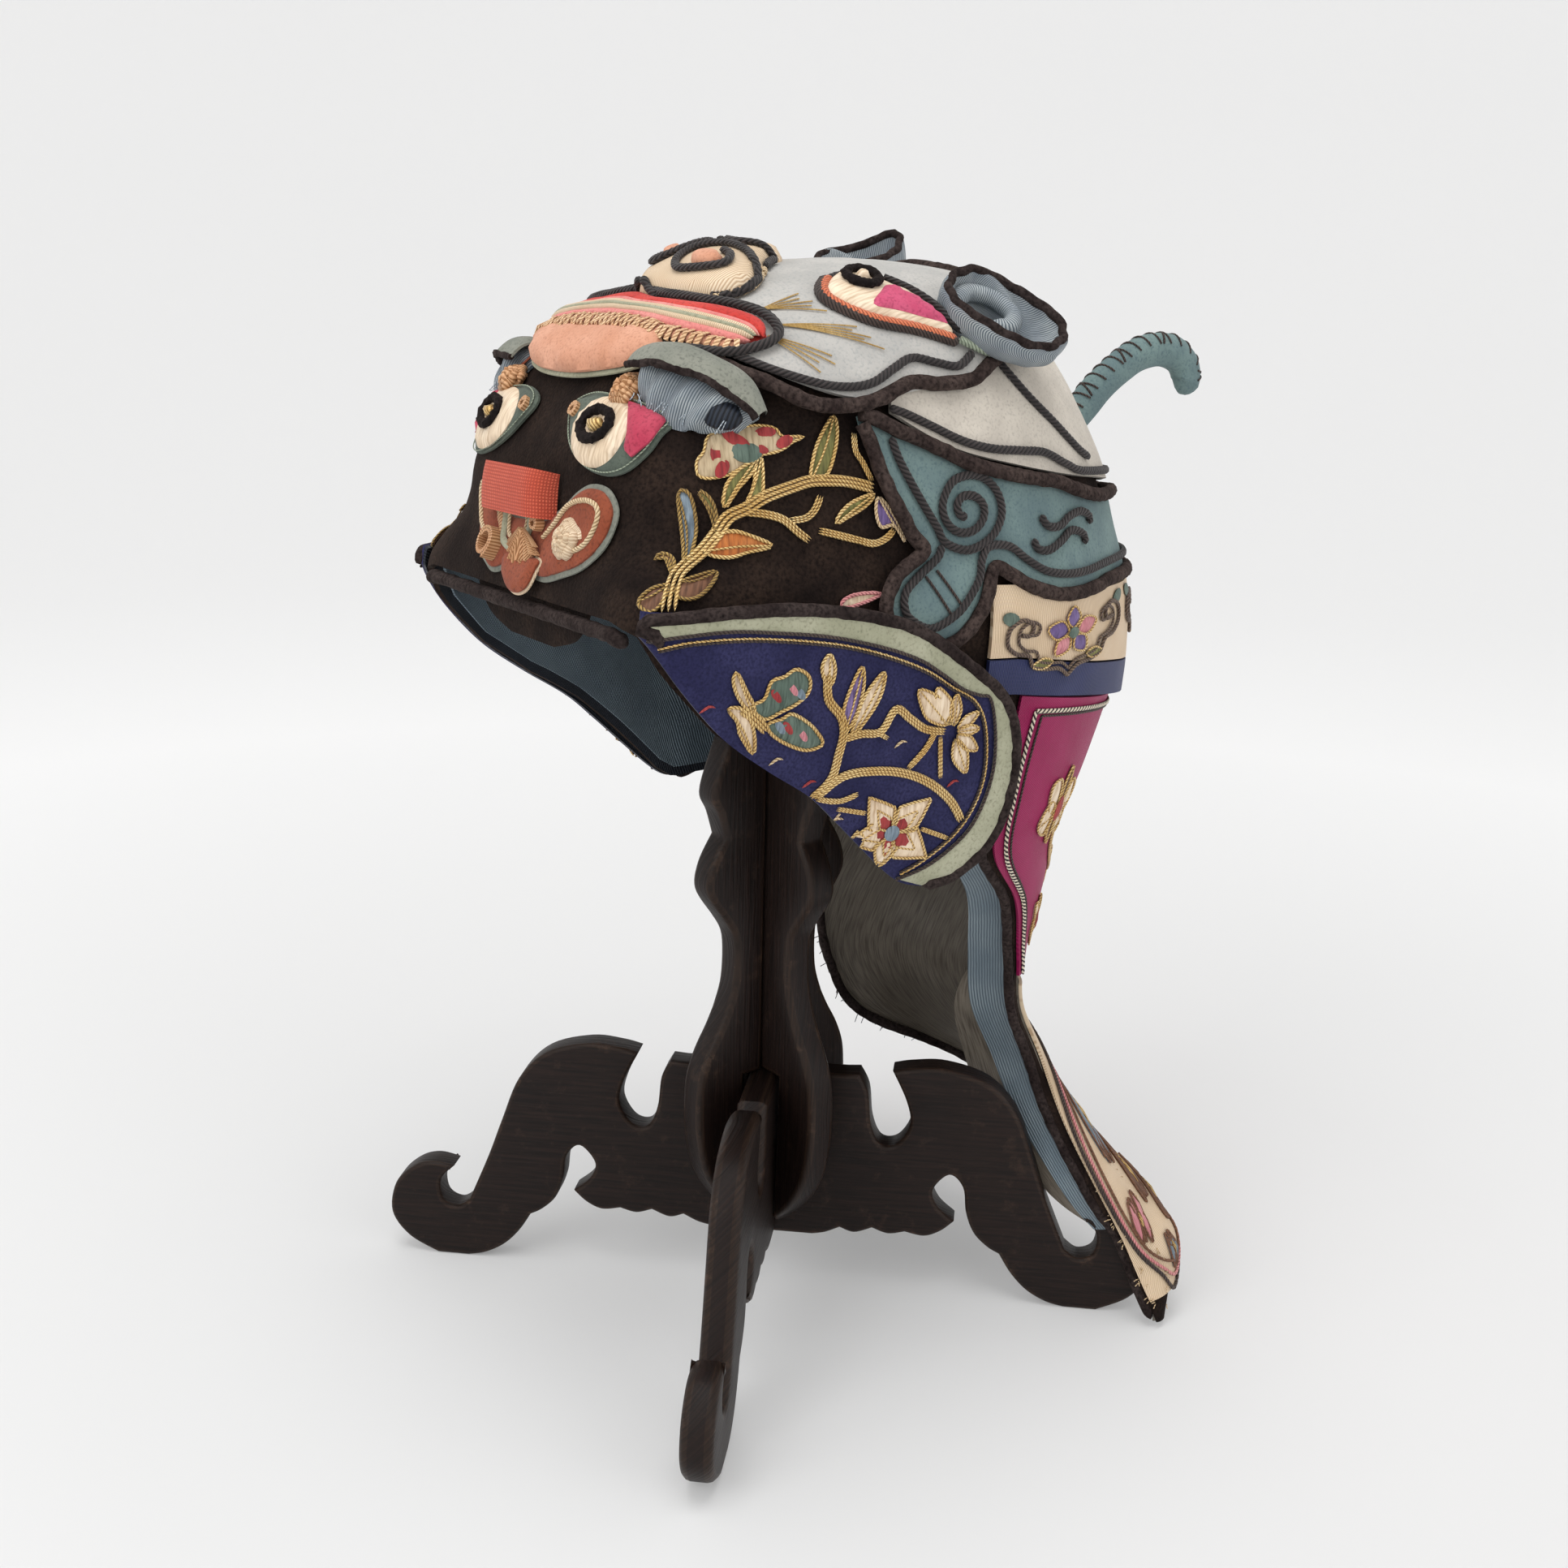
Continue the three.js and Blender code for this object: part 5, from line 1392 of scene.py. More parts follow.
def wall_grid(table, degrees, height, rows):
    """Grid round the wall between a table's top and bottom. Degrees past 180 come forward again."""
    turn = np.minimum(degrees, 360 - degrees)
    top, bottom = (np.interp(turn, table[:, 0], table[:, k]) for k in (1, 2))
    z = top + (bottom - top) * np.linspace(0, 1, rows)[:, None]
    signed = np.where(degrees > 180, -turn, turn) + np.zeros_like(z)
    wall = round_wall(signed, z)
    return raised(wall, height + 0.18 * uneven(wall, 9.0))


round_back = np.linspace(93, 267, 110)
for name, table, look, slot, size, area, rows in [
        ("cream_band", CREAM_BAND, CREAM_SILK, "cream_silk", (0.30, 0.026), 0.0062, 10),
        ("navy_band", NAVY_BAND, NAVY_SILK, "navy_silk", (0.30, 0.0102), 0.0026, 5)]:
    cloth = Piece("silk_" + name)
    band(cloth, wall_grid(table, round_back, 2.0, rows), wall_grid(table, round_back, 0.8, rows),
         look)
    made = cloth.make(slot, name)

# %% Back and face panels
SADDLE_ROWS = [((0, 18, 303), (62, -8, 269)), ((0, 34, 301), (65, 6, 262)),
               ((0, 50, 296), (65.5, 24, 257)), ((0, 64, 286), (60, 48, 252)),
               ((0, 77, 270), (46, 72, 249)), ((0, 87, 256), (28, 86, 247)),
               ((0, 89, 251), (12, 91, 247))]
FACE_ROWS = [((0, -50, 289), (28, -51, 285)), ((0, -41, 294), (47, -46, 281)),
             ((0, -28, 298), (57, -35, 276)), ((0, -12, 302), (61, -19, 272)),
             ((0, 4, 303), (61, 1, 274.5)), ((0, 18, 303), (58, 20, 278)),
             ((0, 30, 302), (50, 34, 285)), ((0, 38, 300), (34, 41, 295))]


def crown_grid(rows, height, down, across):
    """Grid over the crown from guide points on the middle plane out to both edges."""
    guides = curve(np.array(rows, float).reshape(-1, 6), 12)
    at = np.linspace(0, 1, down)
    row = read_off(at, np.linspace(0, 1, len(guides)), guides)
    aims = []
    for share in np.linspace(-1, 1, across):
        a = unit(row[:, :3] - HEART)
        b = unit(row[:, 3:] * [1 if share >= 0 else -1, 1, 1] - HEART)
        angle = np.arccos(np.clip((a * b).sum(1), -1, 1))[:, None]
        aims.append(unit(a * np.sin((1 - abs(share)) * angle) + b * np.sin(abs(share) * angle)))
    wall = on_crown(HEART + np.stack(aims, 1))
    return raised(wall, height + 0.25 * uneven(wall, 8.0))


for name, rows, low, high, look, size, area in [
        ("saddle_panel", SADDLE_ROWS, 1.2, 2.4, SADDLE_FELT, (0.165, 0.12), 0.0170),
        ("face_panel", FACE_ROWS, 3.1, 4.2, FACE_FELT, (0.155, 0.098), 0.0133)]:
    cloth = Piece("felt_" + name)
    band(cloth, crown_grid(rows, high, 50, 61), crown_grid(rows, low, 50, 61), look)
    made = cloth.make("grey_cotton", name)

# %% [markdown]
# ## Cords on the haunches and the back
# The haunches are teal felt, cut to a scalloped outline. The felt's raw edges are hidden under a
# thick soft cord, and a flat plaited braid runs a few millimetres inside it. The same braid is
# coiled into a spiral on the haunch and bent into two wave marks. They could be pressed into the
# felt as a relief, but each is a swept cord through guide points, because the light then catches
# it like the real thing. The other side mirrors it.

# %% Haunch and saddle cords
SIDE = {side: CrownGround((side * 72, 5, 240)) for side in (1, -1)}
HAUNCH_EDGE = [
    (64.6, -18.1, 267.4), (66.4, -16.2, 262.3), (68.5, -13.8, 254.8), (69.7, -10.2, 248.1),
    (70.9, -6, 240.8), (71.8, -2.6, 236.4), (72.6, -6.7, 233.4), (73.3, -11.3, 230.6),
    (74.1, -14.6, 226.5), (74.4, -15.8, 221.8), (74, -12.7, 216.2), (74, -6, 212.8),
    (74, 2.5, 212), (74, 10, 215.4), (74, 15.8, 222.4), (73.2, 19.5, 230.5), (73.4, 23.5, 229.6),
    (73.8, 29.7, 226.5), (73.5, 36.8, 224), (72, 45.6, 222.5), (69, 56.5, 222.8),
    (62.9, 69.6, 224.5), (47, 86, 224.5), (25, 98, 223.8), (-1.5, 102, 223.5)]
FOOT_BRAID = [
    (72, 3.1, 237.6), (72.8, 1.5, 234.3), (73.7, -4.5, 230.3), (74.6, -9.7, 226.3),
    (74.9, -10.3, 222.4), (75.1, -8, 219.4), (75.1, -1.7, 217), (75.1, 6.1, 220),
    (75.1, 10.9, 224.2), (74, 14.6, 228.8), (73.1, 15.7, 232.7), (72.2, 18.7, 236.4),
    (71.7, 25.5, 236.1), (72.2, 31.3, 232.3), (72.6, 37.9, 229), (71.2, 45.9, 227.6),
    (68.5, 55.1, 227.6), (62.5, 68.2, 228.9), (46, 86, 229), (25, 97, 228.5), (0, 101, 228)]
SPIRAL = [
    (66.3, -10.3, 264.5), (67.8, -8.8, 259.4), (69.4, -5.5, 253.2), (70.4, -1.7, 247.4),
    (71.2, 2, 242), (71.9, 4.2, 238.2), (72.4, 10.5, 235.8), (72.1, 16.2, 237), (71.4, 21, 240.3),
    (70.4, 23.4, 245.1), (69.8, 22.3, 250.1), (69.2, 18.7, 253.6), (69, 13.7, 254.9),
    (69.4, 7.9, 253.6), (70.1, 4.5, 249.6), (70.7, 4, 245.8), (71.2, 6, 242.3),
    (71.5, 9.6, 240.5), (71.3, 14, 241), (70.8, 17.1, 243.9), (70.3, 17.3, 247.3),
    (70, 14.6, 249.6), (70, 10.7, 249.7), (70.4, 8.7, 247.6), (70.8, 9.5, 245.1),
    (70.8, 11.9, 244.5)]
WAVES = [[(69.3, 37.6, 243.9), (69.2, 40.4, 240.8), (68.2, 45.4, 240.6), (66.8, 49.8, 242.9),
          (64.5, 55.2, 243.8), (63.1, 59.6, 242.2), (63.5, 59.5, 239.9)],
         [(66.1, 56.5, 234.5), (65.5, 55.8, 237.5), (67.4, 50.3, 239), (68.9, 45.8, 236.5),
          (70.6, 40.4, 234.3), (71.2, 35.9, 234.8), (70.7, 34.5, 237.8)]]
CLAWS = [[(73.9, -2.7, 229.7), (75.1, 4.9, 220)], [(73.5, 1.1, 231), (75.1, 8.5, 221.8)]]
SADDLE_EDGE = [
    (64.6, -18.8, 270.2), (65.3, -14, 268.8), (66.2, -8.6, 266.4), (67.1, -1.9, 264),
    (67.9, 5.5, 261.1), (68.7, 14.4, 257.6), (68.8, 24, 255.4), (68.5, 34.1, 253.7),
    (66.6, 44.4, 252.3), (64.4, 53.4, 249.8), (59.1, 65.9, 247.4), (46, 77, 246), (27, 89, 244.5),
    (-1.5, 96, 244)]
SADDLE_BRAID = [
    (64.2, -9.8, 271.5), (64.9, -4.8, 270.1), (66, 2.3, 267.3), (67.2, 12.1, 263.4),
    (67.5, 21.4, 261.3), (67.1, 31.5, 260.7), (65.7, 40.6, 259.9), (64.2, 49.6, 256.6),
    (61.2, 57.9, 254.2), (47, 75, 252), (28, 87, 250.5), (0, 94, 250)]
BACK_SEAM = [
    (54, 26, 285), (60.3, 36.7, 275.3), (61, 47, 267), (59.9, 56.4, 260.3), (57, 62, 257)]
EDGE_CORD = dict(width=4.0, thick=3.4, look=DARK_CHENILLE, plait="fluff", pitch=2.6, relief=0.13,
                 sides=10)
FLAT_BRAID = dict(width=2.3, thick=1.7, look=DARK_BRAID, pitch=1.5, step=0.5)
for side in (1, -1):
    haunch = Piece(f"felt_haunch_{SIDE_NAME[side]}")
    cut = np.concatenate([smooth(SIDE[side].flat(mirror(line, side)), 2.0)
                          for line in (HAUNCH_EDGE, SADDLE_EDGE[::-1])])
    patch(haunch, SIDE[side], even(cut, 2.0, True), 0.6, 1.8, TEAL_FELT, step=2.6, soft=1.0)
    made = haunch.make("teal_felt", f"haunch_{SIDE_NAME[side]}")
    cords = Piece(f"haunch_cords_{SIDE_NAME[side]}")
    ground = SIDE[side]
    sewn_cord(cords, ground, mirror(HAUNCH_EDGE, side), 2.5, **EDGE_CORD)
    for line in (FOOT_BRAID, SPIRAL, *WAVES):
        sewn_cord(cords, ground, mirror(line, side), 2.65, taper=0.8, **FLAT_BRAID)
    for line in CLAWS:
        sewn_cord(cords, ground, mirror(line, side), 2.2, 0.8, 0.7, DARK_THREAD, plait="twist",
                  sides=6)
    sewn_cord(cords, ground, mirror(SADDLE_EDGE, side), 3.1, **EDGE_CORD)
    for line in (SADDLE_BRAID, BACK_SEAM):
        sewn_cord(cords, ground, mirror(line, side), 3.1, taper=0.8, **FLAT_BRAID)
    cords.make("black_velvet")

# %% [markdown]
# The face panel is bound the same way. Its thick cord waves along the cheek and closes behind the
# brow, where the ears stand. The guides are written for the left cheek only, since the right one
# mirrors it.

# %% Face cords
FACE_EDGE = [
    (0, -52, 290), (22, -54, 286), (42, -53, 282), (53, -48.5, 278.5), (58.6, -42.5, 276.2),
    (63, -33.4, 272.3), (64.2, -23.2, 271.9), (63.8, -13.5, 273.4), (62.2, -2.9, 277.3),
    (62.3, 7, 277.3), (61.7, 17.5, 278.1), (59.7, 24.1, 281.3), (52, 34, 285), (36, 42, 294),
    (0, 40, 299)]
FACE_BRAID = [
    (51.3, -48.1, 282.3), (57.9, -41.3, 279.5), (61.9, -31.1, 277.1), (63, -22.5, 276.4),
    (62.9, -14.9, 277.6), (61.4, -7.3, 281.1), (59.8, -0.4, 283.4), (60.5, 7, 282.4),
    (60.9, 13.9, 281.7), (58.8, 19.4, 284.4)]
BROWS = [([(41.6, 3.7, 301.4), (46.7, 9.4, 298), (51.1, 13.4, 294.6), (55.2, 16.7, 290.7),
           (56.6, 20.9, 288.4), (57.7, 27.4, 286.1)], DARK_BRAID, 2.2),
         ([(57.3, 16.2, 287.5), (59, 23.3, 284.9), (58.9, 28.7, 284.2)], SAGE_THREAD, 2.0)]
for side in (1, -1):
    cords = Piece(f"face_cords_{SIDE_NAME[side]}")
    ground = SIDE[side]
    sewn_cord(cords, ground, mirror(FACE_EDGE, side), 4.2, **EDGE_CORD)
    sewn_cord(cords, ground, mirror(FACE_BRAID, side), 4.9, **FLAT_BRAID)
    for line, look, width in BROWS:
        sewn_cord(cords, ground, mirror(line, side), 6.0, width, width, look, plait="twist",
                  pitch=1.6)
    cords.make("black_velvet")

# %% [markdown]
# ## The tail
# The tail is a stuffed felt tube that stands up at the back and curls over at its end. Its seam is
# closed with dark overcast stitches, each a short thread across the ridge. It is stiff enough to
# stand, so it is swept, not simulated.

# %% Tail
TAIL_ROOT = raised(on_crown(np.array([[0, 92, 256]], float)), 2.2)[0]
TAIL = [tuple(TAIL_ROOT), (0, 97.2, 257.5), (0, 105.8, 263.5), (0, 115.5, 273), (0, 123.4, 279),
        (0, 131.4, 283.6), (0, 138.5, 285.4), (0, 146, 285), (0, 151.6, 281.5), (0, 153.4, 276.5),
        (0, 151, 272.2)]
tail = Piece("stuffed_tail")
line = smooth(TAIL, 1.0)
flank = np.tile([1.0, 0, 0], (len(line), 1))
cord(tail, line, flank, 10.8, 7.6, TEAL_FELT, plait="fluff", pitch=8, relief=0.05, sides=22,
     taper=4.0)
ahead = unit(np.gradient(line, axis=0))
ridge = unit(np.cross(flank, ahead))
ridge *= np.sign(ridge[:, 2:3] + 1e-6)
high, wide, slant = 5.45, 3.95, 1.3  # where a stitch runs from the tail's middle
for i in range(6, len(line) - 5, 4):
    for slope in ((-1, 1) if i % 16 == 10 else (1,)):  # some stitches cross
        over = [line[i] + ridge[i] * high * math.cos(a) + flank[i] * wide * math.sin(a)
                + ahead[i] * slope * slant * a for a in np.linspace(-1.3, 1.2, 11)]
        cord(tail, np.array(over), np.array(over) - line[i], 0.75, 0.6, DARK_THREAD, sides=5,
             plait="twist", pitch=0.9)
TAIL_PIECE = tail.make("teal_felt", "tail")

# %% [markdown]
# ## The big tiger's mouth
# The lips are strips of felt and silk, rolled and laid side by side from the braid down to the
# teeth: red, pink, cream, sage, cream and pink again. They could be one grooved shape, but each is
# its own roll that follows a line between the upper and the lower edge of the mouth, so one table
# of shares places them all. The teeth are a looped silk ribbon, made as a loose coil round a soft
# core. Under them hangs a peach felt tongue with a sage underside.

# %% Lips, teeth and tongue
LIP_TOP = [
    (53.5, -39.5, 287.6), (48.2, -38.4, 291.8), (40.9, -42.2, 293.9), (31, -46.6, 294.9),
    (15.5, -48.2, 296.4), (0, -46.5, 298.2)]
LIP_LOW = [
    (53.5, -44, 285.6), (50.7, -48.6, 284.6), (38.3, -55, 286.8), (26, -56.4, 289),
    (14, -56.7, 290.3), (0, -57.2, 290.6)]
lip_top, lip_low = (TOP.flat(curve([*mirror(half, -1), *half[-2::-1]], 16))
                    for half in (LIP_TOP, LIP_LOW))
lip_width = np.linalg.norm(lip_top - lip_low, axis=1)
LIPS = [  # name, first and last share of the mouth's width, finish, height, thickness
    ("red", 0.06, 0.42, RED_FELT, 5.6, 2.6), ("pink", 0.36, 0.54, PINK_FELT, 6.3, 2.6),
    ("cream", 0.50, 0.64, CREAM_SILK, 6.8, 2.6), ("sage", 0.60, 0.70, SAGE_FELT, 7.0, 2.4),
    ("light", 0.66, 0.78, CREAM_SILK, 6.6, 2.6), ("rose", 0.74, 0.92, PINK_FELT, 6.0, 2.6),
]
mouth = Piece("layered_lips")
for name, first, last, look, height, thick in LIPS:
    middle = lip_top + (lip_low - lip_top) * (first + last) / 2
    keep = slice(int(6 * first) + 2, -int(6 * first) - 2)  # the lower a roll, the shorter
    along = measure(middle[keep])
    at = np.linspace(0, along[-1], int(along[-1]))
    line = read_off(at, along, middle[keep])
    width = np.interp(at, along, lip_width[keep]) * (last - first) * 1.25
    places, normals = TOP.onto(line, height)
    cord(mouth, places, normals, width, thick, look, plait="fluff", pitch=6, relief=0.06, sides=12,
         taper=3.0)
patch(mouth, TOP, even(np.concatenate([lip_top, lip_low[::-1]]), 2.0, True), 3.6, 4.8, RED_FELT,
      step=3.0)
for side in (1, -1):
    corner = [(0, -44.5, 299.6), (15.5, -46.6, 297.2), (31, -45, 296), (40.9, -40.6, 294.8),
              (48.2, -36.8, 292.6), (53.6, -36.8, 289.4), (55.4, -41, 286.5), (54, -47.6, 283.8),
              (50.5, -52.4, 282.6), (43, -56.5, 282)]
    sewn_cord(mouth, TOP, mirror(corner, side), 6.0, 2.7, 2.4, DARK_BRAID, pitch=1.7)
MOUTH = mouth.make("rust_felt", "mouth")

TEETH_THREAD = twisted("looped_silk_ribbon", "deb58a", "eccaa2", "a87b54")
teeth = Piece("looped_teeth")
line = smooth(lip_low[8:-8] + (lip_low[8:-8] - lip_top[8:-8]) * 0.06, 0.12)
places, normals = TOP.onto(line, 5.6)
ahead = unit(np.gradient(places, axis=0))
across = np.cross(ahead, normals)
LOOP_PITCH, LOOP_REACH, LOOP_LIFT = 2.2, 2.7, 1.9  # from loop to loop, and a loop's half sizes
turns = measure(places) / LOOP_PITCH * 2 * math.pi
loose = np.array([noise.noise(Vector((v * 0.13, 4.0, 1.0))) for v in turns])
loops = (places + across * (np.cos(turns) * (LOOP_REACH + 0.8 * loose))[:, None]
         + normals * (np.sin(turns) * (LOOP_LIFT + 0.5 * loose))[:, None])
cord(teeth, loops[::3], ahead[::3], 0.5, 1.6, TEETH_THREAD, plait="twist", sides=6, pitch=1.2)
cord(teeth, places[::8], normals[::8], 3.6, 2.6, PEACH_FELT, plait="fluff", pitch=3, relief=0.1,
     sides=10, taper=2.0)
teeth.make("cream_silk")

TONGUE = [
    (-31, -52.5, 286.5), (-16, -56, 289), (0, -57, 289.6), (16, -56, 289), (31, -52.5, 286.5),
    (36.5, -54, 282.6), (33.5, -60, 279.7), (25, -64, 278), (10.1, -66, 276.9),
    (-4, -66.3, 276.8), (-18, -65.2, 277.5), (-29, -61.5, 279.2), (-36.5, -54, 282.6)]
tongue = Piece("felt_tongue")
outline = smooth(TOP.flat(TONGUE), 1.6, True)
patch(tongue, TOP, drawn_in(outline, -0.7), 2.2, 3.3, SAGE_FELT, step=3.0, soft=1.0)
patch(tongue, TOP, outline, 3.4, 5.0, PEACH_FELT, crowned=2.2, step=2.4, wave=0.5, soft=1.4)
TONGUE_PIECE = tongue.make("peach_felt", "tongue")

# %% [markdown]
# ## The big tiger's nose
# A cream felt form with two spiral nostrils, like the head of a ruyi sceptre. It is stuffed highest
# in the middle. The two dark braids lie on that form, so a ray down onto its made surface finds
# their place. The centre of each spiral is a small peach pad.

# %% Nose
NOSE_HALF = np.array([
    (0, -48.5, 298.2), (11, -48, 298.2), (21.3, -47.6, 297.8), (31, -44.6, 297.2),
    (37, -39.6, 298), (36.4, -32, 299.6), (28.5, -24.5, 302.6), (21, -19.5, 304),
    (14, -13, 305.2), (10, -8, 305.4), (0, -6, 305.6)])
REACH = {1: 0.98, -1: 0.55}  # how far each half reaches: the stuffing has slipped to the left
NOSE_SHIFT, LEAN_BACK = 3, 0.3


def nose_points(line, side):
    """Points of the nose on one side. It sits a little askew: the right half leans back."""
    line = np.asarray(line, float)
    back = LEAN_BACK * line[:, :1] if side < 0 else 0.0
    across = line * [side * REACH[side], 1, 1] + [NOSE_SHIFT, 0, 0]
    return across + back * np.array([0.0, 1.0, 0.3])


nose = Piece("stuffed_nose")
slim = np.array([0.88, 1, 1])  # the form is a little narrower than the braid round it
outline = [*nose_points(NOSE_HALF * slim, 1), *nose_points(NOSE_HALF[-2:0:-1] * slim, -1)]
patch(nose, TOP, smooth(TOP.flat(outline), 1.5, True), 4.2, 6.4, CREAM_SILK, crowned=4.6, step=2.0,
      soft=3.0)
NOSE_GROUND = SurfaceGround(nose.tree(), (1, 0, 0), (0, 0.93, 0.37), (0, -0.37, 0.93),
                            middle=(0, -30, 300))
for side in (1, -1):
    for line, look, width, height in [
            ([(1, -45, 300), (11, -46.2, 299), (21.3, -45.4, 299), (30, -42.6, 298.8),
              (34, -38.4, 299.4), (32.8, -32.6, 301.4), (25.4, -26.6, 305), (15, -23.6, 307),
              (7, -25.5, 308), (4, -31, 306.5), (7, -37.6, 304), (13.5, -41.2, 302.4),
              (21.5, -39, 302.6), (25.4, -34.8, 303.4), (21, -30.4, 305.4), (15.5, -29.6, 306.4)],
             DARK_BRAID, 2.4, 0.9),
            ([(2, -20, 308), (8, -19.6, 306.6), (13, -12.5, 306.4), (19.5, -11.2, 305.4),
              (26.3, -12.4, 304.6)], DARK_BRAID, 2.3, 0.8),
            ([(1, -48.2, 298.4), (11, -48.8, 298), (22, -48, 297.6), (32, -45, 297),
              (38, -39.4, 297.8), (37, -31, 299.6), (29.2, -24.4, 302), (24.4, -18.6, 303.6),
              (30.1, -13.4, 303.7), (36.8, -8.9, 302.2), (42.5, -6.5, 300.6)],
             CREAM_THREAD, 2.0, 0.3)]:
        sewn_cord(nose, NOSE_GROUND, nose_points(line, side), height, width, width * 0.8, look,
                  pitch=1.7, plait="braid" if look is DARK_BRAID else "twist", taper=1.0)
    button = nose_points([(17.5 + 5.4 * math.cos(a), -35 + 3.6 * math.sin(a), 304)
                          for a in np.linspace(0, 2 * math.pi, 14)[:-1]], side)
    patch(nose, NOSE_GROUND, smooth(NOSE_GROUND.flat(button), 0.9, True), 0.0, 0.9, PEACH_FELT,
          crowned=1.4, step=1.2, soft=1.2)
NOSE = nose.make("cream_silk", "nose")

# %% [markdown]
# ## The big tiger's eyes and whiskers
# An eye is a stuffed cream pad in a coral cord, with a ring of black chenille for the pupil and a
# rose corner. The whiskers are single gilt threads laid straight over the cheek in three fans.

# %% Eyes
EYE = [
    (42.1, -15.1, 298.9), (46.4, -16.8, 296.4), (50.6, -13.3, 293.7), (53.6, -6.3, 291.8),
    (55.2, 4.6, 290.4), (57.1, 15.8, 287.9), (52.2, 12.6, 293.7), (46.7, 8.3, 298),
    (42.8, 2.9, 300.6), (37, -0.1, 302.9), (36.8, -5.9, 302.7), (38.1, -10.7, 301.4)]
EYE_CORNER = [
    (46.6, 1.4, 298.6), (49.2, -2.6, 297), (52.2, -6.4, 294.2), (54, 1, 292.6),
    (55.9, 13.5, 289.6), (52, 9.6, 294.4), (49.2, 5.4, 297)]
for side in (1, -1):
    eye = Piece(f"eye_{SIDE_NAME[side]}_pad")
    middle = np.array([side * 47.0, -1, 296])
    outward = crown_normal(on_crown(middle[None]))[0]
    flat_up = unit(np.cross(outward, (1, 0, 0)))
    outline = smooth(TOP.flat(mirror(EYE, side)), 1.4, True)
    patch(eye, TOP, outline, 4.0, 5.6, CREAM_SATIN, crowned=2.0, step=1.8, soft=2.0)
    pad_ground = SurfaceGround(eye.tree(), np.cross(flat_up, outward), flat_up, outward, middle)
    corner = smooth(pad_ground.flat(mirror(EYE_CORNER, side)), 1.2, True)
    patch(eye, pad_ground, corner, -0.3, 0.7, ROSE_FELT, crowned=0.5, step=1.5, soft=0.9)
    lid = mirror([EYE[-1], *EYE[:6]], side)
    for line, height, width, look, plait in [
            (mirror(EYE[5:] + EYE[:1], side), 5.2, 1.9, DARK_BRAID, "braid"),
            (lid, 5.5, 2.5, CORAL_THREAD, "twist"), (lid, 4.9, 3.4, DARK_THREAD, "twist")]:
        flat = smooth(TOP.flat(line), 0.7)
        if look is DARK_THREAD:
            flat = flat + (flat - outline.mean(0)) * 0.05
        places, normals = TOP.onto(flat, height)
        cord(eye, places, normals, width, width * 0.8, look, plait=plait, pitch=1.8, taper=1.5)
    ring_middle = pad_ground.flat(np.array([[side * 43.8, -4.6, 300.6]]))[0]
    ring = oval(ring_middle, 4.1, 4.1, 24)
    sewn_cord(eye, pad_ground, ring, 0.9, 2.9, 2.4, BLACK_CHENILLE, closed=True, plait="fluff",
              pitch=1.2, relief=0.3, sides=10)
    patch(eye, pad_ground, ring_middle + (ring - ring_middle) * 0.52, -0.2, 1.0, CREAM_SATIN,
          crowned=1.2, step=1.0, soft=1.0)
    made = eye.make("cream_silk", f"eye_{SIDE_NAME[side]}")

# %% Whiskers
WHISKER_GILT = stitched("straight_gilt_thread", "a9884c", "c3a468", "8a6a38")
FANS = [((43.2, -34, 293), (41.5, -22.3, 297.1), (49.1, -19, 293.1), 5),
        ((49.5, -33.6, 289.5), (53.7, -13.4, 289.9), (58.1, -8.1, 285.2), 5),
        ((50.7, -38, 286.9), (60.4, -28.8, 279.3), (59.4, -21.7, 282.3), 4)]
for side in (1, -1):
    whiskers = Piece(f"whiskers_{SIDE_NAME[side]}")
    for root, first, last, count in FANS:
        for i, share in enumerate(np.linspace(0, 1, count)):
            tip = np.array(first) * (1 - share) + np.array(last) * share
            tip = tip + (np.array(root) - tip) * (0.14 if i % 2 else 0.0)
            start = np.array(root) + (tip - np.array(root)) * 0.05
            line = TOP.flat(mirror([start, (start + tip) / 2, tip], side))
            sewn_cord(whiskers, TOP, line, 4.6, 0.42, 0.36, WHISKER_GILT, plait="twist", sides=5,
                      step=2.0, relief=0.0)
    whiskers.make("cream_silk")

# %% [markdown]
# ## Ears
# A big ear is a strip of corded silk gathered into a cup, bound with a dark rolled rim and pinched
# into a fold inside. It is a surface of revolution pushed out of round: the radius and the height
# change round the rim, small pleats ripple it, and a ridge inside makes the fold.

# %% Big ears
EAR_WALL = [
    (0.62, 0.02), (0.86, 0.16), (0.97, 0.45), (1.0, 0.8), (0.97, 1.0), (0.89, 1.0), (0.8, 0.74),
    (0.66, 0.5), (0.44, 0.36), (0.2, 0.3), (0.03, 0.28)]


def ear_surface(seat, up, long_way, length, width, tall, dip, tilt):
    """Rows of points of a gathered ear, from its outer foot over the rim into the hollow."""
    aside = np.cross(up, long_way)
    profile = curve(EAR_WALL, 4)
    a = np.linspace(0, 2 * math.pi, 97)[:-1]
    share = np.linspace(0, 1, len(profile))[:, None]
    inner = np.clip((share - 0.45) / 0.55, 0, 1)
    pleat = 1 + 0.03 * np.sin(13 * a + 5 * share) * (0.3 + share)
    rise = 1 + dip * np.sin(a) + tilt * np.cos(a) + 0.05 * np.sin(3 * a + 0.7)
    r, h = profile[:, :1] * pleat, profile[:, 1:] * rise * tall
    ridge = np.exp(-(np.angle(np.exp(1j * (a - 2.5 + 1.9 * inner))) / 0.5) ** 2)
    h = h + 0.42 * tall * ridge * np.sin(math.pi * np.clip(inner * 1.15, 0, 1))
    return (seat + long_way * (r * length * np.cos(a))[..., None]
            + aside * (r * width * np.sin(a))[..., None] + up * h[..., None])


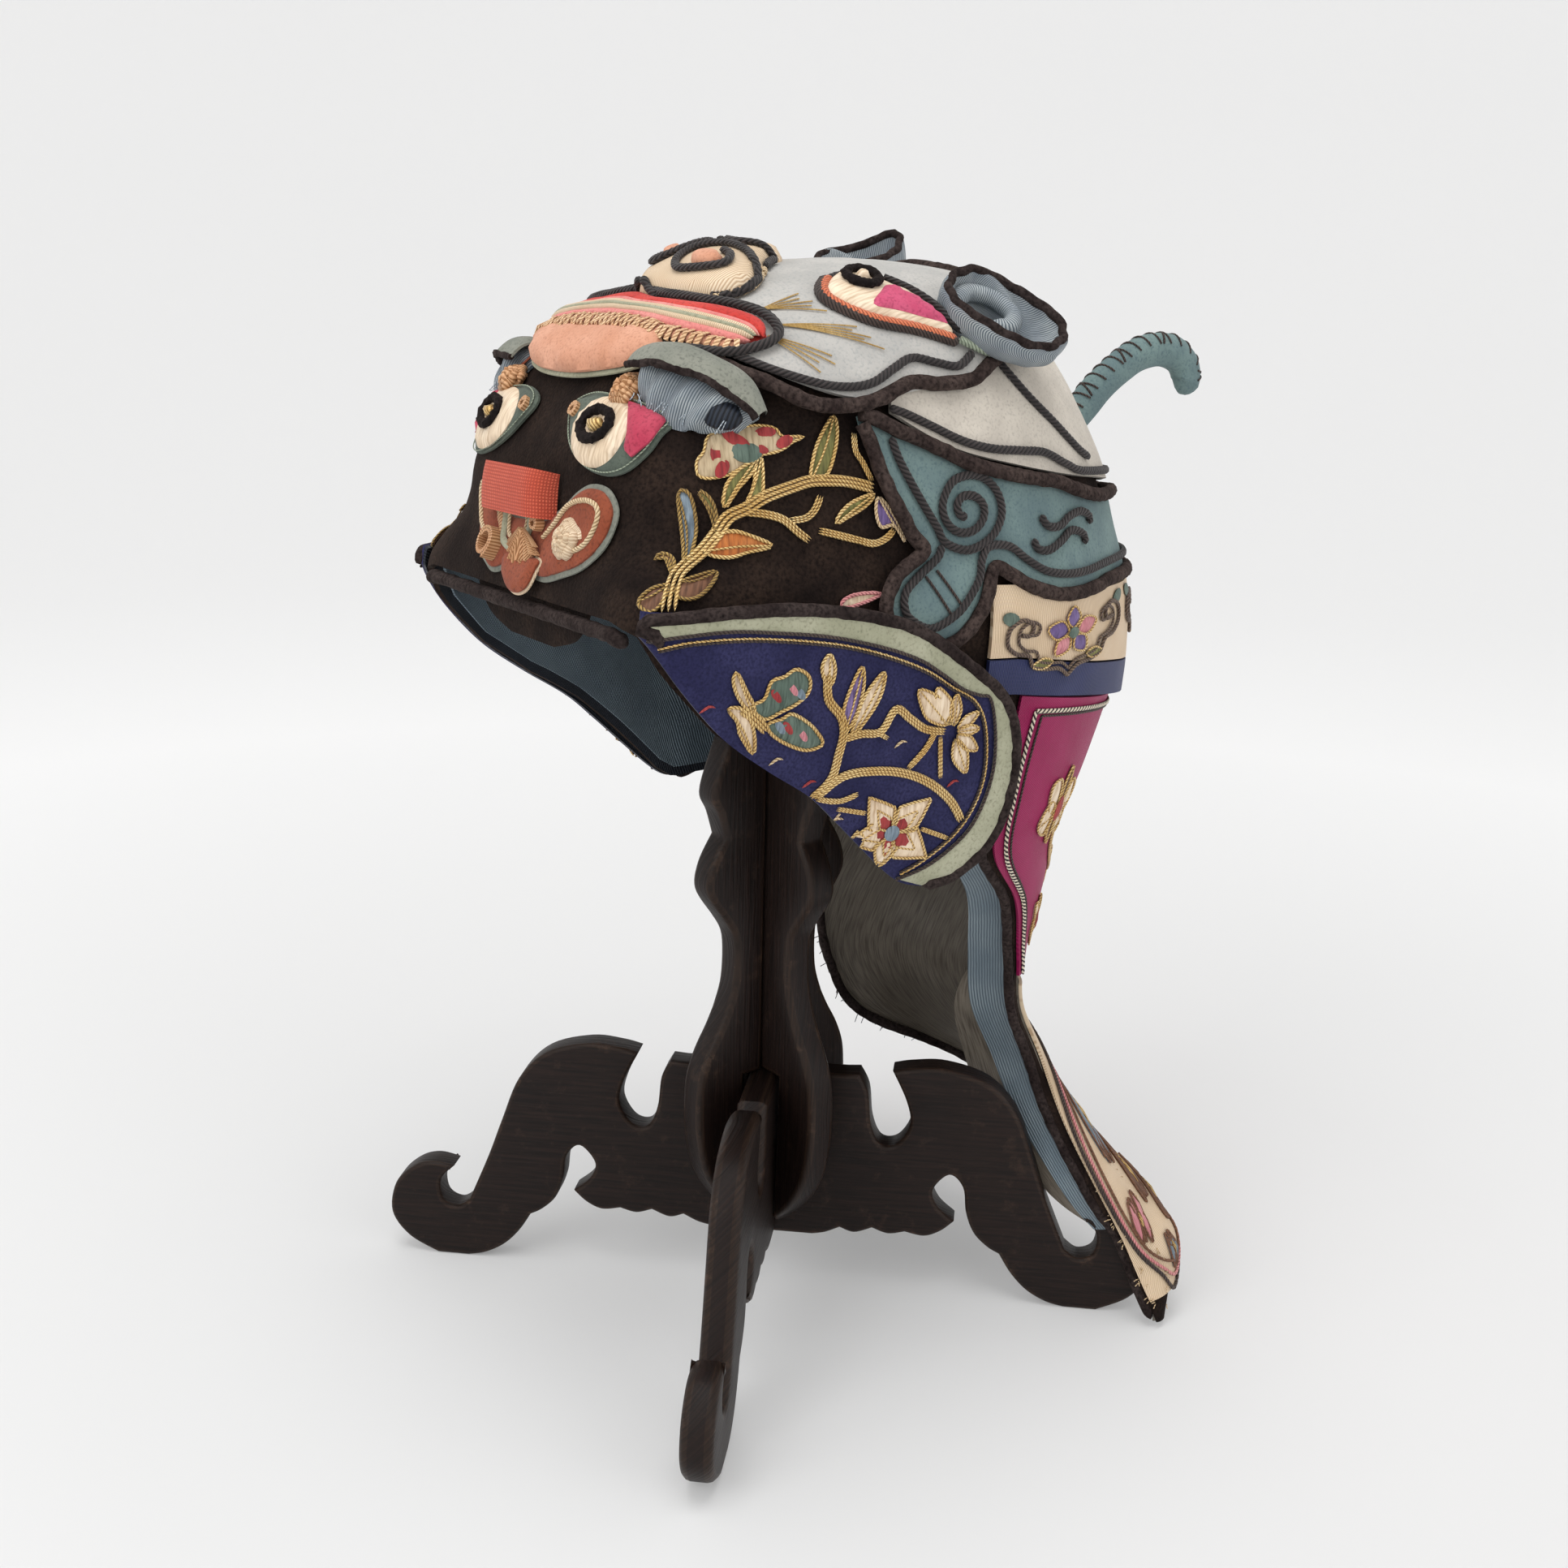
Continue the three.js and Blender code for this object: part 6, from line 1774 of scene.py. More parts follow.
EARS = {  # point by the seat, lift, the cup's up and long way, length, width, height, dip, tilt
    1: ((47.5, 29, 281), 3.4, (0.56, 0.02, 0.82), (0.5, 0.78, -0.38), 17.8, 13.0, 9.5, 0.1, -0.08),
    -1: ((-36, 51, 292), 2.5, (0.0, -0.16, 1.0), (0.4, 0.9, 0.0), 15.0, 11.5, 17.5, 0.14, 0.2)}
for side, (guide, lift, up, long_way, length, width, tall, dip, tilt) in EARS.items():
    ear = Piece(f"ear_{SIDE_NAME[side]}_silk")
    seat = on_crown(np.array([guide], float))
    normal = crown_normal(seat)[0]
    seat = seat[0] + normal * (lift - 1.0)
    up = unit(np.array(up))
    long_way = unit(np.array(long_way) - up * (np.array(long_way) @ up))
    rows = ear_surface(seat, up, long_way, length, width, tall, dip, tilt)
    count = rows.shape[1]
    across = run_along(rows, 1)
    down = measure(rows[:, 0])[:, None] + np.zeros_like(across)
    flat = np.stack([across, down], -1).reshape(-1, 2)
    ear.add(rows.reshape(-1, 3), grid_faces(len(rows), count, wrap=True)
            + [tuple(range(count)), tuple((len(rows) - 1) * count + j for j in range(count))],
            EAR_SILK, flat)
    top_row = int(np.argmax(curve(EAR_WALL, 4)[:30, 1]))
    rim = even(rows[top_row + 1], 0.9, True)
    cord(ear, rim, np.tile(up, (len(rim), 1)), 2.3, 2.7, PIPING, plait="fluff", pitch=2.6,
         relief=0.14, sides=10, closed=True)
    fold = [seat + long_way * length * x + np.cross(up, long_way) * width * y + up * tall * z
            for x, y, z in [(-0.78, -0.3, 0.62), (-0.6, 0.32, 0.8), (-0.2, 0.5, 0.82),
                            (0.14, 0.22, 0.78), (0.1, -0.2, 0.66), (-0.2, -0.3, 0.52)]]
    line = smooth(fold, 0.8)
    cord(ear, line, np.tile(up, (len(line), 1)), 5.2, 4.6, EAR_SILK, plait="fluff", pitch=5,
         relief=0.12, sides=12, taper=4.0)
    made = ear.make("blue_silk", f"ear_{SIDE_NAME[side]}")

# %% [markdown]
# ## The small tiger on the brow
# A second face is sewn on the velvet over the wearer's brow: felt eyes, a linen ribbon for a nose,
# felt lips with a piped loop, and ears made of a felt strip arched over gathered silk. Ribbon
# knots, coils and a small pleated fan finish it. The knots are coiled cords, because that is how
# they are tied; the arched ribbon and strips are thin bands that stand off the ground.

# %% Knots, coils and fans of ribbon


def lifted_sheet(piece, ground, look, faces, shares, row):
    """A thin sheet that stands off a ground. Row gives the flat points and heights at a share of
    its way across, for one of its two faces."""
    grids = [np.stack([ground.onto(*row(share, face))[0] for share in shares]) for face in faces]
    band(piece, *grids, look)
    return grids


def rosette(piece, ground, middle, radius, height, look):
    """A ribbon knot: a cord coiled inwards and upwards, each turn a little crumpled."""
    centre = flat_on(ground, [middle])[0]
    a = np.linspace(0, 2 * math.pi * 3.3, 90)
    share = a / a[-1]
    reach = radius * (1 - 0.78 * share) * (1 + 0.1 * np.sin(5 * a))
    flat = centre + rays(a) * reach[:, None]
    rise = height * (0.25 + 0.75 * np.sqrt(share)) + 0.3 * np.sin(7 * a)
    places, normals = ground.onto(flat, rise)
    cord(piece, places, normals, radius * 0.5, radius * 0.62, look, plait="fluff", pitch=1.6,
         relief=0.25, sides=8, taper=1.0)
    ring = centre + rays(a[:28:2]) * radius * 0.9
    patch(piece, ground, ring, 0.2, height * 0.6, look, crowned=height * 0.4, step=1.6, soft=1.5)


def coil(piece, ground, middle, radius, width, height, look):
    """A ribbon rolled on edge into a ring and a half, standing off the ground."""
    centre = flat_on(ground, [middle])[0]
    a = np.linspace(-1.2, 2 * math.pi * 1.45, 44)
    reach = radius * (1 - 0.42 * (a + 1.2) / (a[-1] + 1.2))
    flat = centre + rays(a) * reach[:, None]

    def row(share, face):
        return flat + (flat - centre) / reach[:, None] * face, height - width / 2 + width * share

    lifted_sheet(piece, ground, look, (0.45, -0.45), (0.0, 0.35, 0.7, 1.0), row)


def fan(piece, ground, middle, radius, first, last, height, look, pleats=9):
    """Ribbon gathered on its inner edge, so that its outer edge ripples."""
    centre = flat_on(ground, [middle])[0]
    a = np.radians(np.linspace(first, last, pleats * 8))

    def row(share, face):
        wavy = radius * share * (1 + 0.05 * share * np.sin(a * pleats * 2.3))
        pleat = np.sin(a * 360 / (last - first) * pleats)
        lift = height * (1 - 0.35 * share) + 0.95 * share * pleat
        return centre + rays(a) * wavy[:, None], lift + face

    lifted_sheet(piece, ground, look, (0.8, 0.0), np.linspace(0.12, 1, 8), row)


EYE_FELT = felt("sage_green_wool_felt", "4f584f", "5d665b", "3c443d")
CRIMSON_FELT = felt("faded_crimson_felt", "b03a52", "c25064", "84283c")
TAN_SILK = silk_cloth("tan_silk_ribbon", ("cd9a70", "deb288", "9f7048"), ribs(0.9), 0.2, 8)
print("ribbon silk:", TAN_SILK.name)

# %% [markdown]
# An eye is a grey-green felt drop with a stitched cream disc on it. A ring of chenille round a gilt
# knot makes the pupil, and a faded crimson wedge the corner. A ribbon knot is tied above it. Each
# layer could be painted on the one below, but as patches of cloth they overlap as they were sewn.

# %% Small eyes
SMALL_EYE = [
    (14.3, -71.8, 264.6), (11.2, -69.7, 268.6), (13.5, -67.9, 271.2), (20.8, -66.4, 272.8),
    (31.6, -66.1, 272.4), (43, -64, 270.6), (51.6, -62.4, 267.8), (50.8, -64.9, 264.2),
    (49.9, -68.3, 259.8), (46, -72.3, 255.3), (38.7, -74.1, 253.8), (28.6, -74.8, 255.6),
    (19.7, -73.8, 259.8)]
SMALL_DISC = [
    (19, -72, 264), (20.6, -69, 268.4), (25.5, -67.5, 271.3), (32.7, -66.9, 271.6),
    (39.2, -67.3, 270.6), (43, -69, 266), (42.4, -71.6, 259.6), (38, -73.4, 255.6),
    (30.8, -74, 255.2), (23, -73.2, 258.2)]
SMALL_WEDGE = [
    (38.5, -67.6, 271.4), (43.9, -66.3, 270.4), (51, -63.9, 267.6), (50.6, -68, 262.6),
    (47.6, -71, 258.6), (44.4, -70.8, 260), (43.4, -70, 264.6)]
RIBBON_ROUTE = [(30, -57, 288), (34.6, -60.5, 284), (37, -64, 280), (36.4, -67.5, 276)]
for side in (1, -1):
    eye = Piece(f"little_eye_{SIDE_NAME[side]}")
    outline = smooth(BROW.flat(mirror(SMALL_EYE, side)), 1.3, True)
    patch(eye, BROW, outline, 0.2, 1.6, EYE_FELT, crowned=0.5, step=2.2, soft=0.9)
    disc = smooth(BROW.flat(mirror(SMALL_DISC, side)), 1.1, True)
    patch(eye, BROW, disc, 1.5, 2.6, CREAM_SATIN, crowned=0.9, step=1.7, soft=0.8)
    wedge = even(BROW.flat(mirror(SMALL_WEDGE, side)), 1.2, True)
    patch(eye, BROW, wedge, 1.9, 3.3, CRIMSON_FELT, crowned=0.4, step=1.7, soft=0.6)
    middle = BROW.flat(mirror([(32.7, -72.2, 265.0)], side))[0]
    ring = oval(middle, 5.2, 3.5, 26)
    sewn_cord(eye, BROW, ring, 4.0, 3.2, 2.6, BLACK_CHENILLE, closed=True, plait="fluff", pitch=1.1,
              relief=0.36, sides=10)
    patch(eye, BROW, middle + (ring - middle) * 0.5, 3.4, 4.4, GOLD_THREAD, crowned=1.0, step=1.0,
          soft=1.0)
    stitch = even(outline + (middle - outline) * 0.05, 0.8, True)
    sewn_cord(eye, BROW, stitch, 1.75, 0.4, 0.35, SAGE_THREAD, closed=True, plait="twist", sides=5)
    rosette(eye, BROW, mirror((35.6, -67, 274.4), side), 4.2, 4.6, TAN_SILK)
    coil(eye, BROW, mirror((15.5, -70, 268), side), 1.7, 1.6, 2.2, TAN_SILK)
    sewn_cord(eye, BROW, mirror(RIBBON_ROUTE, side), 2.6, 2.9, 0.9, RUST_FELT, plait="twist",
              pitch=5, relief=0.1, taper=1.0)
    made = eye.make("cream_silk", f"small_eye_{SIDE_NAME[side]}")

# %% [markdown]
# The nose is a piece of linen ribbon. It bridges the brow between two folded ends, so it stands
# proud and shows its weave. The lips are rust felt lobes with a grey-green edge, and a silk piping
# runs on each lobe in a loop. Between them sit a piped bib, the pleated fan, two coils and the
# tongue, and one lobe wears a cream knot. Thin ribbon could be a plane, but a sheet with two faces
# looks right from below too.

# %% Small nose ribbon
RIBBON_HALF, RIBBON_TOP, RIBBON_LOW, RIBBON_ARCH = 18.8, 254.0, 241.8, 6.4
nose_x, nose_z = np.linspace(-RIBBON_HALF, RIBBON_HALF, 49), np.linspace(RIBBON_TOP, RIBBON_LOW, 13)
arch = RIBBON_ARCH * np.clip(1 - np.abs(nose_x / RIBBON_HALF) ** 7, 0, 1) ** 0.5



def ribbon_row(z, face):
    """Flat points and heights of the nose ribbon at a level, for one of its two faces."""
    level = np.stack([nose_x, np.full_like(nose_x, -80.5), np.full_like(nose_x, z)], -1)
    sag = 0.35 * math.sin((z - RIBBON_LOW) / (RIBBON_TOP - RIBBON_LOW) * math.pi)
    return BROW.flat(level), 0.7 + (arch + sag + face) * (arch > 0) + 0.3 * (face > 0)


bridge = Piece("linen_nose_ribbon")
lifted_sheet(bridge, BROW, CORAL_LINEN, (0.55, -0.55), nose_z, ribbon_row)
BRIDGE = bridge.make("coral_linen", "small_nose")

# %% Small mouth, fan, knot, coil and tongue
LOBE = [
    (3, -82.5, 228), (12, -82.6, 226.2), (20, -82.4, 225.8), (27.9, -81.3, 227.7),
    (37.6, -80.3, 230.9), (44.1, -77.9, 236.1), (46.4, -75.5, 242.1), (46.3, -74.5, 247),
    (42, -74.6, 251.1), (35.3, -75.8, 251.8), (28.9, -76.6, 249.5), (21.9, -77.3, 245.3),
    (14, -78.5, 242), (5, -79, 241.4)]
PIPED_LOOP = [
    (16.5, -79.6, 236.4), (21.8, -78.9, 240.8), (28.3, -78.1, 246), (35.9, -77.2, 248),
    (41.4, -76.4, 246.8), (42.1, -76.9, 242.8), (39.4, -78.9, 237.1), (33.6, -80.3, 234.4),
    (28.5, -80.6, 235)]
BIB = [(8, -80, 244), (8, -81, 237), (6, -82, 233), (0, -82.4, 231.8)]
lips = Piece("little_mouth")
FAR_LOBE = 0.62  # the lobe on the wearer's right has curled up with age, so it is shorter
whole = [*LOBE, *[(-FAR_LOBE * x, y, z - 0.06 * x) for x, y, z in LOBE[::-1]]]
outline = smooth(BROW.flat(whole), 1.3, True)
patch(lips, BROW, outline, 0.2, 1.2, GREY_GREEN_FELT, step=2.4, soft=0.8)
patch(lips, BROW, drawn_in(outline, 1.15), 1.0, 2.2, RUST_FELT, crowned=0.4, step=2.0,
      soft=0.9)
for reach in (1, -FAR_LOBE):
    sewn_cord(lips, BROW, mirror(PIPED_LOOP, reach), 2.7, 1.4, 1.4, CREAM_THREAD, plait="twist")
    if reach > 0:
        rosette(lips, BROW, (31.5, -82.8, 237.6), 5.0, 4.8, CREAM_SILK)
for shrink, look, width in ((1.0, SAGE_FELT, 2.3), (0.72, CREAM_THREAD, 1.3)):
    bib = mirror([*mirror(BIB, -1), *BIB[-2::-1]], shrink) + [0, 0, 2.4 * (1 - shrink) / 0.28]
    sewn_cord(lips, BROW, bib, 2.9, width, width * 0.8, look, plait="twist", pitch=2.5,
              relief=0.08)
coil(lips, BROW, (-12.6, -82.7, 231.8), 4.3, 3.6, 4.0, TAN_SILK)
coil(lips, BROW, (14.5, -83.1, 240.6), 1.9, 2.4, 4.0, TAN_SILK)
sewn_cord(lips, BROW, [(-12.6, -81, 241), (-9.6, -82, 237), (-9.2, -83, 234.6)], 3.2, 3.2, 0.9,
          TAN_SILK, plait="twist", pitch=5, relief=0.08, taper=1.0)
fan(lips, BROW, (9, -82, 239), 10.2, 212, 328, 5.4, TAN_SILK)
LIPS_MADE = lips.make("rust_felt", "small_mouth")
SMALL_TONGUE = [
    (-1, -81.8, 230.5), (-0.6, -82.6, 225.6), (4, -83.2, 222.2), (10, -83.3, 221.2),
    (16, -82.8, 223.2), (18.6, -81.8, 227.6), (18, -81.2, 231)]
lick = Piece("little_tongue")
outline = smooth(BROW.flat(SMALL_TONGUE), 1.1, True)
patch(lick, BROW, outline, 2.2, 3.0, CREAM_SILK, step=2.0, soft=0.6)
patch(lick, BROW, drawn_in(outline, 0.5), 2.9, 4.0, RUST_FELT, crowned=0.5, step=1.6,
      soft=0.8)
lick.make("peach_felt", "small_tongue")

# %% [markdown]
# A small ear is a strip of grey-green felt that arches over a pad of gathered blue silk, like an
# awning. The strip's free edge is raw and dark. Its arch is a half wave that flattens at both ends.
# A raised patch of blue-black silk at the outer end is painted shade for the dark hollow under the
# arch.

# %% Small ears
EAR_BACK = [
    (33, -58.5, 284.5), (38, -56.5, 286.2), (45, -54, 285.2), (53, -50.5, 282.4),
    (59.5, -46.5, 278.6), (64.4, -46, 272.6)]
EAR_FRONT = [
    (35.6, -66.4, 279), (42, -65.4, 278.2), (48.7, -62.8, 276.8), (55, -59, 275),
    (60.4, -54.5, 272.4), (64.2, -50.4, 269)]
EAR_LOW = [
    (37.4, -66.8, 277), (42, -67.8, 273.4), (48.7, -68, 269.6), (55, -65.6, 267.4),
    (60.6, -60, 267), (64, -54, 267.4)]
s = np.linspace(0, 1, 45)  # places along an ear, from its inner to its outer end
swell = 0.45 + 0.55 * np.clip(np.sin(math.pi * (0.06 + 0.9 * s)), 0, 1) ** 0.6
ends = np.clip(np.minimum(s, 1 - s) * 7, 0, 1) ** 0.5


def ear_edge(guides, side):
    """Flat points along one edge of a small ear."""
    line = smooth(BROW.flat(mirror(guides, side)), 1.0)
    return read_off(s, np.linspace(0, 1, len(line)), line)


for side in (1, -1):
    ear = Piece(f"little_ear_{SIDE_NAME[side]}")
    hinge, lip, low = (ear_edge(line, side) for line in (EAR_BACK, EAR_FRONT, EAR_LOW))

    def awning(v, face):
        bow = (10.2 + face) * math.sin(min(v * 1.12, 1) * math.pi / 2 + 0.12 * v) * swell
        ruffle = 0.35 * v * np.sin(s * 19 + 2 * v)
        return (hinge + (lip - hinge) * (v ** 1.7 * 0.92 + 0.08 * v),
                np.maximum(bow + ruffle, 0.3 + face * 0.2))

    def gathers(v, face):
        pleats = 0.9 * np.sin(s * 34 + 3 * v) + 0.6 * np.sin(s * 13 - 2 * v)
        puff = (5.6 * math.sin(math.pi * (0.2 + 0.8 * v)) ** 0.7 * ends
                + pleats * (0.4 + v) * ends)
        return (hinge + (low - hinge) * (0.25 + 0.75 * v),
                np.maximum(puff + face + 0.7, 0.3 + face * 0.2))

    top, under = lifted_sheet(ear, BROW, GREY_GREEN_FELT, (0.0, -1.1), np.linspace(0, 1, 14),
                              awning)
    raw_edge = (top[-1] + under[-1]) / 2
    line = even(raw_edge, 0.8)
    cord(ear, line, np.tile(crown_normal(line[20:21])[0], (len(line), 1)), 1.9, 2.1, PIPING,
         plait="fluff", pitch=1.6, relief=0.3, sides=8)
    lifted_sheet(ear, BROW, EAR_SILK, (0.0, -1.0), np.linspace(0, 1, 16), gathers)
    # Painted shade: a blue-black silk patch at the outer end stands for the dark hollow under the
    # arch.
    end = BROW.flat(mirror([(60.6, -56.6, 270.2)], side))[0]
    patch(ear, BROW, oval(end, 4.2, 3.6, 16), 3.0, 5.4, NIGHT_SILK, crowned=0.9, step=1.8,
          soft=1.0)
    made = ear.make("blue_silk", f"small_ear_{SIDE_NAME[side]}")

# %% [markdown]
# ## Gilt embroidery
# The vine, the flap flowers and the scrolls are couched work: a gilt cord is laid on the cloth
# along each outline and caught down with tiny stitches, and the shape inside is filled with satin
# stitch. So one helper does both: a very thin crowned patch for the filling and a cord round it.
# Stems are three gilt cords side by side. Nothing is painted on; every line has its own thickness.

# %% Couched outlines with satin-stitch filling


def leaf_shape(piece, ground, guides, fill, edge, lift=0.3, width=0.95, vein=True,
               pointed=False):
    """A filled and outlined shape. A pointed one keeps its corners."""
    flat = flat_on(ground, guides)
    outline = even(flat if pointed else curve(flat, 8, True), 0.9, True)
    patch(piece, ground, drawn_in(outline, 0.15), lift - 0.25, lift + 0.4, fill, crowned=0.35,
          step=1.8, soft=0.6)
    sewn_cord(piece, ground, outline, lift + 0.35, width, width * 0.85, edge, closed=True,
              plait="twist", pitch=1.5, sides=6, step=0.8)
    if vein:
        tip = flat[np.argmax(np.linalg.norm(flat - flat[0], axis=1))]
        halfway = (flat[0] + tip) / 2
        line = np.stack([flat[0], halfway + (flat.mean(0) - halfway) * 0.5, tip])
        sewn_cord(piece, ground, line, lift + 0.75, width * 0.6, width * 0.5, edge,
                  plait="twist", pitch=1.5, sides=5, step=0.9, taper=2.0)


def stem(piece, ground, guides, look, lift=0.6, width=1.9, double=True):
    """A stem of one gilt cord, or of three laid side by side."""
    line = smooth(flat_on(ground, guides), 0.8)
    along = unit(np.gradient(line, axis=0))
    aside = np.stack([-along[:, 1], along[:, 0]], -1)
    for shift in ((-0.34, 0.0, 0.34) if double else (0.0,)):
        size = width * (0.42 if double else 1.0)
        sewn_cord(piece, ground, line + aside * shift * width, lift, size, size * 1.1, look,
                  plait="twist", pitch=1.3, relief=0.1, sides=6, step=0.9, taper=1.2)


# %% The vine on each side of the hood
VINE_STEMS = [
    ([(69.2, -72.6, 224.9), (66.6, -70.1, 231.3), (65.6, -67.6, 234.1), (65.7, -63.4, 237.4),
      (65, -58.6, 241.5), (65, -55.1, 245.8), (65.8, -50.5, 247.9), (66.1, -45.6, 250.4),
      (66.8, -38.2, 252.9), (66.9, -33.1, 254.1), (67.2, -26.3, 254), (67.5, -21, 253.4),
      (68, -15.2, 252)], 2.4),
    ([(65.9, -51, 247), (66.9, -46, 246.5), (67.9, -41.3, 245.1), (69, -37.7, 242),
      (69.6, -34.8, 239.9)], 1.6),
    ([(68.2, -39.9, 244.9), (68.5, -35.4, 245.4), (68.3, -32.6, 247.5), (67.8, -30.8, 250.6)], 1.4),
    ([(69.3, -32.1, 242.3), (69.8, -26.4, 241), (70.1, -21.1, 239.7), (70.3, -16.2, 238.6),
      (70.1, -12.2, 239.8), (69.7, -9.7, 241.9)], 1.6),
    ([(64.3, -19.2, 265.2), (65.8, -19.5, 260.9), (66.6, -17.8, 258.2), (67.6, -15.6, 253.7)], 1.3),
]
VINE_LEAVES = [
    ([(65.6, -67.1, 234.5), (61.2, -65.5, 242.7), (58.4, -64.6, 251.1), (60, -62.4, 250.8),
      (62.4, -62.2, 244.4), (64.1, -64.1, 238.6)], BLUE_STITCH, DULL_GOLD),
    ([(64.9, -58.5, 241.9), (63.8, -58.2, 246.2), (60.8, -60.8, 251.6), (62.6, -58.8, 250.4),
      (64, -57.6, 246.2)], OLIVE_STITCH, DULL_GOLD),
    ([(65.9, -62.1, 237.8), (65.2, -58.2, 241.5), (66.4, -53.8, 242.6), (68.5, -46.8, 240.1),
      (69.1, -45.3, 239), (68.9, -52.1, 237.7), (68, -56.7, 236.5)], ORANGE_STITCH, GOLD_THREAD),
    ([(67.5, -69.3, 231), (68.4, -65.4, 232.6), (68.9, -60.2, 233.5), (70.2, -62.9, 230.1),
      (70.4, -66.9, 227.7), (68.9, -70.6, 228.2)], BROWN_STITCH, DULL_GOLD),
    ([(65.7, -70.4, 232.1), (62.4, -69.6, 236), (60, -71.7, 235.8), (60.4, -70, 237.3),
      (63.1, -68.5, 236)], BROWN_STITCH, DULL_GOLD),
    ([(66.7, -71.3, 230.5), (64.8, -75.2, 229.6), (64, -77.7, 226.4), (67.6, -75.7, 224.8),
      (67.8, -72.9, 228.2)], BROWN_STITCH, DULL_GOLD),
    ([(63.5, -46.8, 258.9), (63.1, -51.1, 256.8), (63.2, -54.6, 253), (64.2, -55.7, 247.9),
      (64.2, -51.7, 252.6), (64.2, -47.6, 256.8)], OLIVE_STITCH, GOLD_THREAD),
    ([(65.6, -50.4, 248.7), (65, -48.1, 253), (63.8, -46.9, 258.1), (63.5, -45.3, 259.8),
      (65.1, -45.6, 254.7), (65.9, -46.5, 250.4)], OLIVE_STITCH, GOLD_THREAD),
    ([(66.8, -33, 254.5), (65.5, -31.7, 259.7), (64.1, -28.9, 264.4), (62.6, -24.3, 269.2),
      (64.1, -24, 265.3), (65.9, -26.1, 259.6), (66.8, -28.7, 255.3)], OLIVE_STITCH, GOLD_THREAD),
    ([(68.2, -15.3, 250.6), (68.5, -21.5, 249), (68.9, -25.4, 246.5), (69.3, -27, 243.9),
      (69.1, -23.4, 245.3), (68.7, -17.7, 248)], OLIVE_STITCH, GOLD_THREAD),
    ([(68.4, -14.2, 249.7), (69, -15, 246.1), (69.6, -13.6, 242.5), (69.6, -9.7, 242.8),
      (70.3, -6.6, 238.6), (69.5, -8.5, 243.2), (68.7, -11.6, 247.8)], PURPLE_STITCH, CREAM_THREAD),
]
VINE_FLOWER = [
    (57.6, -56.2, 264.3), (58.6, -58.2, 260.5), (58.4, -59.8, 258.8), (59.6, -60.2, 255.4),
    (61.3, -58.1, 254.7), (62.6, -53.8, 255.5), (63.2, -49.2, 258.1), (63.3, -46.6, 259.8),
    (64, -40.4, 261.1), (63.9, -36.7, 263.2), (63.9, -33.5, 264.5), (62.9, -39.3, 264.5),
    (62, -40.3, 266.2), (60.8, -45.3, 267), (58.9, -51.9, 265.7)]
FLOWER_SPOTS = [
    (60.2, -55.6, 260.2), (60.9, -49.9, 263.2), (61.9, -43.3, 265.3), (61.7, -54.9, 256.8),
    (59.8, -52, 264.4), (62.8, -46, 261.6), (63.2, -38.6, 263)]


def spot(piece, ground, middle, size, fill, lift, stretch=1.0, turn=0.0):
    """A small raised oval of stitches."""
    centre = flat_on(ground, [middle])[0]
    c, s = math.cos(turn), math.sin(turn)
    turned = oval((0, 0), size, size * stretch, 12) @ np.array([[c, s], [-s, c]])
    patch(piece, ground, centre + turned, lift, lift + 0.35, fill, crowned=0.3, step=1.3,
          soft=0.5)


for side in (1, -1):
    vine = Piece(f"gilt_vine_{SIDE_NAME[side]}")
    ground = SIDE[side]
    for guides, width in VINE_STEMS:
        stem(vine, ground, mirror(guides, side), GOLD_THREAD, width=width)
    for guides, fill, edge in VINE_LEAVES:
        leaf_shape(vine, ground, mirror(guides, side), fill, edge)
    leaf_shape(vine, ground, mirror(VINE_FLOWER, side), AGED_STITCH, GOLD_THREAD, width=0.7,
               vein=False)
    for i, middle in enumerate(FLOWER_SPOTS):
        spot(vine, ground, mirror(middle, side), 1.0, RED_STITCH, 0.75, 1.9, i * 0.9)
    spot(vine, ground, mirror((62.2, -48.6, 260.6), side), 2.6, GREEN_STITCH, 0.8, 0.8)
    leaf_shape(vine, ground, mirror([(73.3, -27.6, 224), (72.9, -25.7, 225.9), (72.9, -20.8, 226.7),
                                     (73.1, -15.4, 226.2), (73.4, -23.8, 223.8)], side),
               CREAM_SATIN, PINK_THREAD, vein=False)
    vine.make("cream_silk")

# %% [markdown]
# The flaps carry a butterfly, a branching plant with lilies and a blossom, and a star flower, in
# the same couched work. A chain of gilt and dark loops runs inside the felt border. The places are
# written as y and z on the flap, and both flaps are worked alike.

# %% Flap embroidery
CHAIN = [
    (-77, 216.8), (-69.5, 218.4), (-53.8, 218.4), (-33.1, 215.9), (-18.6, 212.4), (-5, 207.4),
    (4, 202.2), (12, 197.6), (16.4, 190), (18.2, 178.3), (16.2, 168.6), (11.2, 161), (3.2, 154.9),
    (-3, 151.6)]
FLAP_STEMS = [
    ([(-32.9, 176.1), (-28.5, 181.1), (-27.5, 187.7), (-27, 192.9), (-28.4, 197.5), (-32.6, 202.3),
      (-33.6, 208.7)], 2.2),
    ([(-26.8, 191.5), (-21.8, 192.4), (-16, 192.5), (-12.4, 198), (-7.5, 195), (-2.5, 191.9),
      (3.8, 190.6)], 2.0),
    ([(-17.5, 192.6), (-13.4, 190.3)], 1.2),
    ([(-31.7, 176.6), (-25, 181.4), (-15.6, 181.8), (-6.5, 180.2), (1.6, 176.6), (8.7, 171),
      (13.2, 164.9)], 2.2),
    ([(-6, 181.5), (-1.5, 186.4), (0.7, 190.9)], 1.6),
    ([(-31.5, 175.9), (-25.1, 174.6), (-19.8, 176.1)], 1.4),
    ([(-25.3, 172.5), (-16.5, 170.3)], 1.2), ([(0.6, 164.2), (9.8, 160.3)], 1.2),
    ([(2.5, 189.4), (4.5, 177.7)], 1.2), ([(-56.5, 201.9), (-52.6, 199), (-49, 195.6)], 2.4),
]
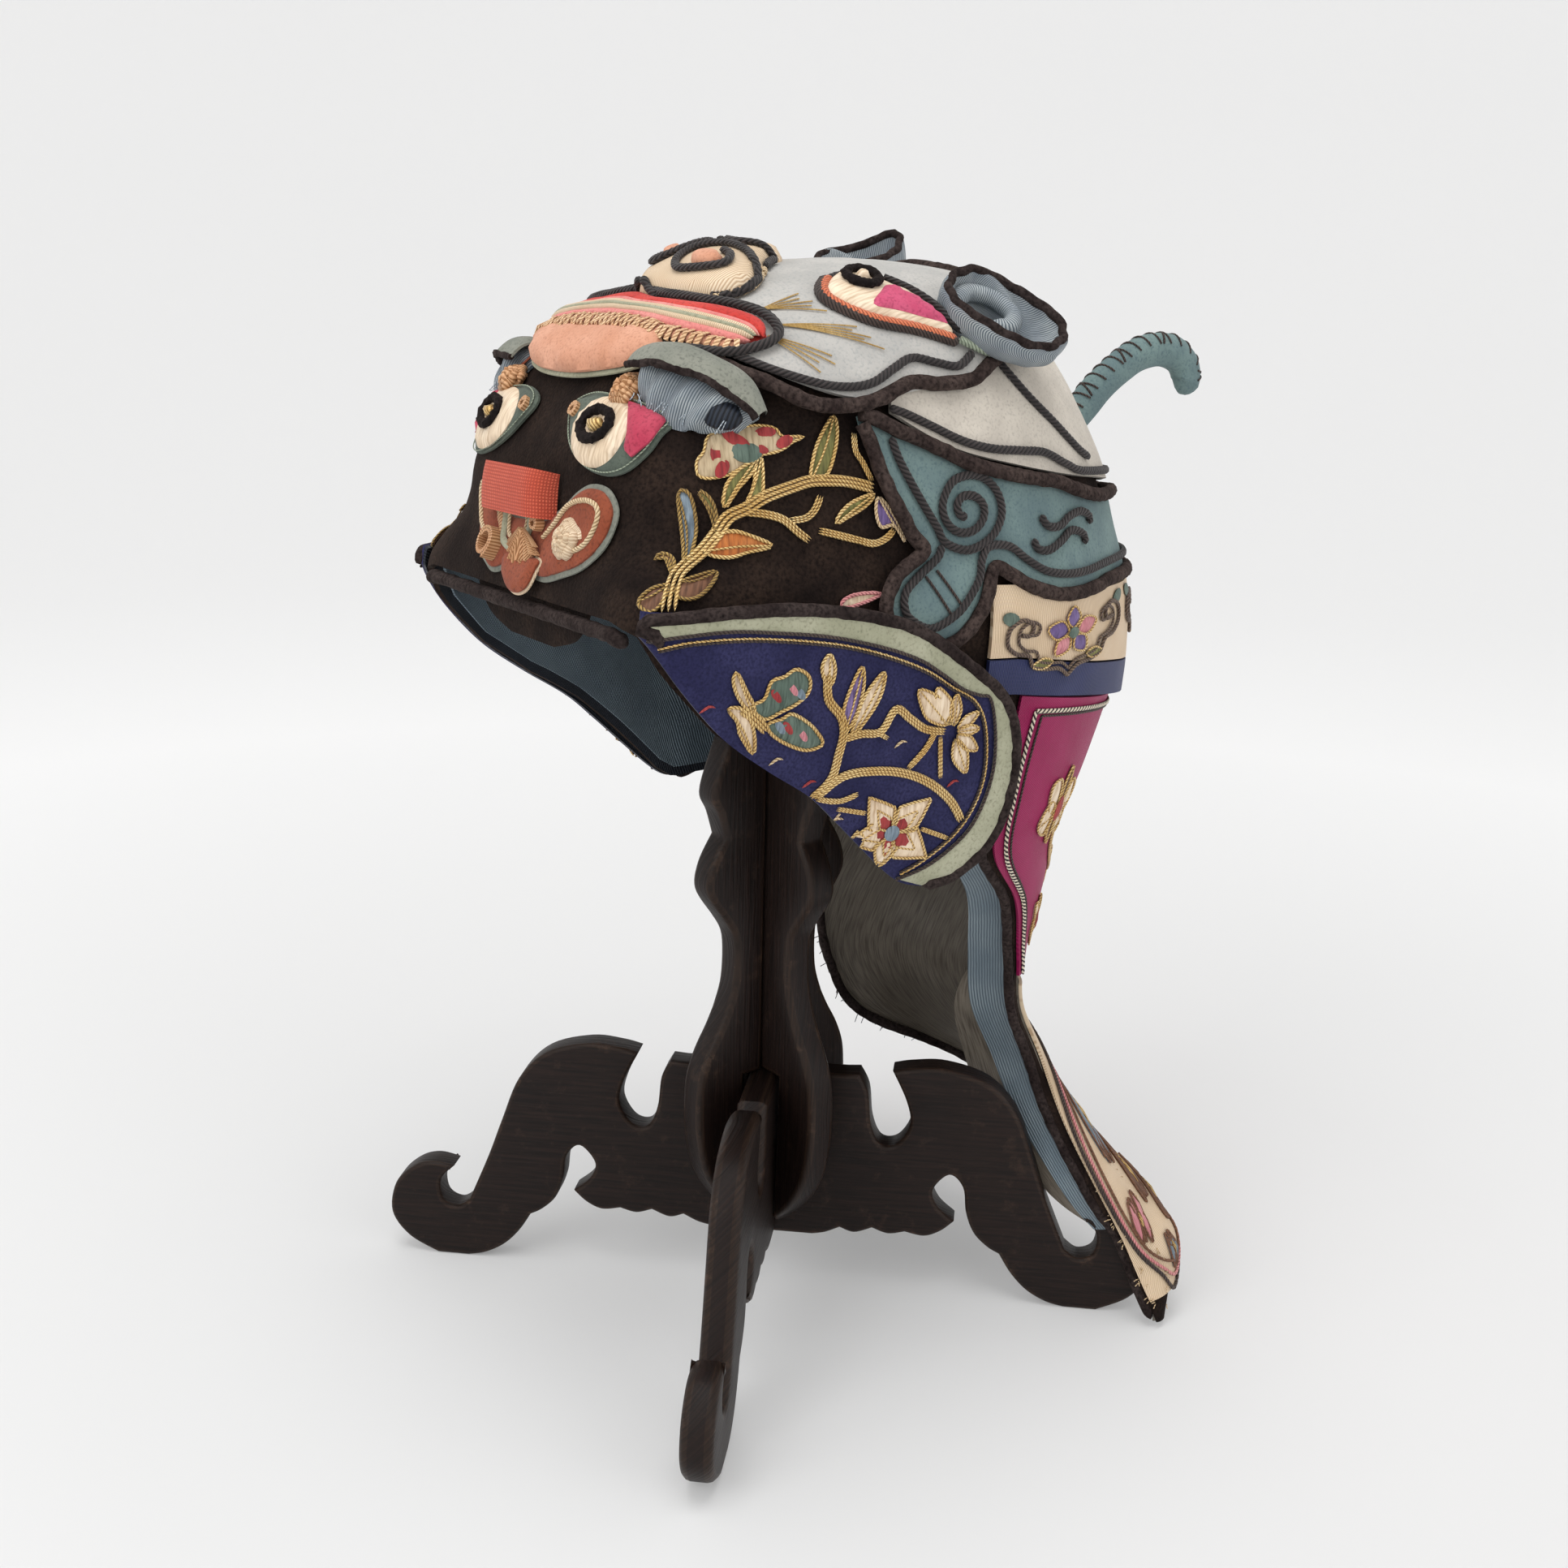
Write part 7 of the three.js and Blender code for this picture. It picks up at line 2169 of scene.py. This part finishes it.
FLAP_SHAPES = [
    ([(-53.9, 202.3), (-50.7, 203.9), (-49.1, 208.1), (-45.8, 209), (-42.5, 210.6), (-38.8, 208.5),
      (-38.5, 204.7), (-41.6, 201.9), (-45.6, 200.3), (-50.1, 198.8)], GREEN_STITCH, GOLD_THREAD),
    ([(-48.9, 197.5), (-45.3, 198.4), (-42.7, 199.5), (-38.2, 197.1), (-35, 194.3), (-32.7, 190.8),
      (-37.1, 189.6), (-43, 191.8), (-47.6, 194.8)], GREEN_STITCH, GOLD_THREAD),
    ([(-53.6, 200.4), (-57.4, 204.4), (-59.4, 208.8), (-58.6, 210.9), (-55.6, 206.1),
      (-53.2, 202.2)], CREAM_SATIN, GOLD_THREAD),
    ([(-60, 202.1), (-56.5, 201.9), (-53.3, 197.9), (-51.7, 192.6), (-52, 190.3), (-56.1, 195.5),
      (-57.3, 198.8)], CREAM_SATIN, GOLD_THREAD),
    ([(-27, 192.9), (-27.9, 199.4), (-25.9, 206.2), (-23.7, 209.8), (-22.8, 204.7),
      (-24.1, 197.8)], PURPLE_STITCH, GOLD_THREAD),
    ([(-24.7, 192), (-23, 200.3), (-20.7, 204.5), (-17, 208), (-17.4, 202.3), (-20.4, 196.8)],
     CREAM_SATIN, GOLD_THREAD),
    ([(-33.6, 206), (-35.4, 210.6), (-33.4, 213.6), (-31.6, 210.2), (-32, 206.4)], CREAM_SATIN,
     GOLD_THREAD),
]
BLOSSOM, BLOSSOM_TIPS = (6, 190.4), [(-6.4, 202.6), (-0.8, 202.8), (5.6, 200.6), (13.2, 195.2),
                                     (14.2, 190.6), (14.6, 184.6), (12, 178.6)]
STAR, STAR_TIPS = (-8.4, 164.2), [(-15.9, 174), (1.8, 171.9), (3, 156.2), (-9.6, 154.6),
                                  (-19.6, 162.8)]
WING_SPOTS = [
    ((-47.6, 204.4), RED_STITCH), ((-43.2, 205.8), PINK_STITCH), ((-41, 204.6), BLUE_STITCH),
    ((-43.4, 196), RED_STITCH), ((-39, 193.8), PINK_STITCH), ((-45.6, 196.4), BLUE_STITCH)]


def petal(middle, tip, share, sharp=False):
    """Outline of a petal from near a flower's middle to its tip."""
    middle, tip = np.array(middle, float), np.array(tip, float)
    ahead = tip - middle
    aside = np.array([-ahead[1], ahead[0]]) * share
    if sharp:
        return [middle, middle + ahead * 0.42 + aside, middle + ahead * 0.7 + aside * 0.62,
                middle + ahead * 1.08, middle + ahead * 0.7 - aside * 0.62,
                middle + ahead * 0.42 - aside]
    return [middle + ahead * 0.18, middle + ahead * 0.5 + aside, middle + ahead * 0.8 + aside * 0.7,
            tip, middle + ahead * 0.8 - aside * 0.7, middle + ahead * 0.5 - aside]


for side in (1, -1):
    work = Piece(f"flap_embroidery_{SIDE_NAME[side]}")
    ground = FLAP_GROUND[side]
    line = smooth(CHAIN, 0.5)
    aside = unit(np.gradient(line, axis=0))[:, ::-1] * [-1, 1]
    for shift, look in ((0.32, GOLD_THREAD), (-0.32, DARK_THREAD)):
        places, normals = ground.onto(line + aside * shift, 0.45)
        cord(work, places, normals, 0.6, 0.6, look, plait="twist", pitch=1.7, relief=0.42, sides=6)
    for guides, width in FLAP_STEMS:
        stem(work, ground, guides, GOLD_THREAD, width=width, lift=0.5)
    for guides, fill, edge in FLAP_SHAPES:
        leaf_shape(work, ground, guides, fill, edge, lift=0.2, vein=fill is not GREEN_STITCH)
    for middle, fill in WING_SPOTS:
        spot(work, ground, middle, 1.0, fill, 0.7, 2.2, 0.7)
    for i, tip in enumerate(BLOSSOM_TIPS):
        leaf_shape(work, ground, petal(BLOSSOM, tip, 0.17), CREAM_SATIN, GOLD_THREAD, lift=0.5,
                   width=0.7, vein=i % 2 == 0)
    for tip in STAR_TIPS:
        leaf_shape(work, ground, petal(STAR, tip, 0.36, True), CREAM_SATIN, GOLD_THREAD, lift=0.3,
                   width=0.8, vein=False, pointed=True)
        inner_tip = np.array(STAR) * 0.34 + np.array(tip) * 0.66
        leaf_shape(work, ground, petal(STAR, inner_tip, 0.26, True), RED_STITCH, GOLD_THREAD,
                   lift=0.75, width=0.5, vein=False, pointed=True)
    spot(work, ground, STAR, 2.2, BLUE_STITCH, 1.2)
    for i, (y, z) in enumerate([(-65.2, 202.4), (-45.1, 187.4), (-34.5, 180.3), (-24.6, 169),
                                (8.6, 175.9), (-9.4, 188.5)]):
        stem(work, ground, [(y - 1.6, z - 1), (y + 0.4, z + 0.6), (y + 2, z + 0.2)],
             CREAM_THREAD if i % 2 else RED_STITCH, width=0.7, lift=0.3, double=False)
    work.make("cream_silk")

# %% [markdown]
# Round the back, the cream band has cloud scrolls and small flowers, the magenta panel has
# gilt-edged petals and a dark and light chevron of stitches on its edge, and the cape's leaf is
# worked with flowers inside a triple border. A ray could find the cloth under each stitch, but the
# functions that shaped the cloth know it already, so they are the grounds here.

# %% Grounds on the back


class WrapGround:
    """Flat coordinates that run round and down a surface given by a function of both."""

    def __init__(self, place, steps=(0.4, 0.4), outward=None):
        self.place, self.steps, self.outward = place, steps, outward

    def onto(self, flat, height=0.0):
        """Place on the surface and its outward direction."""
        u, v = np.asarray(flat, float).T
        at = self.place(u, v)
        if self.outward:
            normal = self.outward(u, v)
            return at + normal * np.broadcast_to(height, u.shape)[:, None], normal
        across = self.place(u + self.steps[0], v) - self.place(u - self.steps[0], v)
        down = self.place(u, v - self.steps[1]) - self.place(u, v + self.steps[1])
        normal = unit(np.cross(across, down))
        normal *= np.sign((normal * (at - [0, 20, 180])).sum(-1, keepdims=True) + 1e-9)
        return at + normal * np.broadcast_to(height, u.shape)[:, None], normal


BAND_REACH, BAND_TURN = 86.0, 87.0  # from the middle back: millimetres, and their degrees
BAND_Z, BAND_FALL = 211.8, 0.045  # height of its middle, and its slope away from there


def band_place(u, v):
    """A place on the cream band: u millimetres round from the middle back, v up from its middle."""
    degrees = 180 - np.abs(u) / BAND_REACH * BAND_TURN
    z = v + BAND_Z - np.abs(u) * BAND_FALL
    return raised(round_wall(np.where(u >= 0, degrees, -degrees), z), 2.1)


def cape_place(u, v):
    """A place on the cape: u is its turn in degrees, v its place down in hundredths."""
    return cape_points(v / 100, u)


BAND_GROUND = WrapGround(band_place)
CAPE_GROUND = WrapGround(cape_place, outward=lambda u, v: cape_normal(v / 100, u))
band_ends = band_place(np.array([-BAND_REACH, BAND_REACH]), np.zeros(2))
print("the cream band is", round(float(np.ptp(band_ends[:, 0])), 1), "mm from end to end")

# %% Scrolls and flowers round the back
BROWN_THREAD = twisted("taupe_silk_thread", "5f4c42", "75604f", "33261f")
CHEVRON_THREAD = cloth_finish("black_and_white_chevron_stitch", ("d9ccb4", "e4d9c4", "1f1a1a"),
                              plaited(1.7), 0.25, 9, hollow=(0.38, 0.55), **CORDED)
CLOUD_HALF = [
    (0, -10.6), (2.6, -8.2), (6.4, -7.6), (9.8, -6.4), (11.2, -3.2), (14.4, -2.2), (16.8, 0.6),
    (16.4, 4.6), (13.4, 6.4), (10.8, 4.8), (11.4, 2.2), (13.6, 2.6)]


def flower(piece, ground, middle, tips, share, fills, edge, lift, width, veined=False):
    """Petals from a middle to their tips, in each filling by turns."""
    for k, tip in enumerate(tips):
        leaf_shape(piece, ground, petal(middle, tip, share), fills[k % len(fills)], edge,
                   lift=lift, width=width, vein=veined and k % 2 == 0)


back = Piece("back_embroidery")
for middle in (-64.0, -21.4, 21.4, 64.0):
    for way in (-1, 1):
        scroll = np.array(CLOUD_HALF) * [way * 1.08, 1.0]
        for inwards, width in ((1.0, 1.2), (0.84, 0.9)):
            run = scroll * inwards + [middle, 2.6 + 1.4 * (1 - inwards)]
            sewn_cord(back, BAND_GROUND, run, 0.5, width, width * 0.8, BROWN_THREAD,
                      plait="twist", pitch=1.4, step=0.6)
    bloom = (middle, 3.6)
    flower(back, BAND_GROUND, bloom, oval(bloom, 8.0, 6.8, 5, math.pi / 2), 0.3,
           (PURPLE_STITCH, PINK_STITCH), GOLD_THREAD, 0.4, 0.6)
    spot(back, BAND_GROUND, bloom, 1.5, GREEN_STITCH, 0.9)
    for way in (-1, 1):
        spot(back, BAND_GROUND, (middle + way * 17.6, 9.6), 2.4, GREEN_STITCH, 0.3, 0.7, way * 0.5)
        leaf_shape(back, BAND_GROUND, petal((middle + way * 4, -3), (middle + way * 11, -3.6), 0.2),
                   OLIVE_STITCH, GOLD_THREAD, lift=0.4, width=0.6, vein=False)
back.make("cream_silk")

# %% Magenta panel and leaf embroidery
cape_work = Piece("cape_embroidery")
CHEVRONS = [[(84, 39.6), (84, 30), (84, 16), (84, 7), (83.4, 1.9)],
            [(83.4, 1.9), (60, 1.6), (30, 1.5), (0, 1.5)]]
for way in (1, -1):
    for line in CHEVRONS:
        route = curve(np.array(line, float) * [way, 1])
        along = measure(cape_place(*route.T))
        flat = read_off(np.linspace(0, 1, int(along[-1] / 0.5)), along / along[-1], route)
        on, normals = CAPE_GROUND.onto(flat, 2.0)
        cord(cape_work, on, normals, 1.5, 0.8, CHEVRON_THREAD, pitch=1.7, relief=0.25, sides=6)
        on, normals = CAPE_GROUND.onto(flat - np.array([way * 2.2, -0.5]), 1.8)
        cord(cape_work, on, normals, 0.7, 0.6, DARK_THREAD, plait="twist", sides=5)
    for u, v, size in ((62, 13, 9.0), (38, 26, 9.5), (16, 11, 9.0), (66, 32, 7.0)):
        bloom = (way * u, v)
        flower(cape_work, CAPE_GROUND, bloom,
               oval(bloom, way * size * 1.05, size * 0.62, 6, 0.4), 0.28,
               (CREAM_SATIN, BROWN_STITCH, CREAM_SATIN), GOLD_THREAD, 1.7, 0.8, veined=True)
        spot(cape_work, CAPE_GROUND, bloom, 1.9, RED_STITCH, 2.3)
    for route in ([(58, 16), (55, 22), (46, 25)], [(19, 14), (22, 21), (31, 25)],
                  [(38, 29), (40, 34), (48, 37), (60, 34.5)], [(14, 14), (6, 22), (2, 34)]):
        stem(cape_work, CAPE_GROUND, np.array(route, float) * [way, 1], GOLD_THREAD, width=1.6,
             lift=2.0)
for inner, look, width in ((1.0, DARK_THREAD, 1.2), (0.93, PINK_THREAD, 1.0),
                           (0.84, BROWN_STITCH, 0.9)):
    border = [(78 * inner * math.sin(a), 69.5 - 25.5 * inner * math.cos(a))
              for a in np.linspace(0, 2 * math.pi, 49)[:-1]]
    sewn_cord(cape_work, CAPE_GROUND, border, 2.0, width, width * 0.8, look, closed=True,
              plait="twist", step=0.9)
for u, v, size, fill in [(0, 56, 7, PINK_STITCH), (36, 64, 9, BLUE_STITCH),
                         (-36, 64, 9, PINK_STITCH), (40, 78, 9, PINK_STITCH),
                         (-40, 78, 9, BROWN_STITCH), (0, 72, 8, BROWN_STITCH),
                         (0, 88, 7, BLUE_STITCH)]:
    flower(cape_work, CAPE_GROUND, (u, v), oval((u, v), size * 1.7, size * 0.55, 5, 0.3 + u), 0.3,
           (fill,), BROWN_STITCH, 1.7, 0.7)
    spot(cape_work, CAPE_GROUND, (u, v), 1.8, GOLD_THREAD, 2.3)
cape_work.make("cream_silk")

# %% [markdown]
# ## Frayed edges
# Old silk frays where it was cut. Short single threads stand off the far edge of the cape, the
# leaf's edge and the little ears. Fibre strands would also do, but small cords export as meshes.

# %% Frayed threads
dice = np.random.default_rng(7)


def fray(piece, root, normal, ahead, look, long):
    """One loose thread that leaves its root along a direction, wanders and droops."""
    way = unit(np.array(ahead, float) + dice.normal(0, 0.4, 3))
    along = np.linspace(-0.12, 1, 7)[:, None]
    curl = dice.normal(0, 0.16, 3) * long
    line = root + way * long * along + curl * along ** 2 + [0, 0, -0.2 * long] * along ** 2
    cord(piece, line, np.tile(normal, (7, 1)), 0.3, 0.3, look, plait="twist", sides=4, relief=0.0)


frays = Piece("frayed_threads")
for place in dice.uniform(0.2, 0.78, 70):
    root, inner = cape_points(np.array([place, place]), np.array([-90.0, -84.0]))
    fray(frays, root - cape_normal(place, -89.0) * 1.2, cape_normal(place, -89.0),
         unit(root - inner) + [0, 0, -0.5], PALE_SILK if place > 0.5 else DARK_THREAD,
         dice.uniform(1.5, 4.0))
for place, turn in zip(dice.uniform(0.7, 0.97, 60), dice.choice([84.0, 70.0, 30.0, -60.0], 60)):
    root, inner = cape_points(np.array([place, place]), np.array([turn, turn - 6]))
    fray(frays, root + cape_normal(place, turn) * 1.4, cape_normal(place, turn),
         unit(root - inner) * 0.5 + cape_normal(place, turn), CREAM_THREAD, dice.uniform(0.8, 2.2))
for side in (1, -1):
    for share in dice.uniform(0, 1, 16):
        root = mirror(np.array(EAR_LOW[1]) * (1 - share) + np.array(EAR_LOW[-1]) * share, side)
        fray(frays, root, np.array([0, -1.0, 0]), (0.1 * side, -0.3, -1), PALE_SILK,
             dice.uniform(1.2, 3.4))
frays.make("cream_silk")
